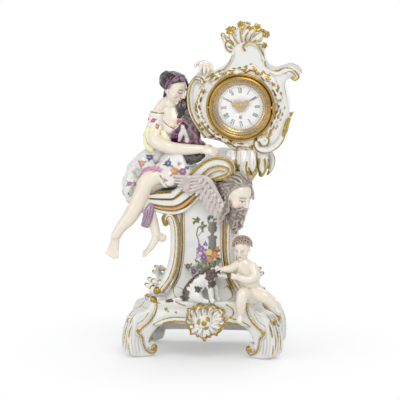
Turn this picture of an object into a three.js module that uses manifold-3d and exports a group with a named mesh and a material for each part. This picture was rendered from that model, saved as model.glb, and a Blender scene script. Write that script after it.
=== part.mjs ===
// A porcelain mantel clock with figures, in millimetres.
// X runs to the right of someone who faces the dial, -Y points at them, and +Z is up.
// The model is laid out from the middle of the pedestal at table height, and the last lines
// move it so that the origin lies under the middle of the whole clock.
import * as THREE from 'three';
import { mergeVertices } from 'three/addons/utils/BufferGeometryUtils.js';
import Module from 'manifold-3d';

const wasm = await Module();
wasm.setup();

// Plinth and feet
const PLINTH_HALF_WIDTH = 82;
const PLINTH_HALF_DEPTH = 64;
const PLINTH_HEIGHT = 78;
const APRON_CLEARANCE = 15;
const PORCELAIN_WALL = 6;
const ARCH_HALF_WIDTH = 71;
const ARCH_HEIGHT = 48;
const FOOT_REACH = 51;
const FOOT_THICKNESS = 30;
const FOOT_TURN = 28;

// Pedestal and the ribbed cornice on it
const PEDESTAL_HALF_WIDTH = 33;
const PEDESTAL_HALF_DEPTH = 40;
const PEDESTAL_FLARE = 21;
const PEDESTAL_HEIGHT = 132;
const PILASTER_THICKNESS = 15;
const CORNICE_THICKNESS = 28;
const CORNICE_RISE = 41;
const CORNICE_FAN = 12;
const CORNICE_OVERHANG = 8;

// Clock head: the middle of its dial above the cornice, and its case
const DIAL_OFFSET = 51;
const DIAL_RISE = 133;
const CASE_FRONT = -30;
const CASE_DEPTH = 54;
const CASE_BORE = 42;

// Bezel, dial and hands
const FLANGE_RADIUS = 47;
const FLANGE_THICKNESS = 3.2;
const BEZEL_RADIUS = 43.5;
const BEZEL_PROUD = 10;
const DIAL_WINDOW_RADIUS = 31;
const DIAL_RADIUS = 38.5;
const DIAL_THICKNESS = 2;
const MINUTE_HAND_LENGTH = 27;
const HOUR_HAND_LENGTH = 22;
const HINGE_PIN_RADIUS = 1.2;

// Movement: plates, wheels and their teeth
const PLATE_RADIUS = 33;
const PLATE_THICKNESS = 1.8;
const PLATE_SPACING = 21;
const ARBOR_RADIUS = 1;
const WINDING_DROP = 14;
const BARREL_TEETH = 36;
const CENTRE_LEAVES = 6;
const CENTRE_TEETH = 36;
const THIRD_LEAVES = 6;
const THIRD_TEETH = 24;
const THIRD_DISTANCE = 12.25;
const CANNON_LEAVES = 8;
const MINUTE_TEETH = 24;
const MINUTE_LEAVES = 6;
const HOUR_TEETH = 24;
const MOTION_DISTANCE = 8.8;
const BALANCE_RADIUS = 8;

// Room left between neighbours, and between parts that turn
const SEAT_GAP = 0.3;
const RUNNING_GAP = 0.4;

const TABLE = 0;
const SHAFT_TOP = PLINTH_HEIGHT + PEDESTAL_HEIGHT;
const DIAL = { x: DIAL_OFFSET, z: SHAFT_TOP + DIAL_RISE };
const CASE_BACK = CASE_FRONT + CASE_DEPTH;

const PORCELAIN = { color: 0xf2f1f0, roughness: 0.18, metalness: 0 };
const FLESH = { color: 0xeadccb, roughness: 0.22, metalness: 0 };
const BRASS = { color: 0xb98a3a, roughness: 0.28, metalness: 1 };
const STEEL = { color: 0x9a9ca0, roughness: 0.35, metalness: 1 };
const GILT = { color: 0xc79a35, roughness: 0.25, metalness: 1 };

// Solids from geometries and back

function solid(geometry) {
  const bare = geometry.clone();
  bare.deleteAttribute('normal');
  bare.deleteAttribute('uv');
  const merged = mergeVertices(bare, 1e-4);
  const corners = merged.index.array;
  const kept = [];
  for (let i = 0; i < corners.length; i += 3) {
    const [a, b, c] = [corners[i], corners[i + 1], corners[i + 2]];
    if (a !== b && b !== c && c !== a) kept.push(a, b, c);
  }
  return new wasm.Manifold(new wasm.Mesh({
    numProp: 3,
    vertProperties: new Float32Array(merged.attributes.position.array),
    triVerts: new Uint32Array(kept),
  }));
}

function geometryOf(points, corners) {
  const geometry = new THREE.BufferGeometry();
  geometry.setAttribute('position', new THREE.BufferAttribute(new Float32Array(points), 3));
  geometry.setIndex([...corners]);
  return geometry;
}

// How far a corner moves when all the faces round it move outwards: the least-squares meeting point
// of the moved faces, lengthened until no face round it has moved by less than the distance.
function cornerStep(normals, distance) {
  const sum = new THREE.Vector3();
  const m = [1e-4, 0, 0, 0, 1e-4, 0, 0, 0, 1e-4];
  normals.forEach((normal) => {
    sum.add(normal);
    const n = normal.toArray();
    for (let i = 0; i < 9; i += 1) m[i] += n[i % 3] * n[Math.floor(i / 3)];
  });
  const step = sum.applyMatrix3(new THREE.Matrix3().set(...m).invert()).multiplyScalar(distance);
  const least = Math.min(...normals.map((normal) => normal.dot(step)));
  if (least > 0.2 * distance) step.multiplyScalar(Math.max(1, distance / least));
  return step.clampLength(0, 4 * distance);
}

// The same body with every face moved outwards, used to cut a seat for it in its neighbour.
function grown(body, distance) {
  const mesh = body.getMesh();
  const points = mesh.vertProperties;
  const corners = mesh.triVerts;
  const count = points.length / 3;
  const around = Array.from({ length: count }, () => []);
  const [a, b, c, u, v] = Array.from({ length: 5 }, () => new THREE.Vector3());
  for (let i = 0; i < corners.length; i += 3) {
    a.fromArray(points, 3 * corners[i]);
    b.fromArray(points, 3 * corners[i + 1]);
    c.fromArray(points, 3 * corners[i + 2]);
    const normal = new THREE.Vector3().crossVectors(u.subVectors(b, a), v.subVectors(c, a));
    if (normal.length() < 1e-7) continue;
    normal.normalize();
    for (let j = 0; j < 3; j += 1) around[corners[i + j]].push(normal);
  }
  const moved = new Float32Array(points);
  around.forEach((normals, i) => {
    const step = cornerStep(normals, distance);
    moved[3 * i] += step.x;
    moved[3 * i + 1] += step.y;
    moved[3 * i + 2] += step.z;
  });
  return new wasm.Manifold(new wasm.Mesh({ numProp: 3, vertProperties: moved, triVerts: corners }));
}

// The largest connected body of a solid, without the chips that a cut leaves.
function largest(body) {
  const { vertProperties: points, triVerts: corners } = body.getMesh();
  const parent = Array.from({ length: points.length / 3 }, (_, i) => i);
  const root = (i) => {
    let top = i;
    while (parent[top] !== top) top = parent[top];
    parent[i] = top;
    return top;
  };
  for (let i = 0; i < corners.length; i += 3) {
    parent[root(corners[i])] = root(corners[i + 1]);
    parent[root(corners[i + 1])] = root(corners[i + 2]);
  }
  const volumes = new Map();
  const [a, b, c] = Array.from({ length: 3 }, () => new THREE.Vector3());
  for (let i = 0; i < corners.length; i += 3) {
    a.fromArray(points, 3 * corners[i]);
    b.fromArray(points, 3 * corners[i + 1]);
    c.fromArray(points, 3 * corners[i + 2]);
    const name = root(corners[i]);
    volumes.set(name, (volumes.get(name) || 0) + a.dot(b.cross(c)) / 6);
  }
  const [best] = [...volumes].sort((one, other) => other[1] - one[1])[0];
  const kept = [...corners].filter((_, i) => root(corners[3 * Math.floor(i / 3)]) === best);
  return solid(geometryOf(points, kept));
}

function join(...bodies) {
  return bodies.reduce((whole, body) => whole.add(body));
}

// A piece cut back from its neighbours by the seat gap.
function seated(piece, ...neighbours) {
  const cut = neighbours.reduce((rest, body) => rest.subtract(grown(body, SEAT_GAP)), piece);
  return largest(cut);
}

// Forms

// Rings of equal count, closed at each end by a point.
function skin(rings, first, last) {
  const sides = rings[0].length;
  const points = [first, ...rings.flat(), last].flatMap((p) => [p.x, p.y, p.z]);
  const end = 1 + rings.length * sides;
  const corners = [];
  for (let j = 0; j < sides; j += 1) {
    const next = (j + 1) % sides;
    corners.push(0, 1 + next, 1 + j);
    corners.push(end, end - sides + j, end - sides + next);
    for (let i = 0; i + 1 < rings.length; i += 1) {
      const here = 1 + i * sides;
      const there = here + sides;
      corners.push(here + j, here + next, there + j, here + next, there + next, there + j);
    }
  }
  const body = solid(geometryOf(points, corners));
  return body.volume() > 0 ? body : solid(geometryOf(points, corners.reverse()));
}

// A limb: oval rings on a smooth line through stations [x, y, z, half width, half thickness].
// The thickness faces the direction given, and the ends are rounded.
function limb(stations, { sides = 8, steps = 2, facing = [0, -1, 0], from = [0, 0, 0] } = {}) {
  const anchor = new THREE.Vector3(...from);
  const spine = stations.map(([x, y, z]) => new THREE.Vector3(x, y, z).add(anchor));
  const line = new THREE.CatmullRomCurve3(spine, false, 'centripetal');
  const sizes = new THREE.CatmullRomCurve3(
    stations.map(([, , , a, b]) => new THREE.Vector3(a, b, 0)), false, 'catmullrom', 0.5);
  const count = (stations.length - 1) * steps;
  const front = new THREE.Vector3(...facing);
  const ring = (at, size, scale) => {
    const tangent = line.getTangent(at);
    const side = new THREE.Vector3().crossVectors(tangent, front).normalize();
    const face = new THREE.Vector3().crossVectors(side, tangent);
    return { tangent, loop: (middle) => Array.from({ length: sides }, (_, j) => {
      const turn = (2 * Math.PI * j) / sides;
      return middle.clone()
        .addScaledVector(side, Math.cos(turn) * size.x * scale)
        .addScaledVector(face, Math.sin(turn) * size.y * scale);
    }) };
  };
  const rings = [];
  for (let i = 0; i <= count; i += 1) {
    const at = i / count;
    rings.push(ring(at, sizes.getPoint(at), 1).loop(line.getPoint(at)));
  }
  const cap = (at, way) => {
    const size = sizes.getPoint(at);
    const reach = Math.min(size.x, size.y);
    const { tangent, loop } = ring(at, size, 0.72);
    const middle = line.getPoint(at).addScaledVector(tangent, way * reach * 0.6);
    const tip = line.getPoint(at).addScaledVector(tangent, way * reach * 0.9);
    return { loop: loop(middle), tip };
  };
  const start = cap(0, -1);
  const finish = cap(1, 1);
  return skin([start.loop, ...rings, finish.loop], start.tip, finish.tip);
}

function ball(centre, radii, turn = [0, 0, 0], detail = 10) {
  const geometry = new THREE.SphereGeometry(1, detail, Math.round(detail * 0.7));
  geometry.scale(...radii);
  geometry.rotateX(turn[0]);
  geometry.rotateY(turn[1]);
  geometry.rotateZ(turn[2]);
  geometry.translate(...centre);
  return solid(geometry);
}

// Upright rings of rounded rectangles [height, half width, half depth].
function tier(levels, power = 5, sides = 20) {
  const round = (value) => Math.sign(value) * Math.abs(value) ** (2 / power);
  const rings = levels.map(([z, a, b]) => Array.from({ length: sides }, (_, j) => {
    const turn = (2 * Math.PI * (j + 0.5)) / sides;
    return new THREE.Vector3(a * round(Math.cos(turn)), b * round(Math.sin(turn)), z);
  }));
  const middle = ([z]) => new THREE.Vector3(0, 0, z);
  return skin(rings, middle(levels[0]), middle(levels.at(-1)));
}

function smoothOutline(points, count) {
  const line = new THREE.CatmullRomCurve3(
    points.map(([x, z]) => new THREE.Vector3(x, z, 0)), true, 'centripetal');
  return line.getPoints(count).slice(0, -1).map((p) => new THREE.Vector2(p.x, p.y));
}

// An outline in the X-Z plane carried from near to far along Y, with its edges broken.
function slab(outline, near, far, edge = 0, holes = []) {
  const shape = new THREE.Shape(outline);
  holes.forEach((hole) => shape.holes.push(new THREE.Path(hole)));
  const geometry = new THREE.ExtrudeGeometry(shape, {
    depth: far - near - 2 * edge,
    bevelEnabled: edge > 0,
    bevelThickness: edge,
    bevelSize: edge,
    bevelOffset: -edge,
    bevelSegments: 1,
    steps: 1,
    curveSegments: 1,
  });
  geometry.rotateX(Math.PI / 2);
  geometry.translate(0, far - edge, 0);
  return solid(geometry);
}

function circle(x, z, radius, count) {
  return Array.from({ length: count }, (_, i) => {
    const turn = (2 * Math.PI * (i + 0.5)) / count;
    return new THREE.Vector2(x + radius * Math.cos(turn), z + radius * Math.sin(turn));
  });
}

// A turned piece about the line through (x, z) along Y; its profile is a list of [radius, y].
function turned(profile, x, z, count = 24) {
  const points = profile.map(([radius, y]) => new THREE.Vector2(radius, y));
  const geometry = new THREE.LatheGeometry([...points, points[0]], count);
  geometry.translate(x, 0, z);
  const body = solid(geometry);
  if (body.volume() > 0) return body;
  return solid(new THREE.LatheGeometry([...points, points[0]].reverse(), count).translate(x, 0, z));
}

function rod(x, z, radius, near, far, count = 12) {
  const geometry = new THREE.CylinderGeometry(radius, radius, far - near, count);
  return solid(geometry.translate(x, (near + far) / 2, z));
}

function post(x, y, radius, low, high, count = 8) {
  const geometry = new THREE.CylinderGeometry(radius, radius, high - low, count);
  return solid(geometry.rotateX(Math.PI / 2).translate(x, y, (low + high) / 2));
}

function block(low, high) {
  const size = high.map((value, i) => value - low[i]);
  const centre = high.map((value, i) => (value + low[i]) / 2);
  return solid(new THREE.BoxGeometry(...size).translate(...centre));
}

// Plinth

function plinthLevels(inset) {
  const w = PLINTH_HALF_WIDTH - inset;
  const d = PLINTH_HALF_DEPTH - inset;
  const rise = PLINTH_HEIGHT - APRON_CLEARANCE;
  const at = (share) => APRON_CLEARANCE + share * rise;
  return [
    [at(0), w, d - 1],
    [at(0.45), w - 1, d - 1],
    [at(0.82), w - 10, d - 4],
    [at(0.93), w - 14, d],
    [at(1), w - 15, d],
  ];
}

function makePlinthForm() {
  return tier(plinthLevels(0));
}

function archOutline(halfWidth) {
  const line = [[-1, -0.3], [-1.02, 0.5], [-0.87, 0.77], [-0.64, 0.95], [-0.3, 1]];
  const right = line.map(([x, z]) => [-x, z]).reverse();
  return [...line, ...right].map(([x, z]) => new THREE.Vector2(x * halfWidth, z * ARCH_HEIGHT));
}

function makePlinth() {
  const levels = plinthLevels(PORCELAIN_WALL);
  const roof = PLINTH_HEIGHT - PORCELAIN_WALL;
  const hollow = levels.filter(([z]) => z < roof);
  const last = hollow.at(-1);
  const cavity = tier([[TABLE, hollow[0][1], hollow[0][2]], ...hollow, [roof, last[1] - 3, last[2]]]);
  const inside = PLINTH_HALF_DEPTH - 2 * PORCELAIN_WALL;
  const front = slab(archOutline(ARCH_HALF_WIDTH), -PLINTH_HALF_DEPTH - PORCELAIN_WALL, -inside);
  const sideHalf = ARCH_HALF_WIDTH - (PLINTH_HALF_WIDTH - PLINTH_HALF_DEPTH);
  const across = new THREE.ExtrudeGeometry(new THREE.Shape(archOutline(sideHalf)), {
    depth: 2 * (PLINTH_HALF_WIDTH + PORCELAIN_WALL), bevelEnabled: false, steps: 1, curveSegments: 1,
  });
  across.rotateX(Math.PI / 2).rotateZ(Math.PI / 2);
  across.translate(-PLINTH_HALF_WIDTH - PORCELAIN_WALL, 0, 0);
  const shaftHole = block(
    [PORCELAIN_WALL - PEDESTAL_HALF_WIDTH, PORCELAIN_WALL - PEDESTAL_HALF_DEPTH, roof - 2],
    [PEDESTAL_HALF_WIDTH - PORCELAIN_WALL, PEDESTAL_HALF_DEPTH - PORCELAIN_WALL, PLINTH_HEIGHT + 2]);
  return largest(makePlinthForm().subtract(cavity).subtract(front).subtract(solid(across))
    .subtract(shaftHole));
}

// A scroll foot, drawn as shares of its reach and of the plinth's height, then turned outwards.
function makeFoot(right, back, ...neighbours) {
  const profile = [
    [-0.12, 1.02], [0.1, 1.07], [0.3, 0.99], [0.42, 0.84], [0.74, 0.77], [0.92, 0.56], [1, 0.28],
    [0.95, 0.07], [0.7, -0.02], [0.36, -0.01], [0.19, 0.06], [0.16, 0.17], [0.27, 0.26],
    [0.4, 0.25], [0.33, 0.38], [0.12, 0.52], [-0.2, 0.6], [-0.25, 0.85],
  ];
  const points = profile.map(([u, z]) => [u * FOOT_REACH, z * PLINTH_HEIGHT]);
  const half = FOOT_THICKNESS / 2;
  const outline = smoothOutline(points, 24);
  const blank = slab(outline, -half, half, 3);
  const mesh = blank.getMesh();
  const geometry = geometryOf(mesh.vertProperties, mesh.triVerts);
  const turn = THREE.MathUtils.degToRad(FOOT_TURN);
  const signX = right ? 1 : -1;
  const signY = back ? 1 : -1;
  const pivotX = PLINTH_HALF_WIDTH - 22;
  const pivotY = PLINTH_HALF_DEPTH - 29;
  const heading = Math.atan2(signY * Math.sin(turn), signX * Math.cos(turn));
  geometry.rotateZ(heading).translate(signX * pivotX, signY * pivotY, 0);
  const floor = block([-300, -300, TABLE - 50], [300, 300, TABLE]);
  return seated(solid(geometry).subtract(floor), ...neighbours);
}

function makeCartouche(plinth) {
  const points = [
    [4, 27], [14, 33], [24, 36], [29, 45], [35, 52], [32, 61], [34, 70], [24, 72], [16, 77],
    [7, 73], [-3, 76], [-9, 70], [-19, 70], [-18, 61], [-21, 52], [-15, 44], [-14, 36], [-6, 33],
  ];
  const scale = PLINTH_HEIGHT / 78;
  const outline = smoothOutline(points.map(([x, z]) => [x, z * scale]), 32);
  const face = -PLINTH_HALF_DEPTH;
  const shell = slab(outline, face - 6, face + 5, 2);
  const boss = ball([5, face - 6, 51 * scale], [9, 4.5, 9], [0, 0, 0], 8);
  return seated(join(shell, boss), plinth);
}

// Pedestal and pilasters

function pedestalLevels(inset) {
  const w = PEDESTAL_HALF_WIDTH - inset;
  const d = PEDESTAL_HALF_DEPTH - inset;
  const flare = [[0, 1], [0.1, 0.62], [0.25, 0.32], [0.45, 0.12], [0.65, 0]];
  const shaft = flare.map(([rise, share]) => [
    PLINTH_HEIGHT + SEAT_GAP + rise * PEDESTAL_HEIGHT,
    w + share * PEDESTAL_FLARE,
    d + share * PEDESTAL_FLARE * 0.45,
  ]);
  return [...shaft, [SHAFT_TOP + CORNICE_THICKNESS, w, d]];
}

function makePedestal(cornice) {
  const inside = pedestalLevels(PORCELAIN_WALL);
  const floor = [PLINTH_HEIGHT - 1, inside[0][1], inside[0][2]];
  const roof = SHAFT_TOP - CORNICE_THICKNESS;
  const cavity = [floor, ...inside.filter(([z]) => z < roof), [roof, ...inside.at(-1).slice(1)]];
  return seated(tier(pedestalLevels(0), 7).subtract(tier(cavity, 7, 12)), cornice);
}

// A C-scroll on one corner of the shaft: curled out at its head, and sweeping out to a curl below.
function makePilaster(right, back, ...neighbours) {
  const w = PEDESTAL_HALF_WIDTH;
  const d = PEDESTAL_HALF_DEPTH;
  const a = PILASTER_THICKNESS / 2;
  const h = PEDESTAL_HEIGHT;
  const z = PLINTH_HEIGHT;
  const path = [
    [w + 19, d, z + 0.79 * h, 0.5 * a, 8], [w + 18, d, z + 0.86 * h, 0.7 * a, 9],
    [w + 11, d - 1, z + 0.88 * h, 0.8 * a, 9], [w + 5, d - 2, z + 0.8 * h, a, 9],
    [w + 4, d - 2, z + 0.62 * h, a, 9], [w + 6, d, z + 0.42 * h, a, 9],
    [w + 13, d + 3, z + 0.24 * h, a, 9], [w + 25, d + 7, z + 0.11 * h, a, 10],
    [w + 36, d + 9, z + 0.1 * h, 0.8 * a, 9], [w + 37, d + 9, z + 0.17 * h, 0.5 * a, 8],
  ];
  const signX = right ? 1 : -1;
  const signY = back ? 1 : -1;
  const stations = path.map(([x, y, up, wide, deep]) => [signX * x, signY * y, up, wide, deep]);
  return seated(limb(stations, { steps: 1, sides: 6 }), ...neighbours);
}

// Cornice: a ribbed band that sweeps up to the right and ends in a roll

// Its lower edge rises and its upper edge fans out towards the right.
function makeCornice() {
  const half = CORNICE_THICKNESS / 2;
  const lower = [[-74, 0.24], [-62, 0.08], [-49, 0], [-36, -0.02], [-22, 0.12], [-9, 0.42],
    [4, 0.74], [18, 1]];
  const upper = [[-75, 0], [-64, 0.2], [-52, 0.3], [-40, 0.45], [-30, 1.2], [-20, 2], [-8, 2.6],
    [10, 2.8]];
  const edge = (points, base, rise) => new THREE.CatmullRomCurve3(
    points.map(([x, share]) => new THREE.Vector3(x, 0, SHAFT_TOP + base + share * rise)),
    false, 'centripetal');
  const below = edge(lower, -half, CORNICE_RISE);
  const above = edge(upper, half, CORNICE_FAN);
  const front = -PEDESTAL_HALF_DEPTH - CORNICE_OVERHANG;
  const back = PEDESTAL_HALF_DEPTH + CORNICE_OVERHANG - 2;
  const rib = 3;
  const section = [
    [-1, front + rib], [-0.86, front], [-0.48, front], [-0.34, front + rib], [-0.2, front],
    [0.2, front], [0.34, front + rib], [0.48, front], [0.86, front], [1, front + rib],
    [1, back - rib], [0.86, back], [-0.86, back], [-1, back - rib],
  ];
  const steps = 9;
  const rings = Array.from({ length: steps + 1 }, (_, i) => {
    const low = below.getPoint(i / steps);
    const high = above.getPoint(i / steps);
    return section.map(([n, y]) => low.clone().lerp(high, (n + 1) / 2).setY(y));
  });
  const centre = (ring) => ring.reduce((sum, p) => sum.add(p), new THREE.Vector3())
    .divideScalar(ring.length);
  return skin(rings, centre(rings[0]), centre(rings.at(-1)));
}

function makeConsoleScroll(...neighbours) {
  const points = [
    [-15, 47], [-5, 56], [7, 63.5], [20, 68], [35, 65.5], [43, 58], [45, 47], [38.5, 39], [28, 34],
    [18, 33], [10, 24], [-4, 30], [-14, 38],
  ];
  const outline = smoothOutline(points.map(([x, up]) => [x, SHAFT_TOP + up]), 22);
  const front = -PEDESTAL_HALF_DEPTH - CORNICE_OVERHANG - 4;
  return seated(slab(outline, front, PEDESTAL_HALF_DEPTH, 2.5), ...neighbours);
}

// Clock case, from the middle of its dial

function makeCase() {
  const points = [
    [-12, 78], [-13, 67], [-18, 58], [-26, 53], [-38, 44], [-50, 43], [-61, 43], [-70, 29],
    [-73, 10], [-69, -11], [-60, -27], [-50, -42], [-32, -47], [-22, -51], [-14, -58], [20, -62],
    [34, -61], [48, -54], [56, -44], [62, -31], [65, -17], [66, 2], [62, 18], [60, 32], [65, 39],
    [71, 39], [77, 37], [80, 43], [74, 51], [64, 55], [54, 53], [45, 50], [36, 54], [32, 62],
    [30, 76], [20, 86], [2, 88],
  ];
  const outline = smoothOutline(points.map(([x, z]) => [DIAL.x + x, DIAL.z + z]), 54);
  const body = slab(outline, CASE_FRONT, CASE_BACK, 3);
  const bore = rod(DIAL.x, DIAL.z, CASE_BORE, CASE_FRONT - 12, CASE_BACK + 5, 24);
  const face = [DIAL.x, CASE_FRONT, DIAL.z];
  const scroll = (...stations) => limb(stations, { sides: 6, steps: 1, from: face });
  const leftScroll = scroll([-48, 0, 29, 3, 3], [-55, -1, 36, 4, 4], [-64, -1, 31, 4.5, 5],
    [-68, -1, 12, 4.5, 5], [-65, -1, -9, 4.5, 5], [-55, -1, -26, 4.5, 5], [-46, -1, -38, 4, 4]);
  const rightScroll = scroll([36, 0, -48, 3, 3], [28, -1, -47, 4, 4], [20, -1, -53, 4, 5],
    [28, -1, -57, 4.5, 5], [44, -1, -51, 4.5, 5], [55, -1, -37, 4.5, 5], [60, -1, -20, 4, 4],
    [66, 0, -2, 3, 3]);
  return largest(join(body, leftScroll, rightScroll).subtract(bore));
}

function makeCrest(clockCase) {
  const root = [DIAL.x, -2, DIAL.z];
  const frond = (...stations) => limb(stations, { steps: 1, sides: 5, from: root });
  return seated(join(
    limb([[-12, 0, 84, 11, 9], [6, 0, 95, 17, 12], [26, 0, 90, 9, 8]], { sides: 6, from: root }),
    frond([-8, -6, 84, 7, 6], [-19, -7, 92, 6, 6], [-24, -6, 101, 4, 3.5]),
    frond([0, -7, 90, 7, 6], [-7, -9, 101, 6, 5], [-14, -8, 110, 3.5, 3]),
    frond([6, -8, 92, 7, 6], [5, -10, 105, 6, 5], [1, -8, 116, 3.5, 3]),
    frond([12, -8, 91, 7, 6], [18, -9, 103, 6, 5], [17, -8, 112, 3.5, 3]),
    frond([18, -6, 90, 7, 6], [28, -7, 97, 5.5, 5], [33, -6, 106, 3.5, 3]),
  ), clockCase);
}

function makeBracket(...neighbours) {
  const root = [DIAL.x, 0, DIAL.z - 62];
  const leaf = (...stations) => limb(stations, { steps: 1, sides: 5, from: root });
  return seated(join(
    limb([[8, -8, -40, 9, 10], [10, -9, -24, 17, 15], [12, -10, -8, 25, 19], [12, -9, 6, 27, 21]],
      { sides: 8, steps: 1, from: root }),
    leaf([-10, -26, -4, 7, 4], [-12, -31, -16, 7, 3.5], [-9, -30, -30, 3, 2.5]),
    leaf([6, -28, -4, 9, 4], [6, -33, -19, 9, 4], [8, -31, -39, 4, 3]),
    leaf([22, -27, -4, 8, 4], [25, -31, -17, 7, 3.5], [22, -29, -31, 3, 2.5]),
    leaf([34, -16, -4, 6, 6], [38, -18, -16, 5, 6], [35, -19, -28, 2.5, 3]),
  ), ...neighbours);
}

// Bearded old man at the right front corner of the shaft, under the bracket. He looks down to
// the right, his hair is swept back from the forehead, and his beard falls below the jaw.

function makeElder(...neighbours) {
  const root = [PEDESTAL_HALF_WIDTH + 22, -PEDESTAL_HALF_DEPTH + 2, SHAFT_TOP];
  const at = (x, y, z) => [root[0] + x, root[1] + y, root[2] + z];
  const lock = (...stations) => limb(stations, { sides: 6, steps: 1, from: root });
  return seated(join(
    ball(at(-7, -7, 13), [18, 18, 19.5], [0, 0.2, 0], 11),
    ball(at(-2, -9, 1), [13.5, 14, 14], [0, 0, 0], 9),
    limb([[3, -18, 11, 2.6, 2.4], [8, -21, 2, 3.2, 2.8], [5, -19, -2, 2.6, 2.4]],
      { sides: 5, steps: 1, from: root }),
    ball(at(-18, -2, 18), [17, 15, 14], [0, 0.4, 0], 9),
    lock([-30, -8, 28, 5, 5], [-35, -8, 21, 6, 5.5], [-38, -8, 12, 4, 4]),
    lock([-18, -6, 30, 8, 8], [-29, -7, 19, 9.5, 8], [-31, -9, 4, 8.5, 7.5], [-24, -9, -8, 7, 7],
      [-18, -9, -20, 6, 6]),
    lock([4, -7, 26, 6, 6], [10, -4, 17, 6, 5.5], [13, -3, 8, 4.5, 4.5]),
    lock([-6, -12, -7, 13.5, 11.5], [-8, -12, -18, 14, 11.5], [-9, -11, -28, 11, 9],
      [-9, -10, -38, 5, 5]),
  ), ...neighbours);
}

function makeWing(...neighbours) {
  const root = [0, -PEDESTAL_HALF_DEPTH - CORNICE_OVERHANG - 4, SHAFT_TOP];
  const path = [
    [-46, 0, 37, 3, 1.6], [-28, -1, 34, 6, 2.6], [-8, -3, 34, 9, 3.6], [6, -4, 26, 11, 4],
    [13, -4, 10, 12, 4], [18, -4, -6, 8, 3.4], [21, -3, -18, 3, 2.2],
  ];
  return seated(limb(path, { steps: 1, from: root }), ...neighbours);
}

// Lady on the left end of the cornice

function makeLady(cornice, clockCase, consoleScroll) {
  const seat = [-38, 0, SHAFT_TOP + CORNICE_THICKNESS / 2];
  const part = (stations, options = {}) => limb(stations, { from: seat, ...options });
  const at = (x, y, z) => [seat[0] + x, seat[1] + y, seat[2] + z];
  const torso = part([[0, -4, 36, 24, 19], [-4, -5, 62, 17, 14], [-6, -11, 90, 22, 17],
    [-6, -8, 112, 24, 12], [-4, -6, 121, 12, 10], [-3, -7, 134, 8.6, 8.6]], { sides: 10, steps: 1 });
  const head = join(
    ball(at(-3.5, -12, 150), [18.5, 17.5, 17], [0.1, 0.3, 0], 10),
    ball(at(-1.5, -14, 136), [12.5, 12.5, 15], [0.1, 0.3, 0], 9),
    limb([[11, -21, 140, 1.8, 1.8], [13, -22.5, 132, 2.4, 2.2]], { sides: 4, steps: 1, from: seat }),
    ball(at(-19, -3, 154), [9.5, 9, 11], [0, 0, 0], 8),
    part([[6, -18, 130, 5.5, 5], [7.5, -19, 118, 6.5, 5], [4, -20, 107, 3.5, 3.5]],
      { sides: 5, steps: 1 }));
  const nearLeg = part([
    [-14, -34, 25, 13, 13], [-28, -46, 20, 12.5, 12.5], [-42, -46, 0, 12, 12.5],
    [-61, -47, -26, 11, 11], [-78, -49, -51, 7.5, 7.5], [-82, -51, -61, 7.5, 7],
    [-87, -56, -72, 8.5, 5.5], [-88, -61, -81, 7, 4]], { steps: 1 });
  const farLeg = join(
    part([[-2, -30, 20, 12, 12], [-24, -32, 16, 12, 12], [-41, -36, 2, 10.5, 10.5],
      [-39, -40, -14, 9.5, 10], [-34, -43, -29, 8.5, 9], [-28, -45, -45, 7, 7.5],
      [-24.5, -46, -57, 6.5, 6.5], [-31, -49, -69, 7.5, 5.5], [-41, -54, -80, 7, 4.5],
      [-47, -58, -88, 5, 3.5]], { steps: 1 }),
    ball(at(-17, -45, -62), [6, 6, 6.5], [0, 0, 0], 7));
  const nearArm = part([[-27, -12, 106, 10, 10], [-27, -22, 84, 10, 10], [-19, -32, 66, 9.5, 9.5],
    [8, -38, 62, 7, 7], [34, -40, 61, 4.5, 4.5], [52, -40, 56, 5.5, 3]], { sides: 7, steps: 1 });
  const farArm = part([[16, 4, 108, 7.5, 7.5], [24, 22, 112, 7, 7], [30, 36, 122, 6.5, 6.5],
    [34, 36, 146, 5.5, 5.5], [37, 22, 167, 4.5, 4.5], [40, 2, 173, 5.5, 4.5],
    [46, -22, 172, 5.5, 3.5], [52, -34, 164, 4, 3]], { facing: [1, 0, 0], sides: 7, steps: 1 });
  const skirt = join(
    ball(at(-8, -8, 26), [40, 30, 28], [0, 0.1, 0], 11),
    ball(at(-46, -14, 36), [20, 24, 22], [0, 0, 0], 8),
    ball(at(-57, -16, 6), [12, 18, 26], [0, 0.25, 0], 8),
    ball(at(14, -26, 26), [20, 20, 14], [0, 0, 0], 8));
  const cloak = part([[12, -14, 62, 8, 8], [18, -16, 80, 14, 10], [8, -14, 96, 7, 6]]);
  const seatedSkirt = seated(skirt, cornice, consoleScroll);
  const bodice = seated(torso, seatedSkirt, clockCase);
  const seatedHead = seated(head, bodice, clockCase);
  const legs = [nearLeg, farLeg].map((leg) => seated(leg, seatedSkirt, cornice));
  const arms = [nearArm, farArm].map((arm) => seated(arm, bodice, seatedSkirt, clockCase));
  return {
    lady_torso: bodice,
    lady_head: seatedHead,
    lady_right_arm: seated(arms[0], consoleScroll),
    lady_left_arm: seated(arms[1], seatedHead),
    lady_right_leg: legs[0],
    lady_left_leg: seated(legs[1], legs[0]),
    lady_skirt: seatedSkirt,
    lady_cloak: seated(cloak, bodice, seatedSkirt, clockCase, consoleScroll, ...arms),
  };
}

// Putto on the right front foot, and the dog beside him

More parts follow.
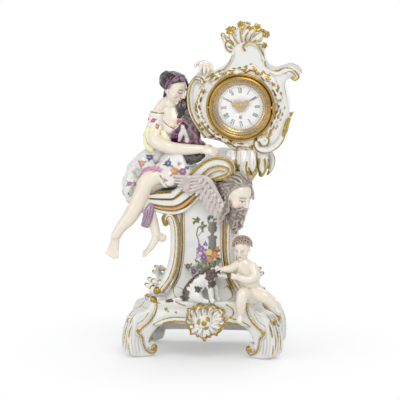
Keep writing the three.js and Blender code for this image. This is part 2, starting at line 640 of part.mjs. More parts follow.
function makePutto(neighbours) {
  const seat = [PEDESTAL_HALF_WIDTH + 27, -PLINTH_HALF_DEPTH + 4, PLINTH_HEIGHT];
  const part = (stations, options = {}) => limb(stations, { from: seat, ...options });
  const at = (x, y, z) => [seat[0] + x, seat[1] + y, seat[2] + z];
  const trunk = part([[6, 2, 8, 15, 14], [3, 0, 24, 14, 13], [-1, -1, 42, 13, 11],
    [-3, -1, 56, 11, 9], [-4, -2, 64, 6, 6]], { steps: 1 });
  const skull = join(ball(at(-5, -4, 76), [12, 12.5, 13], [0, 0, 0], 9),
    ball(at(-5, -1, 80), [13.5, 13, 12], [0, 0, 0], 9));
  const body = seated(trunk, ...neighbours);
  const limbs = {
    putto_right_arm: part([[-11, -2, 53, 6.5, 6.5], [-22, -4, 47, 5.5, 5.5],
      [-32, -6, 45, 4, 3.5]], { sides: 6, steps: 1 }),
    putto_left_arm: part([[9, -4, 52, 6.5, 6.5], [13, -12, 39, 6, 6], [0, -17, 35, 5, 5],
      [-10, -16, 39, 4, 3.5]], { sides: 6, steps: 1, facing: [0, 0, 1] }),
    putto_right_leg: part([[0, -6, 10, 9.5, 9.5], [-3, -17, 8, 8.5, 8.5], [-5, -18, -6, 7, 7],
      [-5, -19, -15, 4.5, 4.5], [-6, -24, -20, 4.5, 3.5]], { sides: 6, steps: 1, facing: [1, 0, 0] }),
    putto_left_leg: part([[14, -6, 12, 9.5, 9.5], [27, -12, 10, 8.5, 8.5], [36, -12, 1, 6.5, 6.5],
      [43, -13, -5, 4.5, 4]], { sides: 6, steps: 1 }),
  };
  const pieces = { putto_body: body, putto_head: seated(skull, body) };
  for (const [name, piece] of Object.entries(limbs)) {
    pieces[name] = seated(piece, ...neighbours, ...Object.values(pieces));
  }
  return pieces;
}

function makeDog(...neighbours) {
  const seat = [0, -PLINTH_HALF_DEPTH + 8, PLINTH_HEIGHT];
  const part = (stations, options = {}) => limb(stations, { from: seat, ...options });
  const at = (x, y, z) => [seat[0] + x, seat[1] + y, seat[2] + z];
  const leg = { sides: 5, steps: 1 };
  return seated(join(
    part([[-16, 0, 9, 12, 9.5], [-7, 0, 20, 12, 9.5], [6, 0, 33, 10, 8.5], [13, -1, 42, 7, 7]],
      { steps: 1, sides: 6 }),
    part([[11, -5, 30, 5, 4], [15, -6, 14, 3.5, 3.2], [16, -7, 2, 3.5, 3]], leg),
    part([[12, 5, 30, 5, 4], [18, 5, 14, 3.5, 3.2], [20, 4, 2, 3.5, 3]], leg),
    part([[-12, -7, 9, 9, 5], [-2, -9, 3.5, 5, 3.5], [6, -9, 2, 3.5, 2.6]], leg),
    ball(at(20, -2, 44), [8.5, 7, 7.5], [0, 0, 0], 7),
    part([[24, -3, 42, 4.5, 4], [32, -4, 39, 3, 3]], leg),
    part([[-24, 0, 4, 3, 3], [-34, -1, 2, 2.4, 2.4], [-43, -3, 2, 1.8, 1.8]], leg),
  ), ...neighbours);
}

// Toothed wheels. A wheel stands at (x, z) with a tooth pointing along its phase angle.

function toothRing(teeth, pitchRadius, x, z, phase) {
  const size = (2 * pitchRadius) / teeth;
  const tip = pitchRadius + 0.85 * size;
  const root = pitchRadius - 1.2 * size;
  const pitch = (2 * Math.PI) / teeth;
  const tooth = [[-0.27, root], [-0.1, tip], [0.1, tip], [0.27, root]];
  const outline = [];
  for (let i = 0; i < teeth; i += 1) {
    for (const [share, radius] of tooth) {
      const turn = phase + (i + share) * pitch;
      outline.push(new THREE.Vector2(x + radius * Math.cos(turn), z + radius * Math.sin(turn)));
    }
  }
  return outline;
}

// Windows between the arms of a wheel.
function crossings(arms, inner, outer, x, z, phase) {
  return Array.from({ length: arms }, (_, i) => {
    const from = phase + ((i + 0.12) * 2 * Math.PI) / arms;
    const to = phase + ((i + 0.88) * 2 * Math.PI) / arms;
    const arc = (radius, start, end) => [0, 0.5, 1].map((share) => {
      const turn = start + share * (end - start);
      return new THREE.Vector2(x + radius * Math.cos(turn), z + radius * Math.sin(turn));
    });
    return [...arc(outer, from, to), ...arc(inner, to, from)];
  });
}

// Where each wheel stands and how its teeth lie, so that neighbours are in mesh at rest.
function layOutTrain() {
  const toward = (from, to) => Math.atan2(to.z - from.z, to.x - from.x);
  const place = (distance, angle) => ({
    x: DIAL.x + distance * Math.cos(angle), z: DIAL.z + distance * Math.sin(angle),
  });
  const down = -Math.PI / 2;
  const barrel = place(WINDING_DROP, down);
  const third = place(THIRD_DISTANCE, THREE.MathUtils.degToRad(120));
  const minute = place(MOTION_DISTANCE, THREE.MathUtils.degToRad(35));
  const meet = (centre, driver, leaves) => toward(centre, driver) + Math.PI / leaves;
  return {
    barrel: { ...barrel, phase: toward(barrel, DIAL) },
    centrePinion: { ...DIAL, phase: meet(DIAL, barrel, CENTRE_LEAVES) },
    centreWheel: { ...DIAL, phase: toward(DIAL, third) },
    thirdPinion: { ...third, phase: meet(third, DIAL, THIRD_LEAVES) },
    cannon: { ...DIAL, phase: toward(DIAL, minute) },
    minuteWheel: { ...minute, phase: meet(minute, DIAL, MINUTE_TEETH) },
    minutePinion: { ...minute, phase: toward(minute, DIAL) },
    hourWheel: { ...DIAL, phase: meet(DIAL, minute, HOUR_TEETH) },
  };
}

function wheel(seat, teeth, radius, near, far, holes = []) {
  return slab(toothRing(teeth, radius, seat.x, seat.z, seat.phase), near, far, 0, holes);
}

// The two radii of a pair of wheels that mesh at a distance.
function meshRadii(distance, teeth, leaves) {
  return [(distance * teeth) / (teeth + leaves), (distance * leaves) / (teeth + leaves)];
}

// Depths of the movement, counted back from the front of the case
const DIAL_FACE = CASE_FRONT - 0.3;
const HOUR_HAND_DEPTH = DIAL_FACE - 2.2;
const MINUTE_HAND_DEPTH = HOUR_HAND_DEPTH - 2;
const MOTION_FRONT = DIAL_FACE + DIAL_THICKNESS + 0.9;
const FRONT_PLATE = MOTION_FRONT + 5.2;
const TRAIN_FRONT = FRONT_PLATE + PLATE_THICKNESS;
const BACK_PLATE = TRAIN_FRONT + PLATE_SPACING;
const HAND_THICKNESS = 0.8;
const CANNON_RADIUS = 1.7;
const HOUR_PIPE_RADIUS = 2.9;

function makeMotionWork(seats) {
  const [minuteRadius, cannonRadius] = meshRadii(MOTION_DISTANCE, MINUTE_TEETH, CANNON_LEAVES);
  const [hourRadius, leafRadius] = meshRadii(MOTION_DISTANCE, HOUR_TEETH, MINUTE_LEAVES);
  const hourNear = MOTION_FRONT;
  const minuteNear = MOTION_FRONT + 2;
  const wheelThickness = 1.2;
  const cannonFar = minuteNear + wheelThickness + RUNNING_GAP;
  const cannon = join(
    rod(DIAL.x, DIAL.z, CANNON_RADIUS, MINUTE_HAND_DEPTH - 1.2, cannonFar),
    wheel(seats.cannon, CANNON_LEAVES, cannonRadius, minuteNear - RUNNING_GAP, cannonFar));
  const hourBore = circle(DIAL.x, DIAL.z, CANNON_RADIUS + RUNNING_GAP, 12);
  const hourPipe = slab(circle(DIAL.x, DIAL.z, HOUR_PIPE_RADIUS, 14),
    HOUR_HAND_DEPTH - 0.2, hourNear + wheelThickness, 0, [hourBore]);
  const hourDisc = wheel(seats.hourWheel, HOUR_TEETH, hourRadius, hourNear,
    hourNear + wheelThickness, [circle(DIAL.x, DIAL.z, HOUR_PIPE_RADIUS - 0.3, 14)]);
  const stub = rod(seats.minuteWheel.x, seats.minuteWheel.z, ARBOR_RADIUS,
    minuteNear + wheelThickness, FRONT_PLATE - RUNNING_GAP, 8);
  return {
    cannon_pinion: cannon,
    minute_wheel: join(
      wheel(seats.minuteWheel, MINUTE_TEETH, minuteRadius, minuteNear, minuteNear + wheelThickness),
      wheel(seats.minutePinion, MINUTE_LEAVES, leafRadius, hourNear, minuteNear + 0.1), stub),
    hour_wheel: join(hourPipe, hourDisc),
  };
}

function hand(length, width, depth, angle, bore) {
  const points = [
    [-1, 2.6], [-0.6 * width, 0.32 * length], [-width, 0.5 * length], [-0.3 * width, 0.66 * length],
    [-0.18 * width, length], [0.18 * width, length], [0.3 * width, 0.66 * length],
    [width, 0.5 * length], [0.6 * width, 0.32 * length], [1, 2.6],
  ];
  const turn = THREE.MathUtils.degToRad(angle);
  const place = ([x, z]) => new THREE.Vector2(
    DIAL.x + x * Math.cos(turn) + z * Math.sin(turn),
    DIAL.z - x * Math.sin(turn) + z * Math.cos(turn));
  const blade = slab(points.map(place), depth, depth + HAND_THICKNESS);
  const boss = slab(circle(DIAL.x, DIAL.z, bore + 1.8, 16), depth, depth + HAND_THICKNESS);
  const hole = rod(DIAL.x, DIAL.z, bore, depth - 2, depth + 3, 14);
  return largest(join(blade, boss).subtract(hole));
}

function makeTrain(seats) {
  const [barrelRadius, centreLeaf] = meshRadii(WINDING_DROP, BARREL_TEETH, CENTRE_LEAVES);
  const [centreRadius, thirdLeaf] = meshRadii(THIRD_DISTANCE, CENTRE_TEETH, THIRD_LEAVES);
  const near = TRAIN_FRONT + RUNNING_GAP;
  const far = BACK_PLATE - RUNNING_GAP;
  const squareTip = DIAL_FACE + 0.4;
  const { barrel, centreWheel, centrePinion, thirdPinion } = seats;
  const barrelBore = circle(barrel.x, barrel.z, ARBOR_RADIUS + 0.6 + RUNNING_GAP, 12);
  const thirdRadius = THIRD_DISTANCE * 0.62;
  return {
    mainspring_barrel: join(
      wheel(barrel, BARREL_TEETH, barrelRadius, near + 1, near + 3, [barrelBore]),
      slab(circle(barrel.x, barrel.z, barrelRadius * 0.93, 20), near + 2.9, near + 14, 0,
        [barrelBore])),
    barrel_arbor: rod(barrel.x, barrel.z, ARBOR_RADIUS + 0.6, squareTip, BACK_PLATE - RUNNING_GAP, 8),
    centre_wheel: join(
      rod(DIAL.x, DIAL.z, ARBOR_RADIUS, near, far, 8),
      wheel(centrePinion, CENTRE_LEAVES, centreLeaf, near + 0.5, near + 3.5),
      wheel(centreWheel, CENTRE_TEETH, centreRadius, far - 2.4, far - 1.2,
        crossings(4, centreRadius * 0.3, centreRadius * 0.78, DIAL.x, DIAL.z, 0.4))),
    third_wheel: join(
      rod(thirdPinion.x, thirdPinion.z, ARBOR_RADIUS, near, far, 8),
      wheel(thirdPinion, THIRD_LEAVES, thirdLeaf, far - 3.4, far - 0.2),
      wheel(thirdPinion, THIRD_TEETH, thirdRadius, near + 6, near + 7.2,
        crossings(4, thirdRadius * 0.3, thirdRadius * 0.75, thirdPinion.x, thirdPinion.z, 0.2))),
  };
}

function makePlates(seats) {
  const { x, z } = DIAL;
  const pivot = (seat, room) => circle(seat.x, seat.z, room, 10);
  const holes = [
    pivot(DIAL, CANNON_RADIUS + RUNNING_GAP),
    pivot(seats.barrel, ARBOR_RADIUS + 0.6 + RUNNING_GAP),
  ];
  const plateOutline = circle(x, z, PLATE_RADIUS, 24);
  const front = slab(circle(x, z, CASE_BORE - 4.8, 24), FRONT_PLATE, TRAIN_FRONT, 0, holes);
  const pillars = [45, 135, 225, 315].map((angle) => {
    const turn = THREE.MathUtils.degToRad(angle);
    const reach = PLATE_RADIUS - 4;
    return rod(x + reach * Math.cos(turn), z + reach * Math.sin(turn), 2,
      TRAIN_FRONT - 0.1, BACK_PLATE - SEAT_GAP, 8);
  });
  return {
    front_plate: join(front, ...pillars),
    back_plate: slab(plateOutline, BACK_PLATE, BACK_PLATE + PLATE_THICKNESS),
  };
}

function makeEscapement() {
  const x = DIAL.x;
  const z = DIAL.z + 17;
  const near = BACK_PLATE + PLATE_THICKNESS + SEAT_GAP;
  const plateFar = near + 1.5;
  const cockNear = plateFar + 5.5;
  const cockFar = cockNear + 1.5;
  const platform = join(
    block([x - 13, near, z - 11], [x + 13, plateFar, z + 11]),
    block([x - 13, plateFar - 0.1, z - 11], [x - 10, cockFar, z + 4]),
    block([x - 13, cockNear, z - 4], [x + 3, cockFar, z + 4]));
  const rimNear = plateFar + 2.2;
  const balance = join(
    slab(circle(x, z, BALANCE_RADIUS, 24), rimNear, rimNear + 1.2, 0,
      crossings(3, BALANCE_RADIUS * 0.25, BALANCE_RADIUS * 0.82, x, z, 0.3)),
    rod(x, z, 0.7, plateFar + SEAT_GAP, cockNear - SEAT_GAP, 8));
  return { escapement_platform: platform, balance_wheel: balance };
}

// Brass case fittings

const BEZEL_AXIS = { x: DIAL.x + BEZEL_RADIUS + 2.2, y: CASE_FRONT - 7 };
const KNUCKLE_RADIUS = HINGE_PIN_RADIUS + 1.3;

function knuckle(axis, low, high) {
  return post(axis.x, axis.y, KNUCKLE_RADIUS, low, high)
    .subtract(post(axis.x, axis.y, HINGE_PIN_RADIUS + SEAT_GAP, low - 1, high + 1));
}

function makeBezel() {
  const { x, z } = DIAL;
  const face = CASE_FRONT - SEAT_GAP;
  const front = face - FLANGE_THICKNESS;
  const sleeve = CASE_BORE - SEAT_GAP - 0.4;
  const opening = DIAL_RADIUS + 1.5;
  const ledge = FRONT_PLATE - SEAT_GAP;
  const flange = turned([
    [FLANGE_RADIUS, face], [FLANGE_RADIUS, front + 1], [FLANGE_RADIUS - 1.2, front],
    [opening, front], [opening, DIAL_FACE + DIAL_THICKNESS + SEAT_GAP],
    [PLATE_RADIUS + 1.5, DIAL_FACE + DIAL_THICKNESS + SEAT_GAP], [PLATE_RADIUS + 1.5, ledge],
    [CASE_BORE - 4.4, ledge], [CASE_BORE - 4.4, ledge + 3.4], [sleeve, ledge + 3.4], [sleeve, face],
  ], x, z);
  const lug = (low, high) => join(knuckle(BEZEL_AXIS, low, high),
    block([BEZEL_AXIS.x - 1.8, BEZEL_AXIS.y + 2, low], [BEZEL_AXIS.x + 1.8, front + 0.5, high]))
    .subtract(post(BEZEL_AXIS.x, BEZEL_AXIS.y, HINGE_PIN_RADIUS + SEAT_GAP, low - 1, high + 1));
  const back = front - SEAT_GAP;
  const crown = CASE_FRONT - BEZEL_PROUD;
  const ring = turned([
    [BEZEL_RADIUS, back], [BEZEL_RADIUS, crown + 3], [BEZEL_RADIUS - 1.4, crown + 0.8],
    [BEZEL_RADIUS - 3.5, crown], [BEZEL_RADIUS - 5.5, crown + 0.8], [BEZEL_RADIUS - 6, crown + 3.4],
    [DIAL_WINDOW_RADIUS, DIAL_FACE - 1.2], [DIAL_WINDOW_RADIUS, DIAL_FACE - 0.5],
    [DIAL_WINDOW_RADIUS + 5, DIAL_FACE - 0.5], [BEZEL_RADIUS - 4.5, back],
  ], x, z);
  const catchKnob = ball([x - BEZEL_RADIUS - 0.6, back - 2, z], [2.2, 1.6, 2.2], [0, 0, 0], 5);
  const glassSeat = rod(x, z, BEZEL_RADIUS - 5.2, crown + 1.4, crown + 3.4, 24);
  const arm = block([x + BEZEL_RADIUS - 3, BEZEL_AXIS.y - 2, z - 2.6],
    [BEZEL_AXIS.x - 1.4, back - 0.5, z + 2.6]);
  const hinge = join(knuckle(BEZEL_AXIS, z - 2.7, z + 2.7), arm)
    .subtract(post(BEZEL_AXIS.x, BEZEL_AXIS.y, HINGE_PIN_RADIUS + SEAT_GAP, z - 4, z + 4));
  const notch = block([BEZEL_AXIS.x - 3.2, BEZEL_AXIS.y - 4, z - 6.8],
    [BEZEL_AXIS.x + 4, back + 0.1, z - 2.6]);
  const otherNotch = block([BEZEL_AXIS.x - 3.2, BEZEL_AXIS.y - 4, z + 2.6],
    [BEZEL_AXIS.x + 4, back + 0.1, z + 6.8]);
  return {
    bezel_flange: join(flange, lug(z - 6.4, z - 3), lug(z + 3, z + 6.4)),
    bezel_ring: largest(join(ring, catchKnob, hinge).subtract(glassSeat)
      .subtract(notch).subtract(otherNotch)),
    bezel_glass: rod(x, z, BEZEL_RADIUS - 5.2 - SEAT_GAP, crown + 1.6, crown + 3.1, 24),
    bezel_hinge_pin: post(BEZEL_AXIS.x, BEZEL_AXIS.y, HINGE_PIN_RADIUS, z - 7, z + 7, 8),
  };
}

function makeDial(seats) {
  const holes = [
    circle(DIAL.x, DIAL.z, HOUR_PIPE_RADIUS + RUNNING_GAP, 14),
    circle(seats.barrel.x, seats.barrel.z, ARBOR_RADIUS + 0.6 + RUNNING_GAP, 12),
  ];
  return slab(circle(DIAL.x, DIAL.z, DIAL_RADIUS + 1, 30), DIAL_FACE, DIAL_FACE + DIAL_THICKNESS,
    0, holes);
}

const DOOR_AXIS = { x: DIAL.x - FLANGE_RADIUS + 1, y: CASE_BACK + 6.2 };

function makeBackDoor() {
  const { x, z } = DIAL;
  const face = CASE_BACK + SEAT_GAP;
  const opening = CASE_BORE - 5;
  const ring = turned([
    [FLANGE_RADIUS, face], [FLANGE_RADIUS, face + 2.6], [opening, face + 2.6], [opening, face - 5],
    [CASE_BORE - 0.7, face - 5], [CASE_BORE - 0.7, face],
  ], x, z);
  const lug = (low, high) => join(
    post(DOOR_AXIS.x, DOOR_AXIS.y, KNUCKLE_RADIUS, low, high),
    block([DOOR_AXIS.x - 1.8, face + 2.2, low], [DOOR_AXIS.x + 1.8, DOOR_AXIS.y - 2, high]))
    .subtract(post(DOOR_AXIS.x, DOOR_AXIS.y, HINGE_PIN_RADIUS + SEAT_GAP, low - 1, high + 1));
  const near = face + 2.6 + SEAT_GAP;
  const lid = turned([[0, near], [opening + 3, near], [opening + 3, near + 1.6],
    [opening - 8, near + 3], [0, near + 3.6]], x, z);
  const arm = block([DOOR_AXIS.x, near + 0.2, z - 2.6], [x - opening, near + 1.6, z + 2.6]);
  const hinge = join(post(DOOR_AXIS.x, DOOR_AXIS.y, KNUCKLE_RADIUS, z - 2.7, z + 2.7), arm)
    .subtract(post(DOOR_AXIS.x, DOOR_AXIS.y, HINGE_PIN_RADIUS + SEAT_GAP, z - 4, z + 4));
  return {
    back_ring: join(ring, lug(z - 6.4, z - 3), lug(z + 3, z + 6.4)),
    back_door: largest(join(lid, hinge)),
    door_hinge_pin: post(DOOR_AXIS.x, DOOR_AXIS.y, HINGE_PIN_RADIUS, z - 7, z + 7, 8),
  };
}

function makeStrap(side) {
  const outer = CASE_BORE - 0.5;
  const near = FRONT_PLATE - SEAT_GAP + 3.4 + SEAT_GAP;
  const far = CASE_BACK + SEAT_GAP - 5 - SEAT_GAP;
  const x = DIAL.x + side * (outer - 1.6);
  return block([x - 0.7, near, DIAL.z - 4], [x + 0.7, far, DIAL.z + 4]);
}

// The whole clock

const clock = new THREE.Group();
const laidOut = new THREE.Group();
clock.add(laidOut);

function place(name, body, finish) {
  const { vertProperties: points, triVerts: corners } = body.getMesh();
  const mesh = new THREE.Mesh(geometryOf(points, corners), new THREE.MeshStandardMaterial(finish));
  mesh.name = name;
  laidOut.add(mesh);
}

function placeAll(pieces, finish) {
  for (const [name, body] of Object.entries(pieces)) place(name, body, finish);
}

const plinth = makePlinth();
const cornice = makeCornice();
const pedestal = makePedestal(cornice);
const footSeat = [makePlinthForm(), pedestal];
const feet = {
  foot_front_left: makeFoot(false, false, ...footSeat),
  foot_front_right: makeFoot(true, false, ...footSeat),
  foot_back_left: makeFoot(false, true, ...footSeat),
  foot_back_right: makeFoot(true, true, ...footSeat),
};
const consoleScroll = makeConsoleScroll(cornice, pedestal);
const clockCase = makeCase();
const bracket = makeBracket(clockCase, consoleScroll, cornice, pedestal);
const around = [plinth, pedestal, cornice, ...Object.values(feet)];
const pilasters = {
  pilaster_front_left: makePilaster(false, false, ...around),
  pilaster_front_right: makePilaster(true, false, ...around),
  pilaster_back_left: makePilaster(false, true, ...around),
  pilaster_back_right: makePilaster(true, true, ...around),
};
const cartouche = makeCartouche(plinth);

place('plinth', plinth, PORCELAIN);
placeAll(feet, PORCELAIN);
place('front_cartouche', cartouche, PORCELAIN);
place('pedestal', pedestal, PORCELAIN);
placeAll(pilasters, PORCELAIN);
place('cornice', cornice, PORCELAIN);
place('console_scroll', consoleScroll, PORCELAIN);
place('clock_case', clockCase, PORCELAIN);
place('crest', makeCrest(clockCase), PORCELAIN);
place('case_bracket', bracket, PORCELAIN);

const elder = makeElder(
  pedestal, pilasters.pilaster_front_right, cornice, consoleScroll, bracket);
place('elder_head', elder, FLESH);

const lady = makeLady(cornice, clockCase, consoleScroll);
const wing = makeWing(cornice, consoleScroll, pedestal, elder, ...Object.values(lady));
placeAll(lady, FLESH);
place('elder_wing', wing, PORCELAIN);

const putto = makePutto([plinth, pedestal, pilasters.pilaster_front_right,
  feet.foot_front_right, elder]);
const dog = makeDog(plinth, pedestal, cartouche, ...Object.values(putto));
placeAll(putto, FLESH);
place('dog', dog, PORCELAIN);

const seats = layOutTrain();
const motion = makeMotionWork(seats);
placeAll(makeBezel(), BRASS);
place('dial', makeDial(seats), { color: 0xf6f4ee, roughness: 0.2, metalness: 0 });
place('hour_hand', hand(HOUR_HAND_LENGTH, 2.6, HOUR_HAND_DEPTH, -60.5, HOUR_PIPE_RADIUS + 0.3), GILT);
place('minute_hand', hand(MINUTE_HAND_LENGTH, 1.8, MINUTE_HAND_DEPTH, 54, CANNON_RADIUS + 0.3), GILT);
placeAll(motion, BRASS);
placeAll(makePlates(seats), BRASS);
placeAll(makeTrain(seats), BRASS);
placeAll(makeEscapement(), STEEL);
placeAll(makeBackDoor(), BRASS);
place('strap_left', makeStrap(-1), BRASS);
place('strap_right', makeStrap(1), BRASS);

// The origin lies on the table under the middle of the clock's whole width and depth.
const whole = new THREE.Box3().setFromObject(laidOut);
const middle = whole.getCenter(new THREE.Vector3());
laidOut.position.set(-middle.x, -middle.y, -whole.min.z);
clock.updateMatrixWorld(true);

export default clock;
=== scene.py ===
"""A porcelain mantel clock with figures: glaze, gilding, painted flowers, brass and stage.

Sizes in the code are millimetres from the middle of the pedestal at table height, X to the right of
someone who faces the dial and -Y towards them, until a form becomes a mesh.
"""

import math

import bpy
import mathutils
import numpy as np
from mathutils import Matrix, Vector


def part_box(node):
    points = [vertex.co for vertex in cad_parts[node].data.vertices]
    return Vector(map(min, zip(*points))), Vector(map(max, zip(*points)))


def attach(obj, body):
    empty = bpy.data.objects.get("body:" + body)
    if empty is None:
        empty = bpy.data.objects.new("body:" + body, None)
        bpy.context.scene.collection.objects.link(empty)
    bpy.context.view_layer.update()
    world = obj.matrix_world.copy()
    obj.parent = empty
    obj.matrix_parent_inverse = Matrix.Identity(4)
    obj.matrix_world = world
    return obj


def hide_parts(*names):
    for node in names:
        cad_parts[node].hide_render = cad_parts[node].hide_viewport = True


bl_info = {
    "name": "Porcelain Figure Clock",
    "version": (1, 0, 0),
    "blender": (4, 5, 0),
    "location": "View3D > Sidebar > Clock",
    "description": "Dresses the frame of a mantel clock in glazed porcelain, gilding and brass",
    "category": "Add Mesh",
}

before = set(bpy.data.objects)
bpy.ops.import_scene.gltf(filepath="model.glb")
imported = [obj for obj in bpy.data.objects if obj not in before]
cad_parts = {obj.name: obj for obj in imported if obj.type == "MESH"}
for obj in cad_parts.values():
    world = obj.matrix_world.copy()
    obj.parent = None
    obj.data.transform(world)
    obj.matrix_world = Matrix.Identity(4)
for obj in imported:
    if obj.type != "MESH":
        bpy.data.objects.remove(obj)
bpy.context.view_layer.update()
PLINTH_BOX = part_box("plinth")
# Metres in a millimetre, and millimetres in a metre
MM = 0.001
METRE = 1000
SHIFT = np.array([(PLINTH_BOX[0][0] + PLINTH_BOX[1][0]) * METRE / 2,
    (PLINTH_BOX[0][1] + PLINTH_BOX[1][1]) * METRE / 2, 0.0])
DIAL = np.array([51.0, -30.0, 343.0])
# Voxel in metres for a millimetre of cell, for cells up to FINE_CELL mm and for wider ones
FINE_CELL = 0.55
FINE_VOXEL = 0.00105
WIDE_VOXEL = 0.00118
# Gilt distance of a point that is nowhere near gold
NO_GOLD = 9.0
GLAZE = "glazed porcelain"

# Curves and forms


def unit(v):
    """A vector, or each row of an array, divided by its length."""
    v = np.asarray(v, float)
    return v / np.maximum(np.linalg.norm(v, axis=-1, keepdims=True), 1e-9)


def spline(points, count, closed=False, even=False):
    """Smooth curve through points: on each span a cubic whose end slopes come from the points on
    either side, with knots spaced by the square root of the chord, or evenly."""
    p = np.asarray(points, float)
    spans = len(p) if closed else len(p) - 1
    if closed:
        ext = np.vstack([p[-1:], p, p[:2]])
    else:
        ext = np.vstack([2 * p[:1] - p[1:2], p, 2 * p[-1:] - p[-2:-1]])
    s = np.minimum(np.linspace(0, spans, count, endpoint=not closed), spans - 1e-9)
    i = s.astype(int)
    w = (s - i)[:, None]
    a, b, c, d = (ext[i + k] for k in range(4))

    def knot(u, v):
        if even:
            return np.ones((len(i), 1))
        return np.sqrt(np.maximum(np.linalg.norm(v - u, axis=1), 1e-4))[:, None]

    ab, bc, cd = knot(a, b), knot(b, c), knot(c, d)
    s1 = bc * ((b - a) / ab - (c - a) / (ab + bc) + (c - b) / bc)
    s2 = bc * ((c - b) / bc - (d - b) / (bc + cd) + (d - c) / cd)
    return b + s1 * w + (3 * (c - b) - 2 * s1 - s2) * w**2 + (2 * (b - c) + s1 + s2) * w**3


def outward(v, quads, tris):
    """Turns every face over if the enclosed volume, summed as tetrahedra from its middle, is negative."""
    t = np.vstack([quads[:, [0, 1, 2]], quads[:, [0, 2, 3]], tris])
    o = v.mean(0)
    volume = np.einsum("ij,ij->i", v[t[:, 0]] - o, np.cross(v[t[:, 1]] - o, v[t[:, 2]] - o)).sum()
    return (v, quads, tris) if volume >= 0 else (v, quads[:, ::-1], tris[:, ::-1])


def skin(rings, around=True, poles=True):
    """Form from a grid of points [ring, place on the ring, xyz]: a quad for each cell, joined round
    each ring, and a fan to the middle of each end ring."""
    n, m = rings.shape[:2]
    v = rings.reshape(-1, 3)
    i, j = np.meshgrid(np.arange(n - 1), np.arange(m if around else m - 1), indexing="ij")
    k = (j + 1) % m
    quads = np.stack([i * m + j, i * m + k, (i + 1) * m + k, (i + 1) * m + j], -1).reshape(-1, 4)
    tris = np.zeros((0, 3), int)
    if poles:
        v = np.vstack([v, rings[0].mean(0), rings[-1].mean(0)])
        j = np.arange(m)
        k = (j + 1) % m
        tris = np.vstack([np.stack([np.full(m, n * m), k, j], -1),
                          np.stack([np.full(m, n * m + 1), (n - 1) * m + j, (n - 1) * m + k], -1)])
    return outward(v, quads, tris)


def limb(stations, sides=22, step=1.2, facing=(0, -1, 0), origin=(0, 0, 0), ridge=None):
    """Tube on a smooth line through stations [x, y, z, half width, half thickness]: each ring is an
    oval whose thickness faces the given way, and each end closes as half an ellipse. ridge scales
    the rings by a function of (place along, angle)."""
    st = np.asarray(stations, float)
    count = max(int(np.linalg.norm(np.diff(st[:, :3], axis=0), axis=1).sum() / step), 2 * len(st))
    spine = spline(st[:, :3], count) + origin
    size = np.maximum(spline(st[:, 3:5], count, even=True), 0.15)
    along = unit(np.gradient(spine, axis=0))
    side = unit(np.cross(along, np.asarray(facing, float)))
    face = np.cross(side, along)
    cap = np.radians([82, 62, 42, 22])
    reach = size.min(1)
    rows = np.concatenate([np.zeros(4, int), np.arange(count), np.full(4, count - 1)])
    push = np.concatenate([-np.sin(cap) * reach[0] * 0.9, np.zeros(count),
        np.sin(cap[::-1]) * reach[-1] * 0.9])
    scale = np.concatenate([np.cos(cap), np.ones(count), np.cos(cap[::-1])])
    turn = np.linspace(0, 2 * np.pi, sides, endpoint=False)
    grow = scale[:, None] * np.ones(sides)
    if ridge is not None:
        grow = grow * ridge(rows[:, None] / (count - 1), turn[None, :])
    middle = spine[rows] + along[rows] * push[:, None]
    rings = (middle[:, None]
             + side[rows][:, None] * (np.cos(turn) * size[rows, :1] * grow)[..., None]
             + face[rows][:, None] * (np.sin(turn) * size[rows, 1:] * grow)[..., None])
    return skin(rings)


def oval(centre, radii, axes=None, rings=22):
    """Ball of three radii along three axes: longitude and latitude, both evenly spaced."""
    up = np.radians(np.linspace(-86, 86, rings))
    turn = np.linspace(0, 2 * np.pi, int(rings * 1.5), endpoint=False)
    p = np.stack([np.cos(up)[:, None] * np.cos(turn), np.cos(up)[:, None] * np.sin(turn),
                  np.sin(up)[:, None] * np.ones(len(turn))], -1)
    return skin(p * radii @ (np.eye(3) if axes is None else np.asarray(axes, float)) + centre)


def slab(outline, near, far, edge=2.0, count=160, smooth=True):
    """Outline in the X-Z plane carried along Y: towards each face it moves inwards along its own
    normals on a quarter circle, and each face is closed by rings that shrink to the middle line."""
    line = spline(outline, count, closed=True) if smooth else np.asarray(outline, float)
    ahead = np.roll(line, -1, 0) - np.roll(line, 1, 0)
    normal = unit(np.stack([ahead[:, 1], -ahead[:, 0]], -1))
    area = 0.5 * (line[:, 0] * np.roll(line[:, 1], -1) - line[:, 1] * np.roll(line[:, 0], -1)).sum()
    normal = normal if area > 0 else -normal
    turn = np.radians(np.linspace(0, 90, 7))
    inset = np.concatenate([edge * (1 - np.sin(turn)), edge * (1 - np.sin(turn[::-1]))])
    y = np.concatenate([near + edge * (1 - np.cos(turn)), far - edge * (1 - np.cos(turn[::-1]))])
    rings = line[None] - inset[:, None, None] * normal[None]
    v = np.stack([rings[..., 0], np.broadcast_to(y[:, None], rings.shape[:2]), rings[..., 1]], -1)
    body = skin(v, poles=False)
    return body[0], body[1], [list(range(count)), list(range(len(v) * count - count, len(v) * count))]


def turned(profile, centre=DIAL, count=128):
    """Closed profile of [radius, depth] carried round the line through the dial's middle along Y."""
    p = np.asarray(profile, float)
    turn = np.linspace(0, 2 * np.pi, count, endpoint=False)
    x = centre[0] + p[:, :1] * np.cos(turn)
    z = centre[2] + p[:, :1] * np.sin(turn)
    rings = np.stack([x, np.broadcast_to(p[:, 1:], x.shape), z], -1)
    return skin(np.concatenate([rings, rings[:1]]), poles=False)


# From forms to pieces


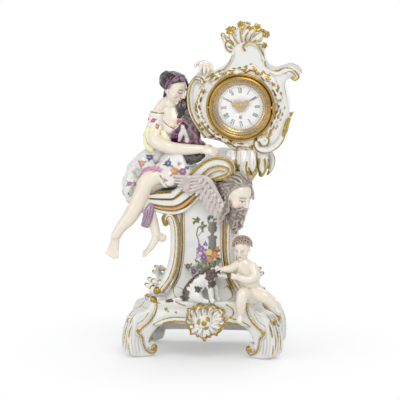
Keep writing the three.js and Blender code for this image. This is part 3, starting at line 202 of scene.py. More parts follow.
def raw(name, forms):
    """Mesh object that holds forms side by side, each given as (points, quads, triangles or loops)."""
    points, faces, base = [], [], 0
    for v, quads, rest in forms:
        points.append(v)
        faces += (np.asarray(quads) + base).tolist()
        faces += [[i + base for i in loop] for loop in (rest.tolist() if hasattr(rest, "tolist")
            else rest)]
        base += len(v)
    mesh = bpy.data.meshes.new(name)
    mesh.from_pydata(((np.vstack(points) + SHIFT) * MM).tolist(), [], faces)
    obj = bpy.data.objects.new(name, mesh)
    bpy.context.scene.collection.objects.link(obj)
    return obj


def settle(obj):
    """Applies the modifiers of a piece."""
    mesh = bpy.data.meshes.new_from_object(obj.evaluated_get(bpy.context.evaluated_depsgraph_get()))
    obj.modifiers.clear()
    old, obj.data = obj.data, mesh
    mesh.name = obj.name
    bpy.data.meshes.remove(old)
    return obj


def melt(name, forms, cell=0.9, rounds=3):
    """One body from overlapping forms: the space that they fill is cut in small cells, its outside
    taken, and each point then drawn towards the middle of its neighbours, as glaze fills a joint."""
    obj = raw(name, forms)
    grid = obj.modifiers.new("fill", "REMESH")
    grid.mode = "VOXEL"
    grid.voxel_size = cell * (WIDE_VOXEL if cell > FINE_CELL else FINE_VOXEL)
    if rounds:
        even = obj.modifiers.new("even", "SMOOTH")
        even.factor = 0.5
        even.iterations = rounds
    return settle(obj)


def cut(obj, tool):
    """Takes the tool's space out of a piece."""
    away = obj.modifiers.new("cut", "BOOLEAN")
    away.operation, away.object, away.solver = "DIFFERENCE", tool, "EXACT"
    settle(obj)
    bpy.data.objects.remove(tool)
    return obj


def ripple(p, size, seed=1):
    """Even noise from -1 to 1: nine sine waves of about one length in seeded directions, averaged."""
    rng = np.random.default_rng(seed)
    ways = unit(rng.normal(size=(9, 3))) * rng.uniform(0.7, 1.4, (9, 1)) * 2 * np.pi / size
    return np.clip(np.sin(p @ ways.T + rng.uniform(0, 6.3, 9)).sum(1) / 3.2, -1, 1)


def reach(p, line):
    """Shortest distance from each point to a line of straight steps."""
    line = np.asarray(line, float)
    best = np.full(len(p), 1e9)
    for a, b in zip(line[:-1], line[1:]):
        run = b - a
        t = np.clip((p - a) @ run / max(run @ run, 1e-9), 0, 1)
        best = np.minimum(best, ((p - a - t[:, None] * run) ** 2).sum(1))
    return np.sqrt(best)


def ease(x, low, high):
    """0 below low, 1 above high, and a smooth step between."""
    t = np.clip((x - low) / (high - low), 0, 1)
    return t * t * (3 - 2 * t)


def tone(colour):
    """Screen colour to linear light, with the usual power of 2.2."""
    return np.asarray(colour, float)[..., :3] ** 2.2


class Painter:
    """Paint, gilding and relief worked out for all the points of one piece at once."""

    def __init__(self, obj, ground):
        self.obj = obj
        self.read()
        self.colour = np.tile(tone(ground), (len(self.p), 1))
        self.gilt = np.full(len(self.p), NO_GOLD)

    def read(self):
        """Takes the points and their normals from the mesh, in the millimetres of this file."""
        mesh = self.obj.data
        count = len(mesh.vertices)
        flat = np.empty(count * 3, np.float32)
        mesh.vertices.foreach_get("co", flat)
        self.p = flat.reshape(-1, 3).astype(float) * METRE - SHIFT
        mesh.vertex_normals.foreach_get("vector", flat)
        self.n = flat.reshape(-1, 3).astype(float)

    def move(self, height):
        """Raises the surface along its normals by a height for each point."""
        self.shape(self.p + self.n * np.asarray(height)[:, None])

    def shape(self, p):
        """Puts the points elsewhere."""
        self.obj.data.vertices.foreach_set("co", ((p + SHIFT) * MM).astype(np.float32).ravel())
        self.obj.data.update()
        self.read()

    def tint(self, amount, colour):
        """Lays a colour over the paint by an amount from 0 to 1 for each point."""
        a = np.clip(amount, 0, 1)[:, None]
        self.colour = self.colour * (1 - a) + tone(colour) * a

    def flat(self, line, count=60, closed=False):
        """Distance in the X-Z plane to a smooth line, for points that face forward."""
        pts = spline(line, count, closed=closed)
        pts = np.vstack([pts, pts[:1]]) if closed else pts
        d = reach(self.p[:, [0, 2]], pts)
        return np.where(self.n[:, 1] < -0.12, d, 50.0)

    def near(self, line, count=60, closed=False):
        """Distance in space to a smooth line."""
        pts = spline(line, count, closed=closed)
        return reach(self.p, np.vstack([pts, pts[:1]]) if closed else pts)

    def gild(self, distance):
        """Adds gilding where the distance is below zero."""
        self.gilt = np.minimum(self.gilt, distance)

    def hollow(self, rounds=6):
        """How far each point lies below the middle of the points round it, in millimetres: the
        middle is found by letting each point move to its neighbours' mean again and again."""
        mesh, n = self.obj.data, len(self.p)
        ends = np.empty(len(mesh.edges) * 2, np.int32)
        mesh.edges.foreach_get("vertices", ends)
        a, b = ends.reshape(-1, 2).T
        count = np.maximum(np.bincount(a, minlength=n) + np.bincount(b, minlength=n), 1)[:, None]
        q = self.p
        for _ in range(rounds):
            q = np.stack([np.bincount(a, q[b, k], n) + np.bincount(b, q[a, k], n) for k in range(3)],
                1) / count
        return ((q - self.p) * self.n).sum(1)

    def pool(self, rounds, low, high, amount, colour):
        """Lays a colour into the hollows: none where they are low mm deep, the amount from high mm on."""
        self.tint(ease(self.hollow(rounds), low, high) * amount, colour)

    def bloom(self, centre, size, colours, turn=0.0, petals=5, way=None, leaves=3):
        """Painted flower: three rings of scalloped petals, each dark inside its rim, round a yellow
        eye, with short leaves behind it, all in the plane that faces the given way."""
        way = unit(np.array([0, -1, 0]) if way is None else way)
        right = unit(np.cross(way, [0, 0.01, 1]))
        up = np.cross(right, way)
        rel = self.p - np.asarray(centre, float)
        x, z = rel @ right, -(rel @ up)
        ahead = ease(self.n @ way, 0.05, 0.3) * ease(-np.abs(rel @ way), -size * 2.6, -size * 2)
        r, a = np.hypot(x, z), np.arctan2(z, x) + turn
        for k in range(leaves):
            b = turn + 2 * np.pi * (k + 0.35) / leaves
            u = x * np.cos(b) + z * np.sin(b) - size * 1.1
            w = -x * np.sin(b) + z * np.cos(b)
            body = 1 - (u / (0.5 * size)) ** 2 - (np.abs(w) / (0.27 * size)) ** 1.3
            self.tint(ahead * ease(body, -0.1, 0.25) * 0.9, (0.34, 0.44, 0.28) if k % 2
                else (0.46, 0.52, 0.30))
            self.tint(ahead * ease(body, 0.1, 0.3) * ease(-np.abs(w), -0.1 * size, 0) * 0.7,
                (0.20, 0.30, 0.18))
        for k, share in enumerate((1.0, 0.72, 0.45)):
            rim = share * size * (0.84 + 0.16 * np.abs(np.cos(petals * a / 2 + 1.1 * k)))
            self.tint(ahead * ease(rim - r, -0.2, 0.25), colours[0])
            self.tint(ahead * ease(rim - r, 0.0, 0.3 * size) * 0.75, colours[1])
        self.tint(ahead * ease(0.2 * size - r, -0.2, 0.2), (0.90, 0.74, 0.22))

    def done(self, slot, *nodes, body="root"):
        """Writes the paint and the gilding as attributes and puts the piece in place of its nodes."""
        mesh = self.obj.data
        rgba = np.ones((len(self.p), 4), np.float32)
        rgba[:, :3] = np.clip(self.colour, 0, 1)
        mesh.color_attributes.new("paint", "FLOAT_COLOR", "POINT").data.foreach_set("color", rgba.ravel())
        mesh.attributes.new("gilt", "FLOAT", "POINT").data.foreach_set(
            "value", np.clip(self.gilt, -3, NO_GOLD).astype(np.float32))
        return place(self.obj, GLAZE, slot, *nodes, body=body)


def place(obj, finish, slot, *nodes, body="root"):
    """Smooth shading, a finish, a body to ride on, the record's slot, and the nodes it stands for."""
    obj.data.materials.clear()
    obj.data.materials.append(bpy.data.materials[finish])
    obj.data.shade_smooth()
    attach(obj, body)
    if nodes:
        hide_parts(*nodes)
    return obj

# Finishes


class Wire:
    """A node's output, or a number, on which arithmetic adds the Math nodes it needs."""

    def __init__(self, finish, socket):
        self.finish, self.socket = finish, socket

    def math(self, operation, *others):
        inputs = {0: self, **{i + 1: other for i, other in enumerate(others)}}
        return self.finish.node("ShaderNodeMath", {"operation": operation}, inputs)

    def __add__(self, other):
        return self.math("ADD", other)

    def __mul__(self, other):
        return self.math("MULTIPLY", other)

    def __sub__(self, other):
        return self.math("SUBTRACT", other)

    def __rsub__(self, other):
        return (self * -1) + other

    __radd__ = __add__
    __rmul__ = __mul__


class Finish:
    """One procedural material, built node by node."""

    def __init__(self, name):
        self.material = bpy.data.materials.new(name)
        self.material.use_nodes = True
        self.tree = self.material.node_tree
        self.tree.nodes.clear()

    def node(self, kind, settings=None, inputs=None, output=0):
        """Adds a node, sets its settings, then gives its sockets their values or links."""
        node = self.tree.nodes.new(kind)
        for key, value in (settings or {}).items():
            setattr(node, key, value)
        for key, value in (inputs or {}).items():
            socket = node.inputs[key]
            if isinstance(value, Wire):
                self.tree.links.new(value.socket, socket)
            else:
                socket.default_value = value
        return Wire(self, node.outputs[output]) if node.outputs else node

    def grain(self, scale, detail=3.0, rough=0.55, stretch=None):
        """Noise in the piece's own coordinates, with cells of about 1 / scale metres."""
        where = self.node("ShaderNodeTexCoord", output="Object")
        if stretch:
            where = self.node("ShaderNodeMapping", {}, {"Vector": where, "Scale": stretch})
        return self.node("ShaderNodeTexNoise", {},
                         {"Vector": where, "Scale": scale, "Detail": detail, "Roughness": rough})

    def blend(self, amount, a, b):
        """Colour a where the amount is 0 and b where it is 1."""
        node = self.tree.nodes.new("ShaderNodeMix")
        node.data_type = "RGBA"
        colours = [s for s in node.inputs if s.type == "RGBA"]
        for socket, value in ((node.inputs[0], amount), (colours[0], a), (colours[1], b)):
            if isinstance(value, Wire):
                self.tree.links.new(value.socket, socket)
            else:
                socket.default_value = value if isinstance(value, float) else (*value[:3], 1.0)
        return Wire(self, next(s for s in node.outputs if s.type == "RGBA"))

    def span(self, value, low, high, to_low=0.0, to_high=1.0):
        """Carries a value from one range to another and stops at its ends."""
        return self.node("ShaderNodeMapRange", {"interpolation_type": "SMOOTHSTEP"},
                         {0: value, 1: low, 2: high, 3: to_low, 4: to_high})

    def bump(self, height, strength, distance):
        return self.node("ShaderNodeBump", {}, {"Height": height, "Strength": strength,
            "Distance": distance})

    def shade(self, **sockets):
        """Surface shader with these sockets, joined to the output."""
        names = {key.replace("_", " ").title().replace("Ior", "IOR"): value for key,
            value in sockets.items()}
        surface = self.node("ShaderNodeBsdfPrincipled", {}, names)
        self.node("ShaderNodeOutputMaterial", {}, {"Surface": surface})
        return self


def glaze(settings):
    """Clear glaze over white paste and enamel painting, with burnished gold where the gilt attribute,
    a distance in millimetres, is below zero; the gold is rubbed thin along its edges."""
    f = Finish(GLAZE)
    paint = f.node("ShaderNodeAttribute", {"attribute_name": "paint"}, output="Color")
    edge = f.node("ShaderNodeAttribute", {"attribute_name": "gilt"}, output="Fac")
    cloud, speck, wear = f.grain(28, 2), f.grain(900, 2), f.grain(420, 4, 0.7)
    gold = f.span(edge + (wear - 0.5) * 0.9, 0.22, -0.12)
    milky = f.blend(f.span(cloud, 0.35, 0.7) * 0.35, paint,
                    f.node("ShaderNodeVectorMath", {"operation": "MULTIPLY"},
                           {0: paint, 1: (0.955, 0.965, 0.985)}))
    dotted = f.blend(f.span(speck, 0.74, 0.8) * 0.25, milky, (0.35, 0.30, 0.25))
    leaf = f.blend(f.span(wear, 0.3, 0.72), tone(settings.gold_deep), tone(settings.gold_light))
    height = gold * 0.7 + f.grain(60, 2) * 0.5 + speck * 0.05
    f.shade(base_color=f.blend(gold, dotted, leaf), metallic=gold * 0.92,
            roughness=gold * 0.2 + f.span(cloud, 0.3, 0.7, 0.1, 0.16),
            coat_weight=0.55 - gold * 0.45, coat_roughness=0.04, specular_ior_level=0.5,
            normal=f.bump(height, 0.35, 0.0004))


def brass(name, low, high, rough, scale, stretch, tarnish=0.35):
    """Brass with fine tool lines, a cloudy lacquer and darker tarnish in patches."""
    f = Finish(name)
    lines = f.grain(scale, 2, 0.5, stretch)
    cloud = f.grain(35, 4, 0.6)
    colour = f.blend(f.span(cloud, 0.4, 0.75) * tarnish, tone(high), tone(low))
    f.shade(base_color=f.blend(f.span(lines, 0.35, 0.65) * 0.25, colour, tone(low)), metallic=1.0,
            roughness=f.span(lines + cloud, 0.7, 1.3, rough, rough + 0.14),
            normal=f.bump(lines, 0.05, 0.0001))


def make_finishes(settings):
    """Every finish of the clock."""
    glaze(settings)
    brass("polished brass", (0.46, 0.37, 0.20), settings.brass, 0.18, 900, (0.3, 1, 0.3))
    brass("clock plate brass", (0.55, 0.42, 0.20), (0.80, 0.64, 0.34), 0.30, 1400, (1, 1, 0.1))
    brass("gilt hand metal", (0.56, 0.44, 0.22), (0.84, 0.70, 0.42), 0.3, 1500, (1, 0.2, 1), 0.2)
    steel = Finish("polished steel")
    lines = steel.grain(1500, 2, 0.5, (1, 0.1, 1))
    steel.shade(base_color=steel.blend(lines, tone((0.62, 0.63, 0.66)), tone((0.74, 0.75, 0.78))),
                metallic=1.0, roughness=steel.span(lines, 0.3, 0.7, 0.2, 0.36),
                normal=steel.bump(lines, 0.1, 0.0001))
    enamel = Finish("dial enamel")
    cloud, fine = enamel.grain(40, 3), enamel.grain(1100, 2)
    enamel.shade(base_color=enamel.blend(enamel.span(cloud, 0.3, 0.7), tone(settings.enamel),
                                         tone((0.93, 0.93, 0.92))),
                 roughness=enamel.span(cloud, 0.3, 0.7, 0.12, 0.2), coat_weight=0.4,
                 normal=enamel.bump(fine, 0.04, 0.0001))
    black = Finish("fired black")
    fine = black.grain(1600, 2)
    black.shade(base_color=black.blend(fine, (0.012, 0.013, 0.02), (0.05, 0.05, 0.065)),
                roughness=black.span(fine, 0.3, 0.7, 0.2, 0.34))
    glass = Finish("bezel glass")
    haze = glass.grain(90, 3)
    glass.shade(base_color=(0.98, 0.99, 0.99, 1.0), roughness=glass.span(haze, 0.3, 0.8, 0.0, 0.03),
                alpha=glass.span(haze, 0.3, 0.8, 0.05, 0.09), ior=1.45, specular_ior_level=0.5)


# Porcelain base


def ring_of(a, b, power, turn):
    """Rounded oblong as distance over angle: (|cos / a|^power + |sin / b|^power) to the -1 / power."""
    r = (np.abs(np.cos(turn) / a) ** power + np.abs(np.sin(turn) / b) ** power) ** (-1 / power)
    return r * np.cos(turn), r * np.sin(turn)


def level_line(levels, z):
    """Half width and half depth at each height, on a smooth line through the levels."""
    curve = spline(levels, 200, even=True)
    return np.interp(z, curve[:, 0], curve[:, 1]), np.interp(z, curve[:, 0], curve[:, 2])


def sprig(paint, x, z, size, turn=0.0):
    """Small gilt flower of four leaves on a front face."""
    dx, dz = paint.p[:, 0] - x, paint.p[:, 2] - z
    r, a = np.hypot(dx, dz), np.arctan2(dz, dx) + turn
    d = r - size * (0.45 + 0.55 * np.abs(np.cos(2 * a)))
    paint.gild(np.where(paint.n[:, 1] < -0.1, d, NO_GOLD))


def make_plinth(settings):
    """Wall and roof of the plinth: each ring is a rounded oblong, and each column starts at the height
    of the arch that crosses it."""
    count, rise = 600, 96
    turn = np.linspace(0, 2 * np.pi, count, endpoint=False)
    levels = [[15, 82, 63], [30, 82, 63], [44, 80.5, 62.5], [56, 77, 61], [66, 72, 60.5], [72, 69, 63],
              [75, 67.8, 64], [78, 67, 64]]
    arch = spline([[0, 47.4], [18, 48], [30, 48.6], [41, 48], [52, 44.6], [61, 39], [67, 32], [71, 25],
        [74, 15]], 90)
    x, y = ring_of(81, 63, 5, turn)
    front = np.interp(np.abs(x), arch[:, 0], arch[:, 1], right=15)
    side = np.interp(np.abs(y) * 71 / 53, arch[:, 0], arch[:, 1], right=15)
    foot = np.where(y < -50, front, np.where(np.abs(x) > 58, side, 15))
    foot = np.convolve(np.concatenate([foot[-3:], foot, foot[:3]]), np.ones(7) / 7, "valid")

    def wall(share, inset, top):
        z = foot + share * (top - foot)
        w, d = level_line(levels, z)
        px, py = ring_of(1, 1, 5, turn)
        return np.stack([px * (w - inset), py * (d - inset), z], -1)

    inner = [wall(s, 6, 72) for s in np.linspace(1, 0.06, 9)]
    outer = [wall(s, 0, 78) for s in np.linspace(0, 1, rise) ** 0.92]
    low = [wall(0.0, inset, 78) + [0, 0, lift] for inset, lift in ((5.2, 1.0), (3.5, 0.1), (1.4, 0.1))]
    roof = [outer[-1] * [s, s, 0] + [0, 0, 78 + lift] for s, lift in
            ((0.995, 0.5), (0.98, 0.9), (0.95, 1.0), (0.8, 1.0), (0.4, 1.0))]
    ceiling = [inner[0] * [0.5, 0.5, 0] + [0, 0, 72.0]]
    obj = raw("plinth_glazed", [skin(np.array(ceiling + inner + low + outer + roof))])
    paint = Painter(obj, settings.white)
    outside = ease(paint.n[:, 1] * -1 + np.abs(paint.n[:, 0]), 0.1, 0.5)
    mouth = np.vstack([arch[::-1] * [-1, 1], arch])
    d = np.where(paint.n[:, 1] < -0.12, reach(paint.p[:, [0, 2]], mouth[::3]), 50)
    d = np.minimum(d, np.where(np.abs(paint.n[:, 0]) > 0.5, reach(paint.p[:, [1, 2]] * [71 / 53, 1],
        mouth[::3]), 50))
    paint.move(outside * (1.5 * np.exp(-((d - 3.2) / 2.2) ** 2) - 0.8 * np.exp(-((d - 8) / 2.5) ** 2)
                          + 0.8 * np.exp(-((d - 13) / 3) ** 2)))
    paint.gild(np.where(d < 49, np.abs(d - 1.9) - 1.5, NO_GOLD))
    paint.gild(np.where(d < 49, np.abs(d - 7.6) - 0.75, NO_GOLD))
    z = paint.p[:, 2]
    rim = np.where(paint.n[:, 1] > 0.3, np.abs(z - 17.4) - 1.0, 9)
    paint.gild(rim)
    paint.gild(np.where(np.abs(paint.n[:, 0]) + np.abs(paint.n[:, 1]) > 0.3, np.abs(z - 74.6) - 0.5, 9)
        + 6 * (ease(paint.p[:, 0], -60, -30) * (1 - ease(paint.p[:, 0], 60, 70)) * (paint.p[:, 1] < 0)))
    for line, half in (([(-40, 78), (-37.6, 79.5), (-30.7, 76.3), (-22, 73)], 0.9),
                       ([(34.4, 75.6), (42.1, 69.7), (43.8, 61.0), (34.4, 53.5)], 1.0)):
        paint.gild(paint.flat(line) - half)
    for x, z, s in ((-48.3, 66.9, 3.0), (-34.6, 63, 2.0), (52.2, 69.7, 2.6), (54.5, 65, 1.6),
            (-45.5, 64, 1.8)):
        sprig(paint, x, z, s, x)
    for y in (-14, 14):
        for side in (-1, 1):
            paint.bloom([side * 80, y * 1.6, 62], 4.2, [(0.80, 0.45, 0.50), (0.60, 0.22, 0.34)], y, 5,
                [side, 0, 0.2])
    return paint.done("white_porcelain", "plinth")


def make_foot(settings, name, right, back):
    """Scroll foot, formed and painted in its own plane, then turned outwards on its corner."""
    outline = [(-6, 79.6), (5, 83.5), (15.3, 77.2), (21.4, 65.5), (37.7, 60), (47, 43.7), (51, 21.8),
        (48.5, 5.5), (35.7, 0.3), (18.4, 0.3), (9.7, 4.7), (8.2, 13.3), (13.8, 20.3), (20.4, 19.5),
        (16.8, 29.6), (6.1, 40.6), (-10.2, 46.8), (-12.8, 66.3)]
    forms = [slab(outline, -15, 15, 4, 220),
             oval((14, -9.0, 79), (5, 7, 4.4)), oval((14, 9.0, 79), (5, 7, 4.4)),
             limb([(15.5, y, 12.5, 5.6, 5.6) for y in (-16.4, 0, 16.4)], facing=(0, 0, 1))]
    for y in (-14.6, 14.6):
        forms.append(limb([(15.5, y, 79, 1.5, 2.0), (10, y, 72, 1.7, 2.2), (13, y, 60, 1.8, 2.2),
            (21, y, 50, 1.8, 2.2), (30, y, 43, 1.7, 2.0), (37, y, 38, 2.6, 2.2)]))
        forms.append(limb([(39, y, 35, 2.4, 1.8), (32, y, 28, 1.8, 2.0), (30, y, 17, 1.6, 2.0),
            (25, y, 8, 1.5, 2), (15, y, 5, 1.3, 1.8)]))
        forms.append(limb([(43, y * 0.98, 33, 1.4, 1.4), (40, y, 22, 1.8, 1.6), (39, y, 8, 1.4, 1.4)]))
    for y in (-9.6, -3.2, 3.2, 9.6):
        forms.append(limb([(22.5, y * 0.9, 64.5, 1.4, 1.2), (31, y, 61, 2.0, 1.5),
            (38.5, y, 57.6, 2.4, 1.6), (46, y, 43, 2.5, 1.7), (49.8, y, 27, 2.5, 1.7),
            (48.9, y, 12, 2.0, 1.4)], facing=(0, 1, 0)))
    for a in range(5):
        b = 2 * np.pi * a / 5
        forms.append(oval((44.5 + 1.2 * np.cos(b), 3.6 * np.cos(b) - 1, 50.5 + 3.6 * np.sin(b)),
            (2.2, 2.4, 2.4), rings=10))
    obj = melt(name + "_glazed", forms, 0.75, 2)
    paint = Painter(obj, settings.white)
    paint.move(0.2 * ripple(paint.p, 22, 3))
    u, y, z = paint.p.T
    # Painted shade in the hollows of the scrolls and flutes.
    sink = paint.hollow(9)
    paint.tint(ease(sink, 0.06, 0.45) * 0.7, (0.50, 0.46, 0.40))
    face = np.abs(paint.n[:, 1]) > 0.25

    def on_face(line, half):
        d = reach(paint.p[:, [0, 2]], spline(line, 50))
        paint.gild(np.where(face, d - half, NO_GOLD))

    on_face([(17.5, 81), (13.5, 79), (10, 72), (12, 61.5), (20, 51), (31, 42.5), (38, 38.5)], 1.5)
    on_face([(39, 35), (32, 28), (30, 17), (25, 8), (15, 4.5), (10.5, 8)], 1.15)
    on_face([(22, 62), (29, 53), (39, 47)], 0.45)
    paint.gild(np.where(np.abs(y) > 13.6, np.hypot(u - 37.5, z - 37.5) - 3.0, NO_GOLD))
    paint.gild(np.hypot(u - 15.5, z - 12.5) - 5.0 + 3 * (np.abs(y) < 12.5))
    paint.gild(np.where(np.abs(y) > 5, np.hypot(u - 14, z - 79) - 4.4, NO_GOLD))
    paint.gild(np.where(np.abs(y) < 7, np.hypot(y + 1, z - 50.5) - 4.4 + ripple(paint.p, 5, 9), 9) + 9
        * (u < 42))
    # Grey lines along the flutes, on the face and on the outer side: painted shade in their grooves.
    for line in ([(44, 53), (46.5, 38), (47.5, 22), (45, 7)], [(39, 48), (42, 34), (42.5, 20), (40, 6)],
            [(35, 32), (37.5, 20), (35, 7)]):
        d = reach(paint.p[:, [0, 2]], spline(line, 30))
        paint.tint(np.where(face, ease(-d, -1.3, -0.2), 0) * 0.45, (0.62, 0.59, 0.54))
    for lane in (-12.6, -6.4, 0, 6.4, 12.6):
        paint.tint(np.where(face, 0, ease(-np.abs(y - lane), -1.5, -0.2)) * (u > 24) * 0.4,
            (0.62, 0.59, 0.54))
    edge = (u > 24) & (np.abs(y) < 13.5)
    for level, lane, half in ((20, 6.4, 10), (33, 0, 12), (24, -6.4, 11), (36, 12.4, 9), (40, -12.4, 9),
            (13, 12.4, 8), (14, -12, 7), (52, 6.4, 8), (56, -6.4, 7), (14, 0, 6)):
        paint.gild(np.where(edge, np.hypot((y - lane) * 6.5, z - level) * 0.14 - half * 0.14, NO_GOLD))
    paint.tint(np.where(np.hypot(y - 8, z - 45) < 1.5, 0.8, 0) * (u > 40), (0.42, 0.30, 0.22))
    heading = math.radians(28)
    along = np.array([math.cos(heading) * (1 if right else -1), math.sin(heading) * (1 if back else -1),
        0])
    across = np.array([-along[1], along[0], 0])
    spot = np.array([60 if right else -60, 35 if back else -35, 0])
    paint.shape(spot + paint.p[:, :1] * along + paint.p[:, 1:2] * across
        + np.maximum(paint.p[:, 2:], 0.3) * [0, 0, 1])
    return paint.done("white_porcelain", name)


def make_cartouche(settings):
    """Shell on the front apron: a domed slab with ribs that spread from its boss, and a scalloped edge."""
    outline = [(5, 26.5), (13, 32), (23, 35), (28, 44), (33.5, 51), (31, 60), (33, 69), (24, 73),
        (16, 77.5), (7, 74), (-3, 77.5), (-10, 71.5), (-18.5, 70.5), (-18, 61), (-21, 52), (-16, 44),
        (-14, 36), (-5, 32.5)]
    forms = [slab(outline, -70, -59, 3.2, 220), oval((5, -70, 51), (9.5, 4.4, 10)),
        oval((5, -74, 51), (2.6, 2.6, 2.6))]
    rim = spline(outline, 19, closed=True)
    middle = np.array([6, 51])
    for x, z in rim:
        if z > 60 and x < 20 or x < -4 and z > 44:
            continue
        a, b = middle + ([x, z] - middle) * 0.42, middle + ([x, z] - middle) * 0.97
        forms.append(limb([(a[0], -70.5, a[1], 1.5, 1.4), ((a[0] + b[0]) / 2, -72, (a[1] + b[1]) / 2, 2.4,
            2), (b[0], -70, b[1], 2.6, 2.6)]))
    flames = [[(-10.6, 58), (-12.4, 67), (-8, 73), (-3.5, 71)], [(-3.7, 59), (-5.4, 68), (-1, 74.5),
        (4, 72)], [(3.1, 61), (2.6, 69), (7, 74), (12, 71)], [(10, 62), (11, 69), (16, 74), (21, 70.5)],
        [(17, 61), (20, 66), (26, 69), (29, 64)], [(-9, 52), (-16, 56), (-17, 63), (-13, 65)]]
    for line in flames:
        forms.append(limb([(x, y, z, w, w) for (x, z), w, y in zip(line, (1.4, 2.4, 2.4, 1.5),
            (-69.5, -71.5, -72, -70.5))], 14))
    forms += [
              limb([(-13, -68, 38, 1.6, 1.6), (-15, -70, 45, 2.4, 2.2), (-11, -70.5, 49, 1.4, 1.4)]),
              limb([(25, -68, 38, 1.6, 1.6), (29, -70, 45, 2.4, 2.2), (24, -70.5, 50, 1.4, 1.4)])]
    obj = melt("front_cartouche_glazed", forms, 0.6, 3)
    paint = Painter(obj, settings.white)
    x, y, z = paint.p.T
    edge = paint.flat(outline, 160, closed=True)
    wave = 0.9 * np.sin(np.arctan2(z - 51, x - 6) * 19)
    paint.gild(edge - 2.4 + wave * 0.8)
    r, a = np.hypot(x - 5, z - 51), np.arctan2(z - 51, x - 5)
    paint.gild(np.where(paint.n[:, 1] < 0, np.where((r > 15) & (r < 22),
        np.abs(np.sin(a * 9.5 + 0.7)) * r * 0.16 - 0.5, 9), NO_GOLD))
    # Painted shade in the hollows of the shell.
    paint.pool(8, 0.1, 0.5, 0.5, (0.55, 0.52, 0.48))
    for line in flames:
        paint.gild(paint.flat([(x - 1.4, z + 0.3) for x, z in line]) - 0.8)
    paint.gild(r - 3.8 + 6 * (y > -70))
    paint.gild(np.where(y < -69, np.abs(r - 7.5) - 0.9 + 1.6 * np.cos(3 * a + 0.6), NO_GOLD))
    for line in ([(-13, 38), (-16, 45), (-12, 49.5), (-9, 46)], [(26, 40), (29, 46), (25, 51)],
            [(-8, 35), (2, 30), (12, 33.5), (22, 37)]):
        paint.gild(paint.flat(line) - 1.1)
    return paint.done("white_porcelain", "front_cartouche")


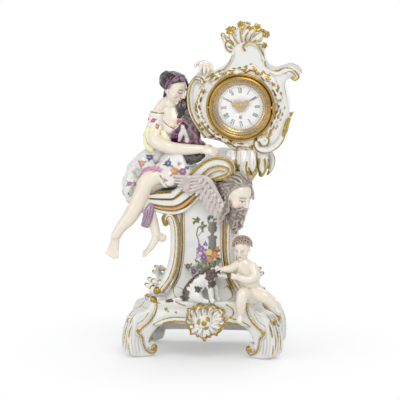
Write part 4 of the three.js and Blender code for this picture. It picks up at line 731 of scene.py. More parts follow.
def vignette(paint):
    """Painted front panel: a garden with a stone urn, a tree, shrubs and a spray of flowers on the
    white, in greens, greys, purples and orange."""
    x, y, z = paint.p.T
    on = ease(-paint.n[:, 1], 0.3, 0.6) * ease(-np.abs(x), -29, -27)
    rng = np.random.default_rng(11)
    greens = [(0.25, 0.33, 0.21), (0.40, 0.46, 0.29), (0.15, 0.21, 0.16), (0.47, 0.46, 0.32)]

    def dab(cx, cz, w, t, colour, amount=0.95):
        u, v = (x - cx) * math.cos(t) + (z - cz) * math.sin(t), -(x - cx) * math.sin(t) + (z
            - cz) * math.cos(t)
        paint.tint(on * ease(1 - (u / w) ** 2 - (v / w / 0.6) ** 2, -0.1, 0.5) * amount, colour)

    ground_top = 131 + 5 * np.sin(x * 0.11 + 0.6) + 1.5 * ripple(paint.p, 12, 5)
    field = ease(ground_top - z, -1, 4) * ease(z, 104, 124) * ease(-np.abs(x), -27, -19)
    paint.tint(on * field * 0.8, (0.58, 0.60, 0.46))
    paint.tint(on * field * ease(ripple(paint.p, 7, 6), 0.0, 0.6) * 0.8, (0.34, 0.40, 0.28))
    paint.tint(on * field * ease(ripple(paint.p, 5, 8), 0.35, 0.8) * 0.7, (0.50, 0.40, 0.34))
    sky = ease(z, 138, 150) * ease(-z, -186, -166) * ease(ripple(paint.p * [1, 1, 2.2], 26, 9), 0.1, 0.7)
    paint.tint(on * sky * 0.25, (0.70, 0.76, 0.86))
    for line, half in (([(-6, 146), (-5, 158), (-8, 168), (-6, 178)], 1.1),
            ([(-6, 166), (-1, 172), (3, 180)], 0.7)):
        paint.tint(on * ease(-reach(np.stack([x, z], -1), spline(line, 20)), -half, -half * 0.4),
            (0.42, 0.34, 0.27))
    for k in range(46):
        a, r = rng.uniform(0, 6.28), rng.uniform(0, 1) ** 0.6
        cx, cz = ((-10 + 6 * r * math.cos(a), 187 + 5 * r * math.sin(a)) if k < 17
            else (0 + 5 * r * math.cos(a), 178 + 6 * r * math.sin(a)) if k < 30
            else (rng.uniform(-22, 26), rng.uniform(112, 136)))
        dab(cx, cz, rng.uniform(1.4, 3.2), rng.uniform(0, 3.1), greens[k % 4])
    profile = [(142, 7.5), (146, 7.2), (147, 5.6), (162, 5.2), (163, 6.6), (166, 6.8), (167, 2.2),
        (170, 2.2), (173, 5.6), (178, 6.6), (182, 5.0), (183.5, 6.2), (186, 6.0)]
    half = np.interp(z, [a for a, _ in profile], [b for _, b in profile], left=0, right=0)
    stone = ease(half - np.abs(x - 13.5), -0.3, 0.5) * (half > 0)
    paint.tint(on * stone * 0.9, (0.46, 0.43, 0.38))
    paint.tint(on * stone * ease(x - 13.5, 0, 5) * 0.6, (0.22, 0.21, 0.18))
    paint.tint(on * stone * ease(-x + 13.5, 1, 4) * 0.5, (0.64, 0.60, 0.52))
    paint.tint(on * stone * ease(ripple(paint.p, 2.4, 14), 0.1, 0.5) * 0.5, (0.24, 0.28, 0.20))
    for k in range(26):
        dab(13.5 + rng.uniform(-6, 6), 190 + rng.uniform(-3, 4), rng.uniform(1.2, 2.4),
            rng.uniform(0, 3.1), greens[k % 3])
    for k in range(34):
        dab(rng.uniform(-10, 24), rng.uniform(128, 150), rng.uniform(1.6, 3.4), rng.uniform(0, 3.1),
            greens[k % 4])
    for k in range(60):
        near = k % 2
        dab(rng.normal() * 4 + (-1 if near else 14), rng.normal() * 4 + (144 if near else 141),
            rng.uniform(0.8, 1.8), rng.uniform(0, 3.1), ((0.62, 0.44, 0.68), (0.40, 0.22, 0.46),
            (0.78, 0.66, 0.80))[k % 3] if near else ((0.86, 0.50, 0.30), (0.90, 0.80, 0.50),
            (0.70, 0.28, 0.20))[k % 3])
    for cx, cz, s, petals, colours in ((-2, 148, 6.2, 5, [(0.66, 0.44, 0.68), (0.42, 0.20, 0.46)]),
            (2, 137, 5.6, 6, [(0.58, 0.36, 0.64), (0.34, 0.14, 0.42)]),
            (9, 144, 5.0, 5, [(0.93, 0.84, 0.48), (0.84, 0.62, 0.26)]),
            (17, 140, 5.4, 5, [(0.90, 0.52, 0.28), (0.76, 0.24, 0.14)]),
            (-6, 139, 4.4, 5, [(0.80, 0.70, 0.82), (0.52, 0.36, 0.60)]),
            (10, 133, 4.4, 5, [(0.90, 0.60, 0.36), (0.78, 0.32, 0.20)]),
            (20, 149, 3.6, 5, [(0.86, 0.50, 0.34), (0.70, 0.22, 0.18)]),
            (4, 155, 3.4, 5, [(0.52, 0.40, 0.70), (0.28, 0.18, 0.46)]),
            (-20, 124, 4.6, 5, [(0.48, 0.30, 0.46), (0.26, 0.12, 0.28)]),
            (-12, 117, 4.8, 5, [(0.50, 0.34, 0.52), (0.28, 0.14, 0.32)]),
            (-4, 124, 3.8, 5, [(0.40, 0.40, 0.52), (0.22, 0.20, 0.34)])):
        paint.bloom([cx, -43, cz], s * 0.82, colours, cx, petals)


def make_pedestal(settings):
    """Waisted shaft: rounded oblongs whose sizes follow a smooth flare, close set on the front face."""
    u = np.linspace(0, 2 * np.pi, 460, endpoint=False)
    turn = u - 0.42 * np.sin(u + np.pi / 2)
    turn = np.sort(np.mod(turn, 2 * np.pi))
    rise = np.linspace(78.6, 214, 170)
    levels = [[78, 54, 50], [84, 52, 48.5], [92, 46.5, 46.2], [104, 41, 43.6], [120, 37.2, 41.8],
        [140, 34.8, 40.8], [164, 33.2, 40], [190, 33, 40], [213, 33, 40]]
    w, d = level_line(levels, rise)
    rings = []
    for z, a, b in zip(rise, w, d):
        x, y = ring_of(a, b, 7, turn)
        rings.append(np.stack([x, y, z + ease(z, 150, 214) * 24 * ease(x, -12, 20)], -1))
    obj = raw("pedestal_glazed", [skin(np.array(rings))])
    paint = Painter(obj, settings.white)
    vignette(paint)
    x, y, z = paint.p.T
    for side in (-1, 1):
        for dx, half in ((0.0, 1.0), (3.0, 0.5)):
            line = [(side * (28.5 - dx), 206), (side * (28 - dx), 180), (side * (28 - dx), 150),
                (side * (30 - dx), 128), (side * (35 - dx), 108), (side * (43 - dx), 93)]
            paint.gild(paint.flat(line) - half)
    for line, half in (([(-40, 91), (-37.6, 84), (-31, 79)], 0.6),
            ([(-34, 95.5), (-27.3, 93), (-22, 88.6)], 0.5), ([(33.5, 97.3), (40.4, 90.5), (41.2, 82.7),
            (34, 78)], 0.7), ([(30, 95), (35, 98), (38, 94)], 0.5)):
        paint.gild(paint.flat(line) - half)
    for side in (-1, 1):
        line = spline([(side * 41, -29, 92), (side * 35.4, -29, 128), (side * 33, -29, 168),
            (side * 33, -24, 200), (side * 33, 0, 204), (side * 33, 24, 200), (side * 33, 29, 168),
            (side * 35.4, 29, 128), (side * 41, 29, 92)], 60)
        paint.gild(np.where(np.abs(paint.n[:, 0]) > 0.3, reach(paint.p, line) - 0.8, NO_GOLD))
        for dy, dz, s, col in ((0, 150, 6.5, 0), (9, 138, 4.4, 1), (-9, 141, 4.0, 2), (4, 163, 3.4, 1),
                (-5, 128, 3.2, 0)):
            colours = [[(0.85, 0.50, 0.55), (0.62, 0.20, 0.32)], [(0.88, 0.60, 0.28), (0.74, 0.32, 0.16)],
                [(0.48, 0.36, 0.66), (0.30, 0.16, 0.44)]][col]
            paint.bloom([side * 35, dy, dz], s, colours, dz, 5, [side, 0, 0])
    line = spline([(-24, 41, 96), (-24, 41, 150), (-24, 40, 190), (0, 40, 202), (24, 40, 190),
        (24, 41, 150), (24, 41, 96)], 60)
    paint.gild(np.where(paint.n[:, 1] > 0.3, reach(paint.p, line) - 0.8, NO_GOLD))
    for dx, dz, s, col in ((0, 152, 7.5, 0), (11, 142, 5, 1), (-10, 144, 5, 2), (5, 166, 4, 2),
            (-6, 130, 4, 1)):
        colours = [[(0.86, 0.52, 0.56), (0.64, 0.22, 0.34)], [(0.90, 0.74, 0.34), (0.78, 0.50, 0.18)],
            [(0.52, 0.34, 0.62), (0.34, 0.16, 0.44)]][col]
        paint.bloom([dx, 41, dz], s, colours, dz, 5, [0, 1, 0])
    return paint.done("white_porcelain", "pedestal")


def make_pilaster(settings, name, right, back):
    """C-scroll on a corner of the shaft: an oval carried along it, hollowed on its outer face, with a
    curl at each end and a cluster of rounded leaves on the lower one."""
    path = [(51, 40, 183, 4.6, 7.6), (52, 40, 190, 5.4, 8.5), (45.5, 39.4, 194, 6.4, 8.8),
        (39, 38.6, 184, 7.2, 8.8), (37.2, 38.4, 160, 7.2, 8.6), (39, 40, 134, 7.2, 8.8),
        (46, 43, 110.5, 7.2, 9), (57, 47, 93.5, 7.0, 9.4), (68.5, 49, 91.5, 6.0, 9),
        (70.5, 49, 99.5, 3.8, 8)]
    sx, sy = (1 if right else -1), (1 if back else -1)
    at = lambda x, y, z, w, t: (sx * x, sy * y, z, w, t)
    hollow = lambda s, a: 1 - 0.16 * np.exp(-((np.cos(a) - sx) / 0.5) ** 2) * (np.cos(a) * sx > 0)
    forms = [limb([at(*s) for s in path], 40, 0.8, ridge=hollow)]
    for dy, w in ((-6.6, 1.7), (6.6, 1.7)):
        forms.append(limb([at(x, y + dy * 0.98, z, w, w) for x, y,
            z in ((51, 39, 184), (50, 40, 196), (42, 39, 197), (34.4, 38, 184), (32, 38, 160),
            (33.5, 40, 133), (41, 43, 107), (54, 47, 89.5))], 14))
    leaves = ((58, 46, 101, 5.2), (65, 51, 104, 5.4), (71.5, 46, 105.5, 4.8), (75, 50, 98, 4.8),
        (67, 53, 95, 4.8))
    for x, y, z, s in leaves:
        forms.append(oval(at(x, y, z, 0, 0)[:3], (s, s, s * 0.66),
            ((0.8 * sx, 0.0, 0.6), (0, 1, 0), (-0.6 * sx, 0, 0.8)), 14))
    forms.append(limb([at(61, 37.5, 92, 4.4, 4.4), at(61, 55, 92, 4.4, 4.4)], 20, facing=(0, 0, 1)))
    obj = melt(name + "_glazed", forms, 0.7, 2)
    paint = Painter(obj, settings.white)
    # Painted shade in the hollows of the scroll and its leaves.
    paint.pool(9, 0.15, 0.7, 0.55, (0.52, 0.46, 0.40))
    x, y, z = paint.p[:, 0] * sx, paint.p[:, 1] * sy, paint.p[:, 2]
    flat_to = np.stack([x, z], -1)
    ends = (y > 41.5) | (y < 34)
    inner = spline([(49, 181), (54, 187), (50, 199), (41, 199), (33.4, 186), (31, 160), (32.6, 133),
        (40, 106), (53, 88)], 80)
    paint.gild(np.where(ends, np.abs(reach(flat_to, inner) - 1.6) - 1.5, NO_GOLD))
    second = spline([(47, 184), (49, 191), (44, 194), (38.6, 184), (37, 160), (38.6, 134), (45.6, 110),
        (57, 94)], 80)
    paint.gild(np.where(ends, reach(flat_to, second) - 0.6, NO_GOLD))
    paint.gild(np.where(ends, np.hypot(x - 61, z - 92) - 5.2, NO_GOLD))
    paint.gild(np.hypot(x - 50.5, z - 185) - 3.2)
    for a, b, c, s in leaves:
        r = np.sqrt((x - a) ** 2 + (y - b) ** 2 + (z - c) ** 2)
        paint.gild(np.where((r < s * 1.4) & (x > a - 2) & (z > c - 1),
            np.abs(np.hypot(x - a, z - c) - s * 0.78) - 0.8, NO_GOLD))
    return paint.done("white_porcelain", name)


def cornice_edges():
    """Lower and upper edge of the ribbed band at even places along it."""
    lower = spline([(-74, 205.8), (-62, 199.3), (-49, 196), (-36, 195.2), (-22, 200.9), (-9, 213.2),
        (4, 226.3), (18, 237)], 240)
    upper = spline([(-75, 224), (-64, 226.4), (-52, 227.6), (-40, 229.4), (-30, 238.4), (-20, 248),
        (-8, 255.2), (10, 257.6)], 240)
    return lower, upper


def make_cornice(settings):
    """Ribbed band: between its two edges the front and the back follow four rounded ribs."""
    lower, upper = cornice_edges()
    n = np.linspace(-1, 1, 120)
    groove = sum(np.exp(-((n - a) / w) ** 2) for a, w in ((-0.66, 0.05), (-0.34, 0.07), (0.34, 0.07)))
    rib = 3.0 * groove + 3.0 * np.clip((np.abs(n) - 0.86) / 0.14, 0, 1) ** 2
    front = np.stack([n, -48.2 + rib], -1)
    back = np.stack([n[::-1], 46.2 - rib[::-1]], -1)
    top = np.stack([np.full(30, 1.0), np.linspace(front[-1, 1], back[0, 1], 32)[1:-1]], -1)
    section = np.vstack([front, top, back, top[::-1] * [-1, 1]])
    k = np.arange(len(lower))
    start = np.where(k > 7, 1.0, np.sqrt(np.clip(1 - (1 - k / 7) ** 2, 0.05, 1)))[:, None]
    share = 0.5 + 0.5 * section[None, :, 0] * start
    line = lower[:, None] * (1 - share[..., None]) + upper[:, None] * share[..., None]
    v = np.stack([line[..., 0], section[None, :, 1] * (0.9 + 0.1 * start), line[..., 1]], -1)
    obj = raw("cornice_glazed", [skin(v)])
    paint = Painter(obj, settings.white)
    p = paint.p[:, [0, 2]]
    middle, across = (lower + upper) / 2, upper - lower
    near = np.concatenate([np.argmin(((p[i:i + 4000, None] - middle[None]) ** 2).sum(-1), 1)
        for i in range(0, len(p), 4000)])
    n = 2 * ((p - middle[near]) * across[near]).sum(1) / (across[near] ** 2).sum(1)
    half = np.linalg.norm(across, axis=1)[near] / 2
    where = (np.abs(paint.n[:, 1]) > 0.15) | (p[:, 0] < -73)
    for place_at, width in ((0.95, 0.11), (0.34, 0.075), (-0.24, 0.07), (-0.57, 0.06), (-0.97, 0.09)):
        paint.gild(np.where(where, (np.abs(n - place_at) - width) * half, NO_GOLD))
    paint.tint(np.where(where, ease(-np.abs(n + 0.42), -0.17, -0.05), 0) * 0.9, (0.80, 0.60, 0.36))
    # Grey line just below the upper groove: painted shade.
    paint.tint(np.where(where, ease(-np.abs(n - 0.24), -0.08, 0), 0) * 0.4, (0.62, 0.60, 0.56))
    return paint.done("white_porcelain", "cornice")


def make_console(settings):
    """Roll at the right end of the band: a slab whose ribs run over its top, turn at the right and
    come back below."""
    outline = [(-15, 257), (-5, 266), (7, 273.5), (20, 278), (35, 275.5), (43, 268), (45, 257),
        (38.5, 249), (28, 244), (18, 243), (10, 234), (-4, 240), (-14, 248)]
    front = -52
    outer = [(-15, 254), (-4.4, 263.5), (6.4, 271.5), (19, 275.6), (32, 274), (40.6, 267), (42.2, 258.4),
        (37.4, 251.6), (28, 247), (17, 245)]
    inner = [(-3, 249.5), (5.4, 258), (15.2, 263.4), (26.9, 265), (35, 262.5), (36.6, 258), (32, 253.6),
        (23, 250), (14, 247)]
    heart = [(4, 246), (10, 252.5), (18, 257), (27, 259), (31, 257.6)]
    forms = [slab(outline, front, 40, 3.0, 200)]
    for line, w in ((outer, 2.0), (inner, 1.8), (heart, 1.4)):
        forms += [limb([(x, y, z, w, 1.8) for x, z in line], 14) for y in (front - 0.2, 40)]
    obj = melt("console_scroll_glazed", forms, 0.75, 2)
    paint = Painter(obj, settings.white)
    x, y, z = paint.p.T
    # Painted shade in the hollows of the roll.
    paint.pool(9, 0.15, 0.7, 0.6, (0.52, 0.48, 0.42))
    face = np.abs(paint.n[:, 1]) > 0.15
    for line, half in ((outer, 2.0), (inner, 1.3), (heart, 0.9)):
        paint.gild(np.where(face, reach(paint.p[:, [0, 2]], spline(line, 80)) - half, NO_GOLD))
    back_rib = reach(paint.p[:, [0, 2]], spline([(1, 252), (9, 259), (20, 262.4), (30, 261.6),
        (33.6, 258.4)], 40))
    paint.tint(np.where(face, ease(-back_rib, -2.0, -0.6), 0) * 0.4, (0.80, 0.62, 0.40))
    for level, half in ((-44, 1.2), (-30, 0.7), (18, 0.7), (32, 1.2)):
        paint.gild(np.where((~face) & (z > 240), np.abs(y - level) - half, NO_GOLD))
    return paint.done("white_porcelain", "console_scroll")


# Clock case and its porcelain


CASE_LINE = [(-12, 78), (-13, 67), (-18, 58), (-26, 52.5), (-38, 45), (-50, 43.5), (-62, 42), (-70.5, 29),
    (-73, 10), (-69, -11), (-60, -27), (-50, -42), (-32, -47), (-22, -51), (-14, -58), (20, -62),
    (34, -61), (48, -54), (56, -44), (62, -31), (65, -17), (66, 2), (62, 18), (60, 31), (65, 38.5),
    (71, 37), (76, 36.5), (80, 42), (75, 51), (64, 55.5), (54, 53), (45, 51), (36, 55), (32, 63),
    (30, 76), (20, 86), (2, 88)]


def from_dial(points):
    """Points given from the middle of the dial, as points from the pedestal."""
    return [(DIAL[0] + p[0], DIAL[2] + p[1], *p[2:]) for p in points]


def on_front(points, depth=-31.0, thick=2.0):
    """Stations of a limb on the case's face, from (x, z, half width) measured from the dial."""
    return [(DIAL[0] + x, depth, DIAL[2] + z, w, thick if w > 1.2 else w) for x, z, w in points]


def station(spot, y, half, thick):
    """Station of a limb at a spot in the X-Z plane that is measured from the dial's middle."""
    return (DIAL[0] + spot[0], y, DIAL[2] + spot[1], half, thick)


def make_case(settings):
    """Case: rounded slab on the outline, with scrolls, a shell frill and a volute laid on its face."""
    forms = [slab(from_dial(CASE_LINE), -30.5, 24, 7, 340)]
    left = [(-52.5, 30, 2.6), (-55, 37, 3.2), (-61, 37.5, 3.4), (-67.5, 29, 3.6), (-70, 12, 3.8),
        (-66.5, -9, 3.8), (-57, -27, 3.6), (-48, -41, 2.6)]
    right = [(32.5, -48, 2.4), (26.5, -44, 2.8), (21.5, -49, 3.2), (24, -56.5, 3.8), (36, -58.5, 4.2),
        (48.5, -52.5, 4.2), (56.5, -42, 4.0), (61, -28, 3.4), (65.5, -16, 2.6), (70, -12.5, 1.2)]
    forms += [limb(on_front(left, -31.5, 4.4), 20), limb(on_front(right, -32, 4.8), 20)]
    forms += [limb(on_front([(31, -41.5, 1.6), (36.5, -43.5, 2.0), (36, -49, 2.2), (31, -50.5, 2.2),
        (28, -46.5, 1.8)], -33, 3.0), 14)]
    ear = [(58, 50, 3.0), (66, 52.5, 3.4), (74, 49.5, 3.4), (78, 43, 3.0), (74.5, 38.5, 2.4),
        (70, 40, 1.8)]
    forms += [limb(on_front(ear, -29, 4.5), 18), limb(on_front([(40, 49, 1.6), (50, 46, 2.4),
        (60, 50, 2.4), (68, 45, 1.6)], -31, 2.4), 14)]
    neck = [(34, 58, 1.6), (31, 68, 2.0), (29, 77, 2.2), (20, 86, 2.4), (9, 88, 2.4), (3, 83, 2.2),
        (6, 78.5, 1.6)]
    forms += [limb(on_front(neck, -31, 2.6), 16)]
    forms += [limb(on_front([(-46, 44, 1.6), (-30, 49, 2.0), (-18, 58, 2.0), (-12, 68, 1.8),
        (-10, 78, 1.2)], -31, 2.4), 14)]
    rng = np.random.default_rng(4)
    frill = spline([(-53, 24), (-57, 14), (-60, 2), (-58, -10), (-53, -20), (-46, -31), (-35, -40),
        (-22, -46), (-8, -53), (6, -54), (18, -56)], 34)
    frill_top = spline([(-44, 37), (-32, 43), (-19, 48), (-6, 49), (5, 51), (15, 55), (24, 50), (35, 41),
        (45, 38), (48, 27), (52, 16), (56, 4), (53, -8), (49, -19), (43, -30), (38, -37)], 46)
    for line in (frill, frill_top):
        centre = -unit(line)
        for k in range(len(line) - 1):
            q, w = line[k], centre[k]
            reach_in = 3.4 + 2.4 * ((k % 3) == 0) + rng.uniform(-0.6, 0.6)
            lean = unit(line[k + 1] - q) * rng.uniform(-1.5, 1.5)
            forms.append(limb([station(q, -31.2, 1.9, 1.7),
                               station(q + w * reach_in * 0.55 + lean * 0.5, -32.4, 1.9, 1.6),
                               station(q + w * reach_in + lean, -31.0, 0.9, 0.9)], 9, 1.6))
        forms.append(limb([station(q, -31.2, 1.5, 1.6) for q in line[::2]], 10, 1.5))
    for back in (left, right, ear):
        forms.append(limb(on_front(back, 24.5, 3.6), 14, 1.6))
    obj = melt("clock_case_glazed", forms, 0.95, 2)
    bore = turned([(42, -44), (42, 40), (0.01, 40), (0.01, -44)], DIAL, 160)
    cut(obj, raw("bore", [bore]))
    paint = Painter(obj, settings.white)
    x, y, z = paint.p.T
    fx, fz = x - DIAL[0], z - DIAL[2]
    r = np.hypot(fx, fz)
    paint.tint(ease(ripple(paint.p, 40, 2), 0, 1) * 0.12, (0.86, 0.88, 0.95))
    flat_line = lambda pts: paint.flat(from_dial([q[:2] for q in pts]), 90)
    # Painted shade in the hollows of the scrolls and frill.
    paint.pool(8, 0.15, 0.8, 0.5, (0.55, 0.50, 0.42))
    paint.gild(flat_line(left[1:]) - 1.3)
    d = flat_line([(-46, 36), (-52, 31)] + [q[:2] for q in left[:2]])
    paint.gild(d - 0.6)
    for half, pts in ((0.8, [(-49, 33), (-52, 38.5), (-60, 41), (-69, 33), (-73, 12), (-70, -10),
            (-60, -28), (-51, -42)]), (1.1, [(24.5, -47), (21.5, -41), (27, -38), (35, -39), (39, -45),
            (36.5, -51), (30, -52), (26, -47)]), (1.2, [(20, -44), (19, -52), (25, -60), (38, -62),
            (50, -55.5), (59, -44), (63.5, -29), (67, -17)]), (2.5,
            [(66, -15), (62.5, -22), (60.5, -30), (59, -37)]), (1.0,
            [(33, 63), (34.5, 57), (42, 51.5), (50, 50), (60, 54.5), (68, 54), (76, 48), (79, 42),
            (74, 37.5), (70, 40.5)])):
        paint.gild(flat_line(pts) - half)
    paint.gild(np.where(paint.n[:, 1] < 0.2, np.hypot(fx - 71.5, fz - 41) - 2.6, NO_GOLD))
    for half, pts in (
            (0.5, [(60, 47), (67, 50), (74, 46), (76, 41)]),
            (0.5, [(64, 37), (60, 31), (62, 17)]),
            (1.4, [(6, 77.5), (3.5, 83), (9, 88.5), (19.5, 87.8), (26, 81.5), (31, 73), (34.5, 66)]),
            (0.65, [(-44, 45), (-32, 48), (-24, 52), (-16, 60), (-11, 71)])):
        paint.gild(flat_line(pts) - half)
    rim_l, rim_t = flat_line(frill), flat_line(frill_top)
    lumps = 1.2 * ripple(paint.p, 7.5, 21)
    paint.gild(rim_l - 1.2 + lumps * 1.2)
    paint.gild(rim_t - 0.8 + lumps * 1.5)
    inner_l = np.minimum(rim_l, rim_t)
    paint.gild(np.where((inner_l < 6) & (r < 62), np.abs(inner_l - 4.0) - 0.4 + 1.6
        * ripple(paint.p, 8, 22), NO_GOLD))
    rng = np.random.default_rng(8)
    for _ in range(16):
        a = rng.uniform(0, 6.28)
        rr = rng.uniform(49.5, 52)
        paint.tint(ease(-np.hypot(fx - rr * math.cos(a), fz - rr * math.sin(a)), -0.9, -0.5)
            * (paint.n[:, 1] < -0.2) * 0.9, (0.30, 0.24, 0.42))
    rim_line = spline(from_dial(CASE_LINE), 400, closed=True)
    edge = reach(paint.p[:, [0, 2]], rim_line)
    paint.gild(np.where(paint.n[:, 1] > 0.1, np.abs(edge - 6) - 0.8, NO_GOLD))
    for dx, dz, s, c in ((-4, 66, 8, 0), (12, 60, 5.5, 1), (-16, 55, 5.5, 2), (-52, 14, 5, 0),
            (-50, -6, 4, 1), (52, -8, 5, 2), (50, 12, 4, 0), (0, -50, 5, 1), (26, -46, 4, 0),
            (-26, -36, 4, 2)):
        colours = [[(0.86, 0.50, 0.55), (0.64, 0.20, 0.32)], [(0.90, 0.72, 0.34), (0.78, 0.46, 0.16)],
            [(0.52, 0.36, 0.64), (0.32, 0.16, 0.44)]][c]
        paint.bloom([DIAL[0] + dx, 24, DIAL[2] + dz], s, colours, dx, 5, [0, 1, 0])
    return paint.done("white_porcelain", "clock_case")


def flower(centre, way, size, petals=5, seed=0):
    """Moulded flower: ovals set round an eye, each leaning out from the way it faces."""
    rng = np.random.default_rng(seed)
    way = unit(way)
    side = unit(np.cross(way, [0.3, 0.1, 1]))
    up = np.cross(way, side)
    centre = np.asarray(centre, float)
    forms = [oval(centre + way * size * 0.25, (size * 0.3,) * 3, rings=9)]
    for k in range(petals):
        a = 2 * np.pi * (k + rng.uniform(-0.15, 0.15)) / petals
        out = side * math.cos(a) + up * math.sin(a)
        axes = np.stack([out, np.cross(way, out), unit(way + out * 0.4)])
        forms.append(oval(centre + out * size * 0.55, (size * 0.52, size * 0.4, size * 0.22), axes, 9))
    return forms


def leaf(stations, ribs=3, sides=26):
    """Leaf or frond: a flat limb whose rings carry ribs round them."""
    return limb(stations, sides, 1.0, ridge=lambda s, a: 1 + 0.16 * np.cos(a * 2 * ribs)
        * np.sin(np.pi * np.clip(s, 0, 1)))


def make_crest(settings):
    """Crest: fronds that rise from the neck and part to the left and right, with a flower at each tip."""
    at = lambda pts, y=0: [(DIAL[0] + x, y + dy, DIAL[2] + z, w, t) for x, dy, z, w, t in pts]
    fronds = [
        [(-2, -8, 80, 7, 7), (-12, -10, 84, 7, 6), (-21, -11, 89, 5.5, 5), (-26, -10, 96, 3.2, 3.2)],
        [(0, -10, 80, 7, 7), (-8, -13, 88, 6.5, 6), (-13, -13, 96, 5, 5), (-16, -13, 102, 3, 3)],
        [(2, -10, 82, 6.5, 7), (-2, -15, 92, 6, 5.6), (-3, -15, 103, 4.6, 4.4), (0, -14, 111, 3, 3)],
        [(5, -12, 84, 6, 6), (4, -16, 94, 5.4, 5), (8, -16, 102, 4, 4), (11, -15, 106, 2.4, 2.4)],
        [(8, -12, 86, 6, 6), (11, -15, 95, 5.4, 5), (17, -14, 103, 4.2, 4), (21, -13, 107, 3, 3)],
        [(12, -12, 85, 6, 6), (19, -14, 91, 5.2, 5), (27, -12, 96, 4, 4), (33, -11, 98, 2.6, 2.6)],
        [(16, -10, 82, 6, 6), (24, -12, 84, 5, 5), (32, -11, 83, 3, 3)],
        [(-4, 2, 82, 8, 7), (-10, 4, 92, 7, 7), (-12, 4, 102, 4, 4)],
        [(6, 2, 84, 9, 8), (6, 4, 98, 8, 8), (6, 3, 108, 4.5, 4.5)],
        [(14, 2, 82, 8, 7), (22, 3, 92, 6, 6), (26, 2, 99, 3.5, 3.5)]]
    forms = [limb(at([(-13, 0, 82, 8, 9), (2, 0, 88, 14, 12), (20, 0, 82, 9, 9)]), 24)]
    forms += [leaf(at(f)) for f in fronds]
    curl = [(-8, -10, 77, 3.2, 3.4), (-14, -13, 74.5, 3.2, 3.4), (-20, -13, 78, 3.2, 3.4),
        (-21.5, -13, 86, 3.0, 3.4), (-16, -13, 90, 2.6, 3), (-11, -13, 86, 2.2, 2.6),
        (-14, -13, 82, 1.8, 2)]
    forms += [limb(at(curl), 16), limb(at([(x * 0.9 + 1, 12, z, w, t) for x, _, z, w, t in curl]), 16)]
    tips = [(-26, -10, 97, 3.4), (-16, -14, 103, 6.4), (0, -15, 110.5, 6.4), (11, -15, 106, 4.4),
        (21, -14, 107, 6.4), (33, -11, 98, 6.0), (31, -11, 83, 5.0), (-13, 3, 104, 4.4),
        (7, 5, 110, 4.4), (27, 3, 101, 4.4)]
    for k, (tx, ty, tz, size) in enumerate(tips):
        forms += flower((DIAL[0] + tx, ty, DIAL[2] + tz), (tx * 0.012, -1 if ty < 0 else 1, 0.5), size, 6,
            k)
    obj = melt("crest_glazed", forms, 0.62, 2)
    paint = Painter(obj, settings.white)
    p = paint.p
    # Painted shade in the hollows between the fronds.
    paint.pool(12, 0.05, 0.5, 0.75, (0.50, 0.44, 0.36))
    for k, (tx, ty, tz, size) in enumerate(tips):
        d = np.linalg.norm(p - [DIAL[0] + tx, ty, DIAL[2] + tz], axis=1)
        paint.gild(d - size * 1.02 + 0.9 * ripple(p, 5, 30 + k))
    for k, f in enumerate(fronds[:7]):
        line = [(DIAL[0] + q[0] + 1.6, q[1] - q[4], DIAL[2] + q[2]) for q in f]
        paint.gild(paint.near(line, 30) - 1.0)
        # Brown line beside each frond's gold line: painted shade.
        paint.tint(ease(-paint.near([(a + 1.4, b, c) for a, b, c in line], 30), -1.6, -0.6) * 0.5,
            (0.55, 0.48, 0.40))
        line = [(DIAL[0] + q[0] - 2.4, q[1] - q[4] * 0.8, DIAL[2] + q[2]) for q in f]
        paint.gild(paint.near(line, 30) - 0.6)
    paint.gild(np.where(p[:, 1] < -8, reach(p[:, [0, 2]], spline(
        [(DIAL[0] + q[0], DIAL[2] + q[2]) for q in curl], 60)) - 1.1, NO_GOLD))
    paint.gild(np.where(p[:, 1] > 8, reach(p[:, [0, 2]], spline(
        [(DIAL[0] + q[0], DIAL[2] + q[2]) for q in curl], 60)) - 1.1, NO_GOLD))
    return paint.done("white_porcelain", "crest")


